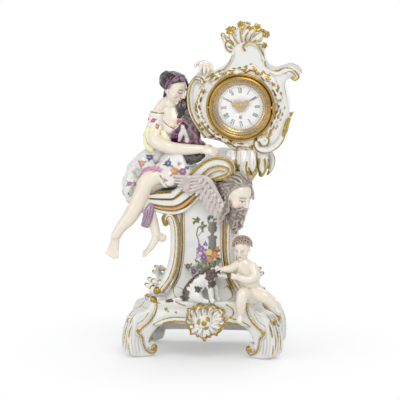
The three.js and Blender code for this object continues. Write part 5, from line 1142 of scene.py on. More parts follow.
def make_bracket(settings):
    """Drooping leaves under the case, each a ribbed flat limb that hangs and turns up at its tip."""
    at = lambda pts: [(DIAL[0] + x, y, DIAL[2] - 62 + z, w, t) for x, y, z, w, t in pts]
    forms = [limb(at([(8, -8, -40, 8, 9), (10, -9, -24, 16, 14), (12, -10, -8, 24, 18),
        (12, -9, 7, 26, 20)]), 34)]
    leaves = [[(-12, -24, 0, 7, 3.6), (-14, -30, -10, 8, 3.4), (-12, -31, -20, 6, 3),
        (-7, -29, -28, 3, 2.4)], [(2, -27, 0, 8, 3.6), (3, -33, -12, 9, 3.6), (5, -35, -26, 8, 3.4),
        (7, -33, -38, 4.5, 3)], [(15, -28, 0, 6, 3.4), (16, -34, -11, 6.5, 3.2),
        (17, -35, -22, 4.5, 2.8), (16, -32, -30, 2, 2)], [(26, -24, 0, 7, 4), (30, -28, -10, 8, 3.8),
        (30, -29, -22, 6.5, 3.4), (28, -27, -32, 3.4, 2.6)], [(37, -8, -2, 5, 6), (42, -9, -12, 4, 6.5),
        (41, -9, -24, 3, 5), (36, -9, -33, 1.6, 2)], [(35, 6, -2, 5, 6), (40, 6, -12, 4, 6),
        (37, 6, -26, 2.6, 4)], [(20, 12, 0, 8, 4), (20, 15, -14, 7, 3.6), (18, 12, -30, 3, 2.4)],
        [(2, 12, 0, 8, 4), (2, 14, -14, 7, 3.6), (4, 11, -32, 3, 2.4)]]
    forms += [leaf(at(f), 4, 32) for f in leaves]
    obj = melt("case_bracket_glazed", forms, 0.7, 2)
    paint = Painter(obj, settings.white)
    p = paint.p
    # Painted shade in the hollows between the leaves.
    paint.pool(10, 0.15, 0.8, 0.6, (0.52, 0.47, 0.40))
    for k, f in enumerate(leaves):
        q = np.array([(DIAL[0] + s[0], s[1], DIAL[2] - 62 + s[2]) for s in f])
        face = -1 if f[0][1] < 0 else 1
        w = np.array([s[3] for s in f])
        t = np.array([s[4] for s in f])
        for side in (-1, 1):
            line = q + np.stack([side * w * 0.92, face * t * 0.2, -0.12 * w], -1)
            low = ease(q[:, 2].mean() - p[:, 2], 0, 12)
            paint.gild(paint.near(line, 40) - 1.1 - 1.8 * low + 0.4 * ripple(p, 6, k))
        paint.gild(np.linalg.norm(p - q[-1], axis=1) - 5.2)
    # Fine grey lines on the upper part: painted shade standing for fine ribs.
    for k in range(11):
        x0 = 38 + 4.4 * k
        line = [(x0, 281), (x0 + 1.5 * math.sin(k), 272), (x0 + 0.6 * math.sin(2 * k), 262)]
        paint.tint(ease(-paint.flat(line), -0.8, -0.2) * 0.5, (0.55, 0.50, 0.44))
    for line, half in (([(49, 264), (50, 250), (55, 241.5), (64, 241), (70, 247), (73, 258)], 1.7),
            ([(60, 268), (60, 257), (63, 250)], 1.4), ([(77, 272), (75.5, 262), (78, 253), (83, 251),
            (85.5, 262), (84, 272)], 1.7), ([(43, 270), (46, 258), (42, 250)], 1.1)):
        paint.gild(paint.flat(line) - half + 0.3 * ripple(p, 5, 3))
    return paint.done("white_porcelain", "case_bracket")


# Brass, glass and enamel


def make_bezel(settings):
    """Flange, ring and glass: smooth profiles carried round the dial, over the record's own sizes."""
    hinge_x = DIAL[0] + 45.7
    flange = turned([(47, -30.3), (47, -32.2), (46.7, -33.0), (46.0, -33.5), (44.3, -33.5), (43.9, -33.2),
        (40, -33.2), (40, -28), (34.5, -28), (34.5, -21.5), (37.6, -21.5), (37.6, -18.6), (41.3, -18.6),
        (41.3, -30.3)], DIAL, 200)
    knuckle = [limb([(hinge_x, -37, DIAL[2] + a, 2.5, 2.5), (hinge_x, -37, DIAL[2] + b, 2.5, 2.5)], 24,
        0.5, facing=(0, 1, 0)) for a, b in ((-6.2, -3.6), (3.6, 6.2))]
    place(raw("bezel_flange_brass", [flange] + knuckle), "polished brass", "case_brass", "bezel_flange")
    ring = turned([(42.6, -33.8), (42.7, -36.4), (42.6, -37.2), (42.3, -37.6), (42.4, -38.2),
        (42.2, -38.8), (41.8, -39.3), (41.0, -39.8), (40, -40), (39, -39.8), (38.2, -39.3),
        (37.8, -38.6), (37.6, -37.6), (37.4, -36.6), (36.2, -35.9), (35.4, -35.4), (34.8, -34.6),
        (34.6, -33.8), (33.6, -33.2), (32.2, -32.6), (31.3, -31.9), (31, -31.5), (31, -30.8),
        (36, -30.8), (39, -33.8)], DIAL, 220)
    catch = [oval((DIAL[0] - 44.1, -35.8, DIAL[2]), (2.4, 1.7, 2.2), rings=16),
        limb([(DIAL[0] - 41.5, -38.5, DIAL[2], 1.5, 1.2), (DIAL[0] - 44.5, -37.4, DIAL[2], 1.1, 1.1)],
        14, 0.5)]
    arm = [limb([(DIAL[0] + 41.5, -37, DIAL[2], 2.4, 1.8), (DIAL[0] + 44.6, -37, DIAL[2], 2.3, 1.6)], 20,
        0.5, facing=(0, 1, 0)), limb([(hinge_x, -37, DIAL[2] - 2.4, 2.5, 2.5),
        (hinge_x, -37, DIAL[2] + 2.4, 2.5, 2.5)], 24, 0.5, facing=(0, 1, 0))]
    place(raw("bezel_ring_brass", [ring] + catch + arm), "polished brass", "case_brass", "bezel_ring",
        body="bezel")
    glass = turned([(37.9, -38.2), (37.4, -38.5), (30, -38.9), (18, -39.2), (8, -39.35), (0.01, -39.4),
        (0.01, -38.6), (8, -38.5), (18, -38.4), (30, -38.1), (37.9, -37.5)], DIAL, 160)
    place(raw("bezel_glass_domed", [glass]), "bezel glass", "bezel_glass", "bezel_glass", body="bezel")


NUMERALS = ["XII", "I", "II", "III", "IIII", "V", "VI", "VII", "VIII", "IX", "X", "XI"]


def stroke(a, b, width, origin, turn, lift=0.1):
    """Thin raised bar between two places of a figure that stands at an origin and is turned about Y."""
    a, b = np.asarray(a, float), np.asarray(b, float)
    along = unit(b - a)
    side = np.array([-along[1], along[0]]) * width / 2
    corners = np.array([a - side, b - side, b + side, a + side])
    spin = np.array([[math.cos(turn), -math.sin(turn)], [math.sin(turn), math.cos(turn)]])
    corners = corners @ spin.T + origin
    near, far = -30.3 - lift, -30.2
    v = np.array([(x, y, z) for y in (near, far) for x, z in corners])
    quads = np.array([[0, 1, 2, 3], [7, 6, 5, 4], [0, 4, 5, 1], [1, 5, 6, 2], [2, 6, 7, 3], [3, 7, 4, 0]])
    return outward(v, quads, np.zeros((0, 3), int))


def numeral(text, middle, turn, height):
    """Roman figure of thick and thin strokes with small feet, set upright towards the dial's middle."""
    widths = {"I": 1.25, "V": 2.9, "X": 2.9}
    total = sum(widths[c] for c in text)
    x, out, h = -total / 2, [], height / 2
    for c in text:
        w = widths[c]
        if c == "I":
            out.append(stroke((x + w / 2, -h), (x + w / 2, h), 0.75, middle, turn))
        if c == "V":
            out.append(stroke((x + 0.35, h), (x + w / 2, -h), 0.8, middle, turn))
            out.append(stroke((x + w - 0.35, h), (x + w / 2, -h), 0.34, middle, turn))
        if c == "X":
            out.append(stroke((x + 0.35, h), (x + w - 0.35, -h), 0.8, middle, turn))
            out.append(stroke((x + w - 0.35, h), (x + 0.35, -h), 0.34, middle, turn))
        x += w
    for end in (-h, h):
        out.append(stroke((-total / 2, end), (total / 2, end), 0.3, middle, turn))
    return out


def make_dial(settings):
    """Domed enamel disc with its figures, minute marks and winding hole."""
    lean = math.radians(2.3)
    disc = turned([(39.3, -28.4), (39.3, -30.0), (38.8, -30.25), (20, -30.3), (3.4, -30.3), (3.4, -28.4)],
        DIAL, 160)
    obj = raw("dial_enamelled", [disc])
    hole = turned([(2.0, -33), (2.0, -26), (0.01, -26), (0.01, -33)], DIAL + np.array([0, 0, -14]), 48)
    cut(obj, raw("winding_hole", [hole]))
    place(obj, "dial enamel", "dial_enamel", "dial")
    ringlet = turned([(2.0, -30.3), (2.2, -30.4), (2.4, -30.3), (2.3, -30.2), (2.0, -29.6)],
        DIAL + np.array([0, 0, -14]), 48)
    place(raw("winding_hole_rim", [ringlet]), "polished brass", "case_brass")
    marks = []
    for k in range(12):
        a = math.radians(90 - 30 * k) + lean
        middle = DIAL[[0, 2]] + 22.9 * np.array([math.cos(a), math.sin(a)])
        marks += numeral(NUMERALS[k], middle, a - math.pi / 2, 6.6)
    for k in range(60):
        a = math.radians(90 - 6 * k) + lean
        out = np.array([math.cos(a), math.sin(a)])
        inner, width = (27.6, 0.5) if k % 5 == 0 else (28.4, 0.24)
        marks.append(stroke(out * inner, out * 29.9, width, DIAL[[0, 2]], 0.0))
    for radius in (27.4, 30.0):
        marks.append(turned([(radius, -30.3), (radius, -30.4), (radius + 0.22, -30.4),
            (radius + 0.22, -30.3)], DIAL, 160))
    place(raw("dial_figures", marks), "fired black", "dial_enamel")


def pointer_forms(length, width, depth, angle, thick=0.8):
    """Pierced hand: a boss, an openwork lobe and a leaf on a stem, as tapering flat limbs in its plane."""
    a = math.radians(angle)
    across, ahead = np.array([math.cos(a), -math.sin(a)]), np.array([math.sin(a), math.cos(a)])

    def part(points):
        out = []
        for u, v, w in points:
            q = DIAL[[0, 2]] + across * u + ahead * v
            out.append((q[0], depth + thick / 2, q[1], w, thick / 2))
        return limb(out, 12, 0.35)

    loop = [(0, 0.22), (-0.8, 0.28), (-0.95, 0.38), (-0.5, 0.47), (0, 0.52), (0.5, 0.47), (0.95, 0.38),
        (0.8, 0.28), (0, 0.22)]
    gold = [part([(u * width, v * length, 0.95) for u, v in loop]),
        part([(0, 2.6, 1.6), (0, 0.3 * length, 1.1), (0, 0.52 * length, 0.8)]),
        part([(0, 0.50 * length, 1.5), (0, 0.62 * length, 1.0)]),
        part([(-width * 0.95, 0.36 * length, 0.8), (-width * 1.3, 0.44 * length, 0.6),
        (-width * 1.0, 0.50 * length, 0.4)]), part([(width * 0.95, 0.36 * length, 0.8),
        (width * 1.3, 0.44 * length, 0.6), (width * 1.0, 0.50 * length, 0.4)])]
    ring = turned([(2.1, depth), (4.9, depth), (5.2, depth + 0.2), (5.2, depth + thick),
        (2.1, depth + thick)], DIAL, 60)
    tip = part([(0, 0.62 * length, 0.75), (0, 0.8 * length, 0.62), (0, 0.97 * length, 0.3)])
    return gold + [ring], [tip]


def make_hands(settings):
    """Hour and minute hand over the record's own, which lie in the same planes."""
    for name, body, length, width, depth, angle in (("hour_hand", "hour", 21.6, 3.1, -32.5, -60.5),
            ("minute_hand", "minute", 26.6, 2.4, -34.5, 54)):
        gold, tip = pointer_forms(length, width, depth, angle)
        place(raw(name + "_gilt", gold), "gilt hand metal", "gilt_brass", name, body=body)
        place(raw(name + "_tip", tip), "fired black", "gilt_brass", body=body)
    cap = oval((DIAL[0], -35.6, DIAL[2]), (2.0, 0.6, 2.0), rings=16)
    place(raw("hand_collet", [cap]), "gilt hand metal", "gilt_brass", body="minute")


def make_rear(settings):
    """Rear ring and door: smooth profiles carried round the same line."""
    hinge_x, hinge_y = DIAL[0] - 46, 30.2
    ring = turned([(47, 24.3), (47, 26.2), (46.4, 26.9), (37, 26.9), (37, 19.3), (41.3, 19.3),
        (41.3, 24.3)], DIAL, 180)
    ears = [limb([(hinge_x, hinge_y, DIAL[2] + a, 2.5, 2.5), (hinge_x, hinge_y, DIAL[2] + b, 2.5, 2.5)],
        22, 0.5, facing=(0, 1, 0)) for a, b in ((-6.2, -3.6), (3.6, 6.2))]
    place(raw("back_ring_brass", [ring] + ears), "polished brass", "case_brass", "back_ring")
    lid = turned([(0.01, 27.2), (40, 27.2), (40, 28.6), (39.4, 28.9), (36, 29.1), (34, 29.9), (32, 30.1),
        (29, 30.3), (27, 31.0), (14, 30.9), (12, 30.5), (0.01, 30.4)], DIAL, 180)
    arm = [limb([(hinge_x, hinge_y, DIAL[2] - 2.4, 2.5, 2.5), (hinge_x, hinge_y, DIAL[2] + 2.4, 2.5,
        2.5)], 22, 0.5, facing=(0, 1, 0)), limb([(hinge_x + 1, 28.4, DIAL[2], 2.4, 0.8),
        (hinge_x + 10, 28.4, DIAL[2], 2.4, 0.8)], 16, 0.6, facing=(0, 1, 0)),
        oval((DIAL[0] + 34, 30.6, DIAL[2]), (2.4, 1.6, 2.4), rings=14)]
    place(raw("back_door_brass", [lid] + arm), "polished brass", "case_brass", "back_door",
        body="rear_door")

# Figures


def axes_of(forward, up=(0, 0, 1)):
    """Right, forward and up of a part that faces a way."""
    f = unit(forward)
    r = unit(np.cross(f, up))
    return np.stack([r, f, np.cross(r, f)])


class Head:
    """Frame of a head two units high: its middle, its unit in millimetres and its three axes."""

    def __init__(self, centre, forward, s, up=(0, 0, 1)):
        self.centre, self.axes, self.s = np.array(centre, float), axes_of(forward, up), s

    def at(self, p):
        return np.asarray(p, float) @ self.axes * self.s + self.centre

    def ball(self, p, radii, rings=20):
        return oval(self.at(p), np.array(radii) * self.s, self.axes, rings)

    def tube(self, points, radius, thick=None):
        stations = [(*self.at(p), radius * self.s, (thick or radius) * self.s) for p in points]
        return limb(stations, 12, 0.3, facing=self.axes[1])

    def over(self, start, end, radii, lift=0.0, flare=0.0, count=9):
        """Path over an egg round the skull, from one place to another, that rises as sin and t^2."""
        t = np.linspace(0, 1, count)[:, None]
        mid = np.array([0, -0.14, 0.28])
        q = np.array(start) * (1 - t) + np.array(end) * t - mid
        q = q / np.linalg.norm(q / np.array(radii), axis=1)[:, None]
        return self.at(q * (1 + lift * np.sin(np.pi * t) + flare * t * t) + mid)


def head_forms(head, full=1.0):
    """Skull, jaw, cheeks, brow, nose, lips, lidded eyes and ears, as ovals and limbs on plain
    proportions; full widens the cheeks."""
    ball, tube = head.ball, head.tube
    forms = [ball((0, -0.12, 0.28), (0.70, 0.86, 0.72), 26), ball((0, 0.12, -0.02), (0.60, 0.68, 0.74),
        26), ball((0, 0.18, -0.40), (0.50 * full, 0.54, 0.50), 22),
        ball((0, 0.56, -0.79), (0.19, 0.17, 0.15)), tube([(-0.42, 0.60, 0.17), (-0.2, 0.74, 0.17),
        (0, 0.74, 0.13), (0.2, 0.74, 0.17), (0.42, 0.60, 0.17)], 0.075),
        tube([(0, 0.70, 0.18), (0, 0.80, 0.02), (0, 0.90, -0.14), (0, 0.95, -0.23)], 0.085),
        ball((0, 0.92, -0.25), (0.10, 0.10, 0.085), 14), tube([(-0.20, 0.66, -0.47),
        (-0.07, 0.76, -0.445), (0, 0.765, -0.46), (0.07, 0.76, -0.445), (0.20, 0.66, -0.47)], 0.048),
        tube([(-0.15, 0.66, -0.55), (0, 0.745, -0.565), (0.15, 0.66, -0.55)], 0.055)]
    for k in (-1, 1):
        forms += [ball((k * 0.35, 0.38, -0.26), (0.25 * full, 0.24 * full, 0.27)),
                  ball((k * 0.10, 0.83, -0.28), (0.075, 0.08, 0.06), 12),
                  ball((k * 0.26, 0.56, 0.01), (0.14, 0.12, 0.105), 16),
                  ball((k * 0.66, -0.05, -0.06), (0.09, 0.16, 0.24), 14),
                  tube([(k * 0.42, 0.53, -0.01), (k * 0.33, 0.66, 0.065), (k * 0.22, 0.69, 0.075),
                        (k * 0.11, 0.64, 0.0)], 0.032),
                  tube([(k * 0.41, 0.53, -0.02), (k * 0.30, 0.655, -0.075), (k * 0.20, 0.67, -0.075),
                        (k * 0.11, 0.63, -0.01)], 0.024)]
    return forms


def face_paint(paint, head, brow, iris, lids=0.0):
    """Brows, eye whites and irises, lid lines, lips, and a blush on the cheeks; lids lowers the lids."""
    x, y, z = ((paint.p - head.centre) @ head.axes.T / head.s).T
    fore = ease(y, 0.25, 0.4)
    for side in (-1, 1):
        u = x * side
        cheek = ease(1 - ((u - 0.36) / 0.26) ** 2 - ((z + 0.26) / 0.22) ** 2, 0, 1)
        paint.tint(fore * cheek * 0.3, (0.93, 0.64, 0.57))
        eye = ease(1 - ((u - 0.26) / 0.135) ** 2 - ((z + 0.005) / 0.062) ** 2, 0, 0.25)
        eye = eye * ease(0.06 - 0.07 * lids - z, 0, 0.02)
        paint.tint(fore * eye, (0.95, 0.95, 0.93))
        d = np.hypot(x - side * 0.26 - 0.02, z + 0.005 + 0.03 * lids)
        paint.tint(fore * eye * ease(-d, -0.07, -0.05), iris)
        lid = np.abs(z - 0.06 + 0.07 * lids + 1.6 * (1 - 1.3 * lids) * (u - 0.26) ** 2)
        lid = lid + 0.4 * np.clip(np.abs(u - 0.26) - 0.15, 0, 9)
        paint.tint(fore * ease(-lid, -0.032, -0.014) * (np.abs(u - 0.26) < 0.18), np.array(brow) * 0.8)
        arch = np.abs(z - 0.225 + 0.9 * (u - 0.25) ** 2)
        paint.tint(fore * ease(-arch, -0.04, -0.015) * (np.abs(u - 0.28) < 0.17) * 0.85, brow)
    lip = ease(1 - (x / 0.2) ** 2 - ((z + 0.51) / 0.095) ** 2, 0, 0.4)
    paint.tint(fore * lip * 0.6, (0.80, 0.46, 0.42))
    paint.tint(fore * ease(-np.abs(z + 0.505 - 0.3 * x * x), -0.018, -0.006) * (np.abs(x) < 0.19),
               (0.54, 0.28, 0.26))
    nostril = ease(-np.hypot(np.abs(x) - 0.06, z + 0.30), -0.045, -0.02) * ease(-y, -0.95, -0.8)
    paint.tint(fore * nostril * 0.7, (0.60, 0.36, 0.30))


def strand(points, width, wave=0.0, phase=0.0, turns=1.2, thick=0.8):
    """Lock of hair on a smooth path: it swings sideways as sin(phase + 2 pi turns t) times t, swells
    near its root and thins to its end."""
    t = np.linspace(0, 1, 12)
    pts = spline(points, 12)
    ahead = unit(np.gradient(pts, axis=0))
    side = unit(np.cross(ahead, [0.35, -1, 0.25]))
    pts = pts + side * (wave * np.sin(phase + 2 * np.pi * turns * t) * np.minimum(1, 2 * t))[:, None]
    wide = width * (0.3 + 0.7 * np.sin(np.pi * (0.2 + 0.7 * t)) ** 0.7)
    return limb(np.column_stack([pts, wide, wide * thick]), 10, 0.9)


def hair_paint(paint, dark, light, seed):
    """Dark paint in the hollows between locks, light on their crests, and fine streaks."""
    depth = paint.hollow(5)
    paint.tint(ease(depth, 0.02, 0.22) * 0.9, dark)
    paint.tint(ease(-depth, 0.04, 0.2) * 0.6, light)
    paint.tint(ease(ripple(paint.p * [1, 1, 0.5], 3.5, seed), 0.2, 0.9) * 0.35, light)


def hand_forms(wrist, ahead, back, s, thumb=1, bend=0.5, spread=0.12):
    """Hand: a flat palm, four fingers of three joints that bend away from the back, and a thumb."""
    a, b = unit(ahead), unit(back)
    side = unit(np.cross(a, b)) * thumb
    b = unit(np.cross(side * thumb, a))
    wrist = np.asarray(wrist, float)
    forms = [oval(wrist + a * 0.42 * s, np.array([0.52, 0.36, 0.19]) * s, np.stack([a, side, b]), 16)]
    for k in range(4):
        p, h = wrist + a * 0.74 * s + side * (0.26 - 0.175 * k) * s, unit(a + side * spread * (1.5 - k))
        out, angle = [(*p, 0.105 * s, 0.105 * s)], 0.0
        for length, r in ((0.30, 0.095), (0.22, 0.085), (0.17, 0.065)):
            angle += bend * (0.7 + 0.12 * k)
            way = h * math.cos(angle) - b * math.sin(angle)
            p = p + way * length * s * (0.9 if k in (0, 3) else 1.0)
            out.append((*p, r * s, r * s))
        forms.append(limb(out, 10, 0.5))
    p = wrist + a * 0.22 * s + side * 0.26 * s
    q = p + unit(a * 0.8 + side * 0.9 - b * 0.3) * 0.28 * s
    tip = q + unit(a + side * 0.25 - b * 0.5) * 0.26 * s
    return forms + [limb([(*p, 0.13 * s, 0.13 * s), (*q, 0.1 * s, 0.1 * s), (*tip, 0.07 * s, 0.07 * s)],
        10, 0.5)]


def foot_forms(ankle, ahead, up, s, wide=1.0):
    """Bare foot as long as s: heel, arched instep, ball and five toes."""
    a = unit(ahead)
    side = unit(np.cross(a, up))
    u = np.cross(side, a)
    at = lambda x, y, z: np.asarray(ankle, float) + (a * x + side * y + u * z) * s
    width = lambda r: r * s * wide
    forms = [oval(at(-0.12, 0, -0.21), np.array([0.15, 0.125 * wide, 0.14]) * s, np.stack([a, side, u]),
        14), limb([(*at(-0.02, 0, 0.10), width(0.13), 0.15 * s),
        (*at(-0.09, 0, -0.12), width(0.12), 0.12 * s)], 16), limb(
        [(*at(-0.02, 0, 0.02), width(0.13), 0.15 * s), (*at(0.13, 0, -0.10), width(0.14), 0.14 * s),
        (*at(0.34, 0, -0.19), width(0.16), 0.11 * s), (*at(0.54, 0, -0.24), width(0.185), 0.075 * s),
        (*at(0.62, 0, -0.25), width(0.175), 0.06 * s)], 20, 0.8, facing=u)]
    for k in range(5):
        y = (k - 2) * 0.078 * wide
        tip = at(0.80 - 0.04 * abs(k - 1), y * 1.12, -0.27)
        forms.append(limb([(*at(0.58, y, -0.24), width(0.046), 0.05 * s),
            (*tip, width(0.044), 0.042 * s)], 10, 0.5))
    return forms


def skin_paint(paint, seed, warm=(0.93, 0.68, 0.58)):
    """Soft cloud of warmer skin, and a rosy tone in the hollows."""
    paint.tint(ease(ripple(paint.p, 16, seed), 0.1, 0.9) * 0.10, warm)
    paint.pool(8, 0.05, 0.5, 0.40, (0.84, 0.68, 0.58))


def fold(paint, lines, height, width):
    """Raises soft folds along lines in space."""
    lift = np.zeros(len(paint.p))
    for line in lines:
        d = reach(paint.p, spline(line, 24))
        lift = np.maximum(lift, height * np.exp(-(d / width) ** 2))
    paint.move(lift)


def done(paint, slot, *nodes):
    """Shades the deepest hollows a little, as glaze pools there, and puts the piece in place."""
    paint.pool(10, 0.12, 0.9, 0.35, (0.62, 0.58, 0.58))
    return paint.done(slot, *nodes)


def small(name, forms, colour, shade, seed, cell=0.5, slot="white_porcelain"):
    """Small applied ornament in one colour with a second one streaked into its hollows."""
    paint = Painter(melt(name, forms, cell, 2), colour)
    paint.tint(ease(ripple(paint.p, 3, seed), 0, 0.8) * 0.5, shade)
    # Painted shade in the hollows, in the second colour.
    paint.tint(ease(paint.hollow(4), 0.02, 0.2), shade)
    return done(paint, slot)


LADY = Head((-41.3, -12.5, 365.6), (0.80, -0.50, -0.33), 21.0)


def lady_body(settings):
    """Torso in a low dress, with a brooch."""
    forms = [limb([(-38, -6, 258, 25, 20), (-41, -6, 284, 17, 14.5), (-43, -9, 304, 20, 16.5),
        (-45, -9, 322, 23, 14.5), (-46, -7, 333, 18, 11.5), (-46.5, -6.5, 342, 10.5, 10),
        (-45, -8.5, 351, 8.6, 8.8), (-43, -10.5, 361, 8.6, 8.8)], 30),
        oval((-49, -20, 311), (10, 9, 10)), oval((-31, -21, 311), (10, 9, 10)),
        oval((-62, -9, 327), (11, 10.5, 10)), oval((-26, -4, 327), (10, 9.5, 9)),
        limb([(-46, -8, 350, 7, 7), (-55, -8, 346, 6.5, 7), (-61.5, -9, 337.5, 7, 8),
        (-65.5, -10, 329, 7, 8.5)], 20), limb([(-42, -8, 348, 6, 6), (-35, -6, 343, 6, 7),
        (-28, -4, 334, 7, 8)], 20)]
    paint = Painter(melt("lady_torso_glazed", forms, 0.75, 5), settings.flesh)
    skin_paint(paint, 1)
    x, y, z = paint.p.T
    neckline = np.interp(x, [-76, -70, -64, -57, -52, -46, -41, -36, -33, -28, -20],
                         [336, 333, 330, 323.5, 318.5, 314.5, 312.5, 316, 320, 325, 328])
    neckline = neckline + np.where(y > -6, 9 * ease(y, -6, 8), 0)
    dress = ease(neckline - z, -0.3, 0.3)
    paint.tint(dress, (0.91, 0.87, 0.86))
    paint.tint(dress * ease(ripple(paint.p, 9, 4), 0.1, 0.8) * 0.3, settings.mauve)
    paint.tint(dress * ease(x + 0.5 * (310 - z), -44, -36) * (y < 0), settings.plum)
    red = [(0.72, 0.30, 0.36), (0.46, 0.14, 0.28)]
    for cx, cz, s in ((-67, 322, 3.4), (-59, 316, 3), (-53, 306, 2.6), (-61, 304, 2.8), (-56, 296, 2.4)):
        for side in (-1, 1):
            paint.bloom([cx, 22 * side, cz], s, red, cx, 5, [0, side, 0], 2)
    paint.gild(np.abs(z - neckline + 0.3) - 0.85)
    paint.tint(ease(-np.abs(z - neckline + 2.1), -1.0, -0.4), (0.95, 0.93, 0.90))
    paint.move(dress * (0.8 + 0.5 * ripple(paint.p * [1, 1, 0.5], 7, 6)))
    done(paint, "flesh_porcelain", "lady_torso")
    small("lady_brooch", flower((-33, -25, 321), (0.2, -1, 0.1), 4.2, 6, 2), (0.74, 0.40, 0.42),
        (0.42, 0.14, 0.22), 2, 0.4)


def lady_head(settings):
    """Lowered head, hair combed up into a coil, a lock beyond the chin, a ribbon and a bow."""
    neck = limb([(-46.5, -8.5, 343, 10.5, 9.6), (-45, -9, 350, 9, 9), (-42.5, -11, 360, 8.2, 8.4)], 24)
    paint = Painter(melt("lady_head_glazed", head_forms(LADY) + [neck], 0.5, 2), settings.flesh)
    skin_paint(paint, 2)
    face_paint(paint, LADY, (0.20, 0.14, 0.13), (0.20, 0.14, 0.12), 0.8)
    done(paint, "flesh_porcelain", "lady_head")
    forms = [LADY.ball((0, -0.28, 0.30), (0.71, 0.72, 0.64), 22),
        LADY.ball((0, -0.92, 0.34), (0.30, 0.26, 0.36), 14)]
    for k in range(26):
        a = math.pi * (k / 25 * 1.24 - 0.12)
        start = (math.cos(a) * 0.74, 0.50 * math.sin(a) ** 2 - 0.05 + 0.18 * math.sin(a),
            0.20 + 0.60 * math.sin(a))
        path = LADY.over(start, (0, -0.94, 0.26), (0.76, 0.86, 0.72), 0.03 * math.sin(k * 2.1))
        forms.append(strand(path, 2.3, 0.5, k))
    for r, back in ((0.36, 0.0), (0.25, 0.15), (0.13, 0.27)):
        ring = [(*LADY.at((r * math.cos(a), -0.92 - 0.8 * back, 0.34 + r * 1.15 * math.sin(a))), 2.7, 2.4)
                for a in np.linspace(0, 6.283, 12)]
        forms.append(limb(ring, 10, 0.9))
    for k in range(3):
        forms.append(strand([(-26, -4 - k, 378), (-23.6, -4 - k, 369), (-23.4, -6 - k, 360),
            (-24.5, -10 - k, 352)], 1.7, 0.4, k))
    for k in range(6):
        forms.append(strand([(-24 - 0.4 * k, -10 - k, 353), (-25.5 - 1.1 * k, -17, 346),
            (-27.5 - 1.5 * k, -20.5, 338), (-35 + 1.5 * k, -21, 326 + k)], 2.9, 1.3, 2 * k, 1.4))
    for k in range(3):
        forms.append(strand([(-52 - k, -6, 363), (-54.5 - 0.6 * k, -8, 356), (-56 + k, -8, 349 + k)], 1.7,
            0.8, k))
    paint = Painter(melt("lady_hair", forms, 0.6, 1), settings.dark_hair)
    hair_paint(paint, (0.05, 0.04, 0.05), (0.30, 0.22, 0.22), 5)
    done(paint, "flesh_porcelain")
    forms = []
    for lag, r in ((0.0, 2.2), (-0.24, 1.7)):
        forms.append(limb([(*LADY.at((0.80 * math.cos(a), 0.10 + lag + 0.10 * math.sin(a),
            0.20 + 0.80 * math.sin(a))), r, 1.1) for a in np.linspace(-0.1, math.pi + 0.1, 15)], 14, 0.7,
            facing=LADY.axes[1]))
    forms += flower(LADY.at((0.16, 0.50, 0.88)), LADY.axes[2] + LADY.axes[1] * 0.5, 4.8, 5, 3)
    small("lady_hair_band", forms, (0.60, 0.40, 0.56), (0.36, 0.16, 0.32), 7, 0.45)


def lady_arms(settings):
    """Near arm laid along the lap to the scroll, its sleeve, and far arm round behind the case."""
    forms = [limb([(-64, -14, 329, 10.4, 10.2), (-67, -21, 312, 10.4, 10.2),
        (-64.5, -30, 296, 10.2, 10.2), (-54, -36.5, 290, 9.2, 9.2), (-40, -39, 286.5, 8.6, 8.4),
        (-24, -40.5, 285.5, 7.8, 7.6), (-8, -41.5, 286, 6.4, 6), (0, -42, 286.5, 5.4, 4.6)], 26, 1.0)]
    forms += hand_forms((-1, -42.5, 286.5), (1, -0.1, -0.16), (0.15, -0.8, 0.6), 18.5, -1, 0.42)
    paint = Painter(melt("lady_right_arm_glazed", forms, 0.6, 3), settings.flesh)
    skin_paint(paint, 3)
    x, y, z = paint.p.T
    cap = ease(z + 0.25 * (y + 20), 306, 307) * ease(333 - z - 0.1 * (x + 66), 0, 0.8)
    paint.tint(cap, (0.91, 0.87, 0.86))
    for c, s in (((-70, -30, 323), 3.4), ((-64, -32, 315), 3.0), ((-75, -26, 313), 2.8),
            ((-76, -18, 324), 3), ((-72, 0, 318), 3.4)):
        paint.bloom(c, s, [(0.74, 0.34, 0.40), (0.50, 0.16, 0.30)], c[2], 5,
            [-0.5, -1 if c[1] < -8 else 1, 0.1], 2)
    paint.gild(np.abs(333 - z - 0.1 * (x + 66)) - 0.8)
    paint.move(cap * (0.9 + 0.5 * ripple(paint.p, 6, 33)))
    done(paint, "flesh_porcelain", "lady_right_arm")

    ruffle = lambda t, a: 1 + 0.10 * np.cos(8 * a + 4 * t)
    forms = [limb([(-67, -20.5, 311, 12, 11.6), (-66.5, -24, 304, 13, 12.4), (-65, -26, 298, 12.5, 10)],
        30, ridge=ruffle), limb([(-78, -18, 306, 4, 5), (-78.5, -21, 297, 5.5, 6),
        (-76, -24, 288, 5.5, 5), (-70, -28, 281.5, 4, 3.6)], 18, ridge=ruffle),
        limb([(-55, -29, 306, 4.5, 5), (-51, -31, 299, 5.5, 4.4), (-47.5, -32, 294, 4, 3)], 18,
        ridge=ruffle)]
    sleeve = Painter(melt("lady_sleeve", forms, 0.7, 3), settings.yellow)
    sleeve.move(0.5 * ripple(sleeve.p * [1, 1, 0.4], 7, 12))
    sleeve.tint(0.45 + 0.3 * ease(ripple(sleeve.p, 12, 13), 0.1, 0.9), (0.95, 0.94, 0.84))
    # Painted shade in the hollows of the ruffle.
    sleeve.pool(8, 0.02, 0.4, 0.9, (0.70, 0.66, 0.36))
    done(sleeve, "white_porcelain")

    forms = [limb([(-24, 0, 330, 9, 9), (-16, 14, 333, 8, 8), (-8, 28, 345, 7, 7),
        (-4, 32, 368, 6.2, 6.2), (-3, 21, 389, 5.8, 5.8), (-3, 5, 398, 5.8, 5)], 24, 1.0,
        facing=(1, 0, 0))]
    forms += hand_forms((-3, -1, 399), (0.27, -0.95, 0.06), (0.05, 0.12, 1), 25.5, 1, 0.66, 0.16)
    paint = Painter(melt("lady_left_arm_glazed", forms, 0.6, 3), settings.flesh)
    skin_paint(paint, 4)
    paint.gild(paint.near([(-10, 1, 398), (-3, 1, 405), (4, 1, 399)], 20) - 1.4)
    done(paint, "flesh_porcelain", "lady_left_arm")


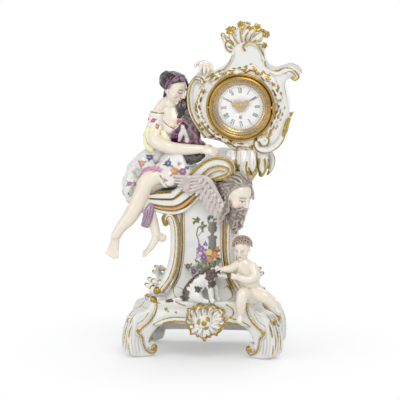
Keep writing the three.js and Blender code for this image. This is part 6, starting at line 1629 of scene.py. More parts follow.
def lady_legs(settings):
    """Bare legs and feet; the near one hangs free and the far one shows below the band."""
    near = [(-52, -34, 249, 13, 13), (-66, -45, 248, 12.5, 12.5), (-76, -47.5, 240, 11.8, 12),
        (-83, -47, 224, 10.8, 11), (-91, -46.5, 206, 11, 11.2), (-101, -47, 189.5, 10, 10),
        (-111, -48.5, 178, 7.8, 8), (-118, -50, 167, 6.8, 7)]
    far = [(-40, -30, 244, 12, 12), (-62, -32, 240, 12, 12), (-79, -36, 226, 10.5, 10.5),
        (-77, -40, 210, 9.5, 10), (-72, -43, 195, 8.8, 9.2), (-66.5, -45, 180, 7.2, 7.6),
        (-63, -46, 168, 6.2, 6.6)]
    feet = {"lady_right_leg": (near, ((-119, -50.5, 165), (-0.24, -0.40, -0.88), (-0.15, -0.9, 0.4), 35,
        1.35)), "lady_left_leg": (far, ((-63, -46, 167), (-0.76, -0.30, -0.58), (-0.5, -0.25, 0.82), 40,
        1.0))}
    for name, (stations, foot) in feet.items():
        paint = Painter(melt(name + "_glazed", [limb(stations, 28, 1.0)] + foot_forms(*foot), 0.7, 3),
            settings.flesh)
        skin_paint(paint, 5)
        toes = np.linalg.norm(paint.p - (np.array(foot[0]) + unit(foot[1]) * foot[3] * 0.78), axis=1)
        paint.tint(ease(-toes, -10, -4) * 0.3, (0.92, 0.66, 0.56))
        done(paint, "flesh_porcelain", name)


ROSE, VIOLET = [(0.84, 0.60, 0.56), (0.60, 0.28, 0.30)], [(0.64, 0.44, 0.60), (0.40, 0.18, 0.38)]
INDIGO, AMBER = [(0.36, 0.36, 0.56), (0.14, 0.13, 0.32)], [(0.88, 0.64, 0.50), (0.66, 0.32, 0.26)]


def lady_skirt(settings):
    """Gathered skirt over the knees, painted with scattered flowers, its bow and sash end."""
    forms = [oval((-44, -7, 250), (37, 30, 25), rings=30), oval((-96, -15, 232), (13, 17, 20)),
        oval((-97, -16, 220), (11, 14, 15)), limb([(-52, -8, 274, 22, 17), (-70, -11, 269, 20, 16),
        (-83, -13, 261, 17, 15.5), (-94, -14, 250, 14, 15)], 28, facing=(0, 0, 1)),
        limb([(-52, -30, 266, 18, 9), (-40, -40, 260, 24, 9), (-27, -45, 254, 15, 8),
        (-18, -45, 252, 6, 6)], 26), limb([(-58, -38, 260, 12, 7), (-50, -50, 250, 13, 6),
        (-44, -53, 240, 9, 4)], 22), limb([(-80, -30, 264, 12, 9), (-72, -40, 256, 10, 8),
        (-66, -47, 254, 6, 5)], 22), limb([(-99, -20, 244, 9, 12), (-102.5, -23, 226, 10, 12),
        (-99, -25, 211, 6, 9)], 22), oval((-22, -22, 250), (16, 20, 13))]
    skirt = Painter(melt("lady_skirt_glazed", forms, 0.85, 6), settings.white)
    fold(skirt, [[(-44, -30, 274), (-56, -44, 262), (-58, -53, 248)],
        [(-40, -32, 272), (-40, -48, 256), (-42, -52, 240)], [(-34, -32, 268), (-24, -46, 258),
        (-16, -46, 250)], [(-62, -26, 282), (-80, -32, 272), (-98, -26, 262)],
        [(-66, -24, 278), (-90, -30, 260), (-108, -22, 248)], [(-84, -30, 250), (-100, -34, 232),
        (-104, -26, 212)], [(-88, -26, 258), (-110, -18, 238), (-107, -16, 214)],
        [(-50, 20, 272), (-70, 22, 256), (-96, 8, 240)], [(-40, 22, 266), (-30, 26, 250)],
        [(-90, 2, 256), (-106, -2, 238), (-104, -4, 214)], [(-60, 12, 284), (-86, 10, 272),
        (-100, 2, 256)], [(-50, -28, 276), (-30, -44, 266), (-16, -42, 258)]], 2.6, 3.0)
    skirt.move(0.5 * ripple(skirt.p, 13, 15))
    # Purple-grey painted shade in the folds.
    skirt.pool(14, 0.1, 0.9, 0.8, (0.66, 0.60, 0.66))
    skirt.tint(ease(ripple(skirt.p, 22, 16), 0.1, 0.9) * 0.3, (0.84, 0.82, 0.86))
    front = [((-37.5, -52, 257), 6.0, AMBER, 5), ((-26, -50, 256), 5.2, VIOLET, 6),
        ((-46.5, -50, 268), 5.0, INDIGO, 6), ((-74.5, -40, 275), 4.6, INDIGO, 5),
        ((-83, -36, 264), 5.2, ROSE, 5), ((-50, -54, 244), 2.6, ROSE, 5),
        ((-64, -38, 279), 3.0, VIOLET, 5), ((-97, -34, 266), 2.6, VIOLET, 5),
        ((-60, -42, 270), 2.2, AMBER, 5), ((-31, -50, 267), 2.4, ROSE, 5),
        ((-20, -50, 262), 2.2, INDIGO, 5), ((-91, -36, 274), 2.4, AMBER, 5)]
    for c, size, colours, petals in front:
        skirt.bloom(c, size, colours, c[0], petals, [-0.25 if c[0] < -60 else 0.05, -1, 0.3], 3)
    for c, size, colours in (((-100, -34, 236), 3.4, VIOLET), ((-107, -26, 222), 3.2, ROSE),
            ((-97, -34, 222), 2.6, INDIGO), ((-106, -6, 240), 4.2, ROSE), ((-106, 0, 224), 3.4, AMBER),
            ((-102, -4, 262), 3.8, INDIGO)):
        skirt.bloom(c, size, colours, c[2], 5, [-1, -0.6 if c[1] < -10 else 0.3, 0.1], 4)
    for c, size, colours in (((-44, 22, 262), 5.6, ROSE), ((-60, 18, 252), 4.6, INDIGO),
            ((-30, 20, 250), 4.6, VIOLET), ((-76, 12, 266), 4.4, AMBER), ((-88, 4, 248), 4.4, ROSE),
            ((-48, 18, 242), 3.6, VIOLET)):
        skirt.bloom(c, size, colours, c[2], 5, [-0.2, 1, 0.2], 3)
    skirt.gild(skirt.near([(-64, -46, 264), (-60, -54, 257), (-54, -57, 247), (-47, -57, 237),
        (-40, -52, 234)], 40) - 1.3)
    pink = skirt.near([(-64, -50, 264), (-74, -47, 260), (-86, -40, 252), (-91, -36, 246),
        (-94, -34, 238)], 40)
    skirt.tint(ease(-pink, -3.2, -1.8), (0.70, 0.50, 0.66))
    # Darker towards the bottom edge, where the skirt meets the band: painted shade.
    skirt.tint(ease(-skirt.p[:, 2], -214, -207) * 0.8, (0.56, 0.50, 0.52))
    done(skirt, "white_porcelain", "lady_skirt")
    bow = flower((-65.5, -53, 260.5), (-0.2, -1, 0.4), 5.4, 4, 5)
    bow += [limb([(-60, -52, 262, 2, 1.4), (-56, -54, 258, 2.6, 1.2)], 12),
        limb([(-70, -52, 260, 2, 1.4), (-76, -50, 255, 2.4, 1.2)], 12)]
    small("lady_bow", bow, (0.82, 0.60, 0.66), (0.62, 0.38, 0.48), 6)
    sash = limb([(-70, -44, 212, 4.4, 3.4), (-71.5, -51, 204, 6, 3), (-74, -53, 192, 6.6, 2.8),
        (-78, -54, 181, 5.4, 2.2)], 20, ridge=lambda t, a: 1 + 0.16 * np.cos(5 * a + 2 * t))
    pleats = [limb([(x + dx, y - 2.4, z, 1.3, 1.2) for x, y, z in ((-70, -45, 211), (-71.5, -52, 203),
        (-74, -54, 192), (-78, -55, 182))], 10) for dx in (-3.6, 0, 3.4)]
    small("lady_sash_end", [sash] + pleats, (0.66, 0.55, 0.63), (0.46, 0.35, 0.44), 8, 0.5)


def lady_cloak(settings):
    """Cloak gathered between the bodice and the case, with its knot and ribbon ends."""
    forms = [limb([(-30, -14, 286, 9, 8), (-20, -20, 297, 14, 9), (-18, -18, 312, 13, 8),
        (-26, -14, 322, 8, 7)], 26), limb([(-34, -24, 300, 5, 4), (-20, -31, 293, 8, 4),
        (-4, -32, 291, 6, 3.4), (2, -31, 292, 2.4, 2.2)], 20), limb(
        [(-22, -26, 310, 4, 3), (-14, -31, 302, 6, 3), (-6, -31, 294, 4, 2.6)], 16),
        limb([(-29, -27, 316, 2.4, 2), (-30, -31, 306, 3.6, 2), (-33, -32, 296, 2.4, 1.6)], 14),
        limb([(-27, -27, 316, 2, 2), (-24, -31, 306, 3, 2), (-22, -32, 297, 2, 1.6)], 14),
        # Fold under the forearm, painted dark below as shade.
        limb([(-28, -34, 274, 8, 5), (-12, -36, 273, 8, 5), (0, -35, 276, 4, 4)], 20)]
    cloak = Painter(melt("lady_cloak_glazed", forms, 0.7, 3), settings.plum)
    cloak.move(1.1 * ripple(cloak.p * [1, 1, 0.6], 8, 17))
    x, y, z = cloak.p.T
    cloak.tint(ease(z + 0.35 * (x + 20) + 3 * ripple(cloak.p, 14, 18), 301, 312) * 0.85,
        (0.54, 0.50, 0.46))
    # Painted shade in the folds, and a painted highlight on their crests.
    cloak.pool(6, 0.02, 0.3, 0.85, (0.20, 0.07, 0.13))
    cloak.tint(ease(-cloak.hollow(6), 0.05, 0.35) * 0.5, (0.62, 0.42, 0.52))
    for line in ([(-29, -30, 316), (-30, -33, 306), (-33, -34, 296)],
            [(-27, -30, 316), (-24, -33, 306), (-22, -34, 297)]):
        cloak.tint(ease(-cloak.near(line, 20), -3.8, -2.6), (0.82, 0.78, 0.78))
    edge = np.abs(cloak.near([(-34, -27, 296), (-20, -34, 289), (-4, -35, 287.5), (3, -34, 289)], 30))
    cloak.tint(ease(-edge, -2.6, -1.4) * 0.9, (0.60, 0.26, 0.42))
    # Below the forearm the cloak is painted dark grey: painted shade.
    cloak.tint(ease(-z, -283, -279), (0.36, 0.33, 0.31))
    done(cloak, "white_porcelain", "lady_cloak")
    small("lady_cloak_knot", flower((-39, -28, 303), (0, -1, 0.1), 5.2, 5, 9), (0.50, 0.28, 0.46),
        (0.26, 0.08, 0.22), 3)


def make_lady(settings):
    """Seated figure: body, head, arms, legs, skirt and cloak."""
    for part in (lady_body, lady_head, lady_arms, lady_legs, lady_skirt, lady_cloak):
        part(settings)


def make_elder(settings):
    """Bearded head: face, then hair, beard, brows and moustache of swept locks."""
    head = Head((48.5, -45, 222.5), (0.70, -0.66, -0.30), 24.5, (0.06, 0.0, 1))
    forms = head_forms(head) + [limb([(45, -38, 196, 12, 12), (44, -36, 212, 13, 13)], 24)]
    paint = Painter(melt("elder_head_glazed", forms, 0.6, 2), settings.flesh)
    skin_paint(paint, 6)
    face_paint(paint, head, (0.36, 0.30, 0.27), (0.24, 0.20, 0.18), 0.2)
    paint.tint(np.full(len(paint.p), 0.25), (0.92, 0.87, 0.82))
    done(paint, "flesh_porcelain", "elder_head")
    rng = np.random.default_rng(31)
    forms = [head.ball((0.02, -0.42, 0.32), (0.72, 0.62, 0.64), 24),
        head.ball((0.02, 0.22, -0.90), (0.44, 0.40, 0.40), 20),
        limb([(36, -43, 232, 9, 8), (29, -44, 224, 9.5, 8), (27, -45, 212, 8, 7),
        (32, -46, 200, 7, 6.5)], 20), limb([(47, -51, 204, 11, 8), (45.5, -50, 192, 10.5, 7.5),
        (45, -49, 182, 7.5, 6), (45.5, -48, 173, 3, 3)], 22)]
    for k in range(24):
        a = math.pi * (k / 23 * 1.08 - 0.04)
        start = (math.cos(a) * 0.74, 0.36 * math.sin(a) ** 2 - 0.02 + 0.14 * math.sin(a),
            0.24 + 0.66 * math.sin(a))
        end = (0.55 * math.cos(a) + 0.25, -0.75 - 0.1 * (k % 3),
            0.55 * math.sin(a) - 0.05 - 0.12 * (k % 2))
        forms.append(strand(head.over(start, end, (0.80, 0.92, 0.80), 0.05, 0.24 + 0.1 * (k % 3)), 2.9,
            1.7, 1.7 * k, 1.6))
    for k in range(16):
        y, z = rng.uniform(-50, -38), 240 - 2.4 * k
        forms.append(strand([(40 - 0.2 * k, y, z), (30 - 0.2 * k, y - 1, z - 1),
            (21 + 0.7 * k, y - 1, z - 6), (19 + 0.9 * k, y, z - 14)], 2.8, 1.6, 2.3 * k, 1.3))
    for k in range(14):
        start = head.at((0.72, -0.1 + 0.03 * k, 0.2 - 0.07 * k))
        lean = (-3 - 0.5 * k, 0, -9)
        forms.append(strand([start, start + lean, start + np.array(lean) * [1.3, 1, 2.1]], 2.7, 1.5, k,
            1.2))
    tuft = head.at((-0.72, 0.12, 0.22))
    for k in range(5):
        forms.append(strand([tuft + [0, 0, 2 * k - 3], tuft + [4, -2, 2.4 * k - 4],
            tuft + [5.5, -2, 1.6 * k - 9]], 2.0, 0.9, k, 1.0))
    for k in range(74):
        a = math.pi * (rng.uniform(-0.66, 0.66))
        low = rng.uniform(0, 1)
        start = head.at((0.54 * math.sin(a), 0.10 + 0.52 * math.cos(a), -0.42 - 0.5 * low * math.cos(a)))
        tip = np.array([45.5 + 9 * math.sin(a * 1.1) * (1 - 0.5 * low) + rng.normal() * 2.0,
            -49 - 9 * math.cos(a * 0.9) * (1 - 0.4 * low), 171 + 20 * abs(math.sin(a))
            + rng.uniform(0, 14)])
        mid = (start + tip) / 2 + head.axes[1] * 4.0 * math.cos(a) + [5 * math.sin(a) + rng.normal()
            * 1.2, 0, 0]
        forms.append(strand([start, mid, tip], 2.2, 1.9, rng.uniform(0, 6), 2.2))
    for side in (-1, 1):
        for k in range(3):
            y = 0.84 - 0.02 * k
            forms.append(strand(head.at([(side * 0.04, y, -0.37 - 0.02 * k),
                (side * 0.22, y - 0.08, -0.42 - 0.05 * k), (side * 0.40, y - 0.28, -0.62 - 0.05 * k)]),
                1.7, 0.5, k))
        for k in range(4):
            forms.append(strand(head.at([(side * (0.12 + 0.08 * k), 0.80 - 0.03 * k, 0.20),
                (side * (0.26 + 0.08 * k), 0.78 - 0.06 * k, 0.25)]), 1.0, 0.2, k))
    paint = Painter(melt("elder_hair", forms, 0.62, 1), settings.grey_hair)
    hair_paint(paint, (0.24, 0.20, 0.18), (0.80, 0.76, 0.70), 9)
    done(paint, "flesh_porcelain")


def feather(root, way, face, length, width):
    """Feather: a flat blade with a raised quill, as one curved limb."""
    way, face, root = unit(way), unit(face), np.asarray(root, float)
    pts = [root + way * length * t + face * 2.0 * math.sin(math.pi * t) * (length / 24)
        for t in (0, 0.35, 0.7, 1)]
    blade = limb([(*p, width * w, 1.2) for p, w in zip(pts, (0.55, 1.0, 0.95, 0.45))], 14, 1.2,
        facing=face)
    return [blade, limb([(*(p + face * 1.2), 0.6, 0.5) for p in pts], 6, 2.0, facing=face)]


def make_wing(settings):
    """Wing over the band: rows of overlapping feathers, long at the tip and short at the bend."""
    line = spline([(-4, -55, 247), (8, -56, 246), (14, -56, 236), (20, -56, 226), (27, -55, 214),
        (29, -54, 204)], 60)
    forms = [limb([(-30, -50, 244, 4, 3), (-8, -51, 243, 8, 4), (6, -52, 236, 10, 4.4),
        (15, -52, 222, 10, 4.2), (24, -52, 206, 6, 3.4)], 24)]
    face = np.array([0, -1, 0.12])
    for k in range(6):
        forms += feather((4 - 1.5 * k, -54.0 + 0.3 * k, 247 - 2.9 * k),
            (-1, 0.02, 0.02 + 0.035 * (2 - k)), face, 47 - 5 * k, 2.8)
    for k in range(4):
        forms += feather((6 - k, -57.4, 248 - 3.2 * k), (-1, 0.0, -0.10 - 0.1 * k), face, 20, 2.6)
    for row, count, depth, length, width in ((0, 8, -54.5, 26, 3.9), (1, 8, -57.4, 16, 3.4),
            (2, 7, -59.4, 9, 3.0)):
        for k in range(count):
            p = line[int(4 + k * (54 / count))]
            way = (-0.62 + 0.07 * k, 0, -1)
            forms += feather((p[0] + 1.5 * row - 2, depth, p[2] + 1.5 * row), way, face, length - 0.5 * k,
                width)
    forms.append(limb([(-16, -56, 249.5, 2.2, 2.2), (4, -58, 250, 3, 3), (12, -59.5, 245, 3.4, 3),
        (20, -59, 231, 3, 2.8), (30, -57, 213, 2.2, 2.2)], 14))
    paint = Painter(melt("elder_wing_glazed", forms, 0.55, 1), settings.wing)
    depth = paint.hollow(5)
    paint.tint(0.4 + 0.3 * ease(ripple(paint.p, 9, 23), 0.0, 0.8), (0.84, 0.80, 0.78))
    # Painted shade in the hollows between feathers, and a painted highlight on their edges.
    paint.tint(ease(depth, 0.03, 0.25) * 0.9, (0.44, 0.37, 0.36))
    paint.tint(ease(-depth, 0.05, 0.25) * 0.7, (0.94, 0.92, 0.90))
    done(paint, "white_porcelain", "elder_wing")


def make_putto(settings):
    """Seated child: body, head with curls, arms, legs and feet."""
    head = Head((56.0, -64.0, 153.5), (-0.22, -0.93, -0.28), 15.0)
    parts = {"putto_body": ([limb([(70, -58, 88, 15, 13), (67, -60, 102, 14, 12.5),
        (62, -61, 120, 13, 11), (59, -62, 131, 12, 9), (57, -62, 139, 6.5, 6.5), (56, -62.5, 145, 6, 6)],
        28), oval((71, -60, 93), (16, 14, 12)), oval((66, -69, 106), (9, 6, 8))], 0.65),
        "putto_head": (head_forms(head, 1.22), 0.45), "putto_right_arm": (
        [limb([(50, -63, 131, 6.4, 6.4), (41, -66, 126, 5.6, 5.6), (33, -67, 125.5, 4.4, 4.4)], 20)]
        + hand_forms((34, -67, 125.5), (-1, 0.05, 0.05), (0, -0.3, 1), 10.5, -1, 0.4), 0.5),
        "putto_left_arm": ([limb([(70, -64, 130, 6.4, 6.4), (74, -71, 118, 6.2, 6.2),
        (66, -77, 113, 5.6, 5.6), (54, -78, 115.5, 4.6, 4.4)], 20)]
        + hand_forms((55, -78, 115.5), (-1, 0, 0.2), (0, -1, 0.2), 10.5, 1, 0.35), 0.5),
        "putto_right_leg": ([limb([(62, -66, 92, 9.5, 9.5), (58.5, -76, 93, 8.8, 8.8),
        (56.5, -79.5, 86, 7.8, 7.6), (55.5, -79, 76, 6.4, 6.6), (55, -78, 68, 4.8, 4.8)], 22,
        facing=(1, 0, 0))] + foot_forms((55, -77.5, 67), (-0.15, -0.75, -0.55), (0, -0.4, 0.8), 17, 1.2),
        0.5), "putto_left_leg": ([limb([(76, -66, 92, 10, 10), (87, -71, 89, 9, 9),
        (95, -72, 84, 7.4, 7.2), (101, -72, 77.5, 5, 4.8)], 22)]
        + foot_forms((102, -72, 77), (0.75, -0.35, -0.45), (0.3, -0.2, 0.9), 15, 1.2), 0.5)}
    for name, (forms, cell) in parts.items():
        paint = Painter(melt(name + "_glazed", forms, cell, 3 if cell > 0.45 else 2), settings.flesh)
        skin_paint(paint, 7)
        if name == "putto_head":
            face_paint(paint, head, (0.45, 0.36, 0.28), (0.26, 0.20, 0.16))
            paint.tint(np.full(len(paint.p), 0.3), settings.flesh)
        if name == "putto_body":
            paint.tint(ease(-np.linalg.norm(paint.p - [67, -74, 101], axis=1), -1.4, -0.8),
                (0.70, 0.42, 0.36))
        done(paint, "flesh_porcelain", name)
    rng = np.random.default_rng(41)
    forms = [head.ball((0, -0.26, 0.36), (0.72, 0.74, 0.66), 22)]
    for k in range(70):
        a, b = 2.4 * k, math.asin(-0.1 + 1.08 * (k + 0.5) / 70)
        d = np.array([math.cos(a) * math.cos(b), math.sin(a) * math.cos(b), math.sin(b)])
        if d[1] > 0.5 and d[2] < 0.6 or (d[1] > 0.3 and d[2] < 0.2):
            continue
        n = d @ head.axes
        e = unit(np.cross(n, rng.normal(size=3)))
        ring = [(*(head.at(d * [0.84, 0.84, 0.76] + [0, -0.16, 0.30])
            + (e * math.cos(t) + np.cross(n, e) * math.sin(t)) * 2.1 + n * 0.6 * t / 5), 1.25, 1.1)
            for t in np.linspace(0, 5.2, 7)]
        forms.append(limb(ring, 9, 0.8))
    paint = Painter(melt("putto_hair", forms, 0.45, 1), settings.fair_hair)
    hair_paint(paint, (0.34, 0.28, 0.24), (0.80, 0.73, 0.64), 13)
    done(paint, "flesh_porcelain")


def make_dog(settings):
    """Sitting dog: trunk, legs, head with ears and muzzle, and a tail, with a short coat."""
    leg = lambda *stations: limb(stations, 16)
    forms = [limb([(-15, -56, 88, 12.5, 10.6), (-8, -56, 99, 12, 10.6), (3, -57, 110, 10.6, 9.6),
        (13, -58, 118, 8, 8)], 24), oval((-12, -57, 87), (14, 11.6, 10)),
        oval((11, -58, 106), (9, 8.6, 10)), leg((10, -61, 106, 5.4, 5.4), (13, -63, 94, 4.2, 4.2),
        (14.5, -64, 83, 3.5, 3.5), (16.5, -66, 80, 4, 2.6)), leg((15, -53, 106, 5.4, 5.4),
        (19, -52, 94, 4, 4), (21, -52, 83, 3.4, 3.4), (23, -54, 80, 3.8, 2.6)),
        leg((-12, -63, 90, 9.5, 6.4), (-3, -66, 84, 6.4, 5.2), (4, -66, 80.5, 4, 2.8),
        (9, -67, 80, 3.4, 2.4)), leg((-12, -49, 90, 9, 6), (-2, -47, 84, 6, 5),
        (6, -47, 80.5, 3.4, 2.4)), oval((20, -59, 120.5), (8.6, 7.6, 7.8)),
        oval((20.5, -60, 124), (7, 6.6, 5.2)), leg((23, -60, 118.5, 5.6, 5.4), (30, -62, 115.5, 4.2, 4),
        (34.5, -63, 114.5, 3.4, 3.1)), oval((36.5, -63.4, 116), (1.7, 1.8, 1.4)),
        limb([(17, -66, 125, 3.6, 2), (13.5, -68.5, 118, 5, 2.1), (13, -68, 110, 3.6, 1.7)], 14),
        limb([(20, -53, 125, 3.4, 2), (17, -50.5, 118, 4.4, 2), (17, -50.5, 112, 3.2, 1.6)], 14),
        leg((-24, -57, 83, 3.8, 3.6), (-32, -60, 80.8, 3.2, 2.9), (-40, -62, 80, 2.8, 2.4),
        (-47, -62.5, 78.8, 2, 1.8))]
    paint = Painter(melt("dog_glazed", forms, 0.5, 3), settings.white)
    paint.move(0.16 * ripple(paint.p * [1.0, 1.2, 0.5], 2.6, 25))
    p = paint.p
    coat, deep = np.array(settings.coat), (0.16, 0.10, 0.09)
    jag = 1.4 * ripple(p, 6, 27) + 0.6 * ripple(p, 2.4, 28)
    patch = lambda c, r: ease(r - np.linalg.norm((p - c) / [1, 1.25, 1], axis=1) + jag, -0.8, 0.8)
    spine = [(-24, -56, 92), (-17, -56, 104), (-6, -56, 115), (5, -57, 122), (14, -58, 127)]
    spots = [ease(jag + 8.4 - paint.near(spine, 30), -0.8, 0.8), patch([-22, -60, 88], 9),
        patch([14, -67, 117], 9), patch([17, -51, 118], 8), patch([15, -62, 103], 6.5),
        patch([-47, -62, 79], 9), patch([23, -66, 122], 4.2), patch([-4, -66, 97], 4.5)]
    for amount in spots:
        paint.tint(amount * 0.95, coat)
        paint.tint(amount * ease(ripple(p, 3, 29), -0.3, 0.6) * 0.75, deep)
    # Painted shade in the hollows of the body and legs.
    paint.pool(10, 0.1, 0.7, 0.6, (0.46, 0.40, 0.38))
    paint.tint(ease(-np.hypot(p[:, 0] - 25.5, p[:, 2] - 121.5), -1.4, -0.9) * (p[:, 1] < -62),
        (0.08, 0.05, 0.05))
    paint.tint(ease(-np.linalg.norm(p - [37, -63.6, 116], axis=1), -2.6, -2.0), (0.12, 0.09, 0.09))
    mouth = np.abs(p[:, 2] - 113.4 + 0.2 * (p[:, 0] - 30))
    paint.tint(ease(-mouth, -0.5, -0.2) * (p[:, 0] > 27), (0.40, 0.26, 0.24))
    paint.tint(ease(ripple(p, 8, 30), 0.3, 0.9) * 0.15, (0.70, 0.64, 0.60))
    done(paint, "white_porcelain", "dog")


# Stage


def make_stage(settings):
    """Pale floor, white surroundings, three soft lamps and the camera at the viewing angle."""
    floor = Finish("stage floor")
    dust = floor.grain(30, 2)
    ground = floor.node("ShaderNodeBsdfPrincipled", {}, {"Base Color": floor.blend(dust,
        tone((0.95, 0.95, 0.955)), tone((0.97, 0.97, 0.975))), "Roughness": 0.9})
    seen = floor.node("ShaderNodeLightPath", output="Is Camera Ray")
    mirrored = floor.node("ShaderNodeLightPath", output="Is Glossy Ray")
    where = floor.node("ShaderNodeTexCoord", output="Object")
    far = floor.span(floor.node("ShaderNodeVectorMath", {"operation": "LENGTH"}, {0: where}, output=1),
        0.07, 0.34, 0.3)
    white = floor.node("ShaderNodeEmission", {}, {"Color": (1.0, 1.0, 1.0, 1.0), "Strength": 1.0})
    mixed = floor.node("ShaderNodeMixShader", {}, {0: far * (seen + mirrored), 1: ground, 2: white})
    floor.node("ShaderNodeOutputMaterial", {}, {"Surface": mixed})
    r = np.linspace(0, 1, 24) ** 2 * 9
    turn = np.linspace(0, 2 * np.pi, 96, endpoint=False)
    v = np.stack([r[:, None] * np.cos(turn), r[:, None] * np.sin(turn), np.full((24, 96), -0.0005)], -1)
    v, quads, _ = skin(v, poles=False)
    mesh = bpy.data.meshes.new("stage_floor")
    mesh.from_pydata(v.tolist(), [], quads[:, ::-1].tolist())
    obj = bpy.data.objects.new("stage_floor", mesh)
    bpy.context.scene.collection.objects.link(obj)
    mesh.materials.append(floor.material)
    world = bpy.data.worlds.new("studio")
    bpy.context.scene.world = world
    world.use_nodes = True
    tree = world.node_tree
    tree.nodes.clear()
    paths = tree.nodes.new("ShaderNodeLightPath")
    seen = tree.nodes.new("ShaderNodeMath")
    seen.operation = "MAXIMUM"
    through = tree.nodes.new("ShaderNodeMath")
    through.operation = "MAXIMUM"
    soft, white = tree.nodes.new("ShaderNodeBackground"), tree.nodes.new("ShaderNodeBackground")
    mix, out = tree.nodes.new("ShaderNodeMixShader"), tree.nodes.new("ShaderNodeOutputWorld")
    soft.inputs["Color"].default_value = (0.93, 0.96, 1.0, 1)
    soft.inputs["Strength"].default_value = 0.36
    white.inputs["Strength"].default_value = 1.0
    white.inputs["Color"].default_value = (1, 1, 1, 1)
    tree.links.new(paths.outputs["Is Camera Ray"], seen.inputs[0])
    tree.links.new(paths.outputs["Is Transmission Ray"], seen.inputs[1])
    tree.links.new(seen.outputs[0], through.inputs[0])
    tree.links.new(through.outputs[0], mix.inputs[0])
    tree.links.new(soft.outputs[0], mix.inputs[1])
    tree.links.new(white.outputs[0], mix.inputs[2])
    tree.links.new(mix.outputs[0], out.inputs["Surface"])
    for name, spot, size, power in (("key", (0.5, -1.5, 1.8), 1.3, 18.0),
            ("fill", (-1.5, -1.2, 0.9), 1.4, 7.0), ("rim", (0.3, 1.4, 1.8), 1.2, 9.0)):
        lamp = bpy.data.lights.new(name, "AREA")
        lamp.energy, lamp.size = power, size
        lamp_obj = bpy.data.objects.new(name, lamp)
        aim = np.array([0, 0, 0.22]) - spot
        lamp_obj.location = spot
        lamp_obj.rotation_euler = mathutils.Vector(aim).to_track_quat("-Z", "Y").to_euler()
        bpy.context.scene.collection.objects.link(lamp_obj)
    camera = bpy.data.cameras.new("camera")
    camera.lens, camera.sensor_width = 36 * (4000 / 1.38) / 400, 36
    holder = bpy.data.objects.new("camera", camera)
    az, el = math.radians(5), math.radians(9)
    back = np.array([math.sin(az) * math.cos(el), -math.cos(az) * math.cos(el), math.sin(el)])
    target = (np.array([-7.0, 0, 209.5]) + SHIFT) * MM
    holder.location = target + back * 4.0
    holder.rotation_euler = mathutils.Vector(-back).to_track_quat("-Z", "Y").to_euler()
    bpy.context.scene.collection.objects.link(holder)
    bpy.context.scene.camera = holder
    bpy.context.scene.view_settings.view_transform = "Standard"


def dress_nodes(settings):
    """Finishes for the record's solids that stay: the movement, its plates and the fittings."""
    finishes = {"polished brass": ["strap_left", "strap_right"],
        "clock plate brass": ["front_plate", "back_plate", "mainspring_barrel", "centre_wheel",
        "third_wheel", "minute_wheel", "hour_wheel", "cannon_pinion"],
        "polished steel": ["barrel_arbor", "balance_wheel", "escapement_platform", "bezel_hinge_pin",
        "door_hinge_pin"],}
    for finish, names in finishes.items():
        for name in names:
            obj = bpy.data.objects[name]
            obj.data.materials.clear()
            obj.data.materials.append(bpy.data.materials[finish])


# Add-on


def colour(name, words, value):
    """Colour property with a default in screen values."""
    return bpy.props.FloatVectorProperty(name=name, description=words, subtype="COLOR_GAMMA", size=3,
        min=0, max=1, default=value)


class ClockSettings(bpy.types.PropertyGroup):
    white: colour("Porcelain", "White of the glazed body", (0.874, 0.869, 0.846))
    flesh: colour("Flesh", "Warm white of the bare skin", (0.90, 0.862, 0.795))
    gold_light: colour("Gold", "Burnished gilding", (0.80, 0.69, 0.40))
    gold_deep: colour("Thin gold", "Gilding where it is rubbed or lies in a hollow", (0.56, 0.46, 0.21))
    brass: colour("Brass", "Bezel and rear fittings", (0.76, 0.63, 0.38))
    enamel: colour("Enamel", "Dial", (0.955, 0.955, 0.945))
    mauve: colour("Mauve", "Bodice and ribbons", (0.72, 0.55, 0.64))
    yellow: colour("Yellow", "Sleeve", (0.90, 0.88, 0.64))
    plum: colour("Plum", "Cloak", (0.34, 0.16, 0.26))
    dark_hair: colour("Dark hair", "Hair of the lady", (0.11, 0.08, 0.09))
    grey_hair: colour("Grey hair", "Hair and beard of the old man", (0.47, 0.42, 0.38))
    fair_hair: colour("Fair hair", "Curls of the putto", (0.52, 0.43, 0.36))
    wing: colour("Feathers", "Wing", (0.68, 0.615, 0.59))
    coat: colour("Coat", "Patches of the dog", (0.33, 0.23, 0.18))


def on_corners(kind, make):
    """Step that makes the piece of one kind on each of the four corners."""
    def make_all(settings):
        for right in (0, 1):
            for back in (0, 1):
                name = f"{kind}_{'back' if back else 'front'}_{'right' if right else 'left'}"
                make(settings, name, right, back)

    return make_all


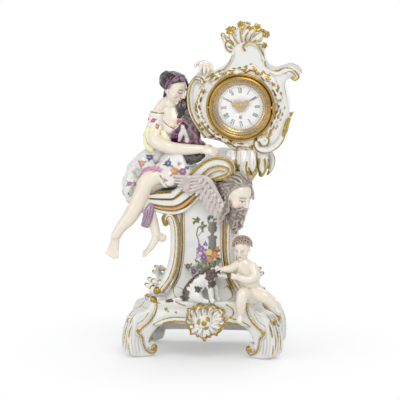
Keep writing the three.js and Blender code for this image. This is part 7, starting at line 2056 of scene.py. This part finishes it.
PIECES = [
    ("plinth", "Plinth", "Wall and roof of the plinth", make_plinth),
    ("feet", "Feet", "Four scroll feet", on_corners("foot", make_foot)),
    ("cartouche", "Cartouche", "Shell on the front apron", make_cartouche),
    ("pedestal", "Pedestal", "Shaft with its painted panels", make_pedestal),
    ("pilasters", "Pilasters", "Four C-scrolls on the shaft's corners",
     on_corners("pilaster", make_pilaster)),
    ("cornice", "Cornice", "Ribbed band on the shaft", make_cornice),
    ("console", "Console", "Roll at the end of the band", make_console),
    ("case", "Clock case", "Case with its frill and scrolls", make_case),
    ("crest", "Crest", "Fronds and flowers on the neck", make_crest),
    ("bracket", "Bracket", "Leaves under the case", make_bracket),
    ("lady", "Lady", "Seated figure with her dress", make_lady),
    ("elder", "Old man", "Bearded head", make_elder),
    ("wing", "Wing", "Wing over the band", make_wing),
    ("putto", "Putto", "Seated child", make_putto),
    ("dog", "Dog", "Sitting dog", make_dog),
    ("bezel", "Bezel", "Flange, ring and glass", make_bezel),
    ("dial", "Dial", "Enamel dial and its figures", make_dial),
    ("hands", "Hands", "Hour and minute hand", make_hands),
    ("rear", "Rear fittings", "Rear ring and door", make_rear),
    ("works", "Works", "Movement and its fittings", dress_nodes),
]


def operator_for(key, label, words, make):
    """Operator class that makes one piece or one group of like pieces."""

    def execute(self, context):
        make(context.scene.clock_settings)
        return {"FINISHED"}

    return type("CLOCK_OT_" + key, (bpy.types.Operator,),
                {"__doc__": words, "bl_idname": "clock." + key, "bl_label": label, "execute": execute})


OPERATORS = [operator_for("finishes", "Finishes", "Makes every material", make_finishes),
             operator_for("stage", "Stage", "Makes the floor, the lamps and the camera", make_stage)]
OPERATORS += [operator_for(*piece) for piece in PIECES]


class CLOCK_PT_sidebar(bpy.types.Panel):
    """Lists the clock's settings and the steps that build it"""

    bl_label = "Porcelain Figure Clock"
    bl_idname = "CLOCK_PT_sidebar"
    bl_space_type = "VIEW_3D"
    bl_region_type = "UI"
    bl_category = "Clock"

    def draw(self, context):
        for key in ClockSettings.__annotations__:
            self.layout.prop(context.scene.clock_settings, key)
        for step in OPERATORS:
            self.layout.operator(step.bl_idname)


CLASSES = [ClockSettings, *OPERATORS, CLOCK_PT_sidebar]


def register():
    for kind in CLASSES:
        bpy.utils.register_class(kind)
    bpy.types.Scene.clock_settings = bpy.props.PointerProperty(type=ClockSettings)


def unregister():
    del bpy.types.Scene.clock_settings
    for kind in reversed(CLASSES):
        bpy.utils.unregister_class(kind)


def main():
    """Registers the add-on, runs its steps in order and writes the two sizes."""
    register()
    for step in OPERATORS:
        getattr(bpy.ops.clock, step.bl_idname.split(".")[1])()


if __name__ == "__main__":
    main()
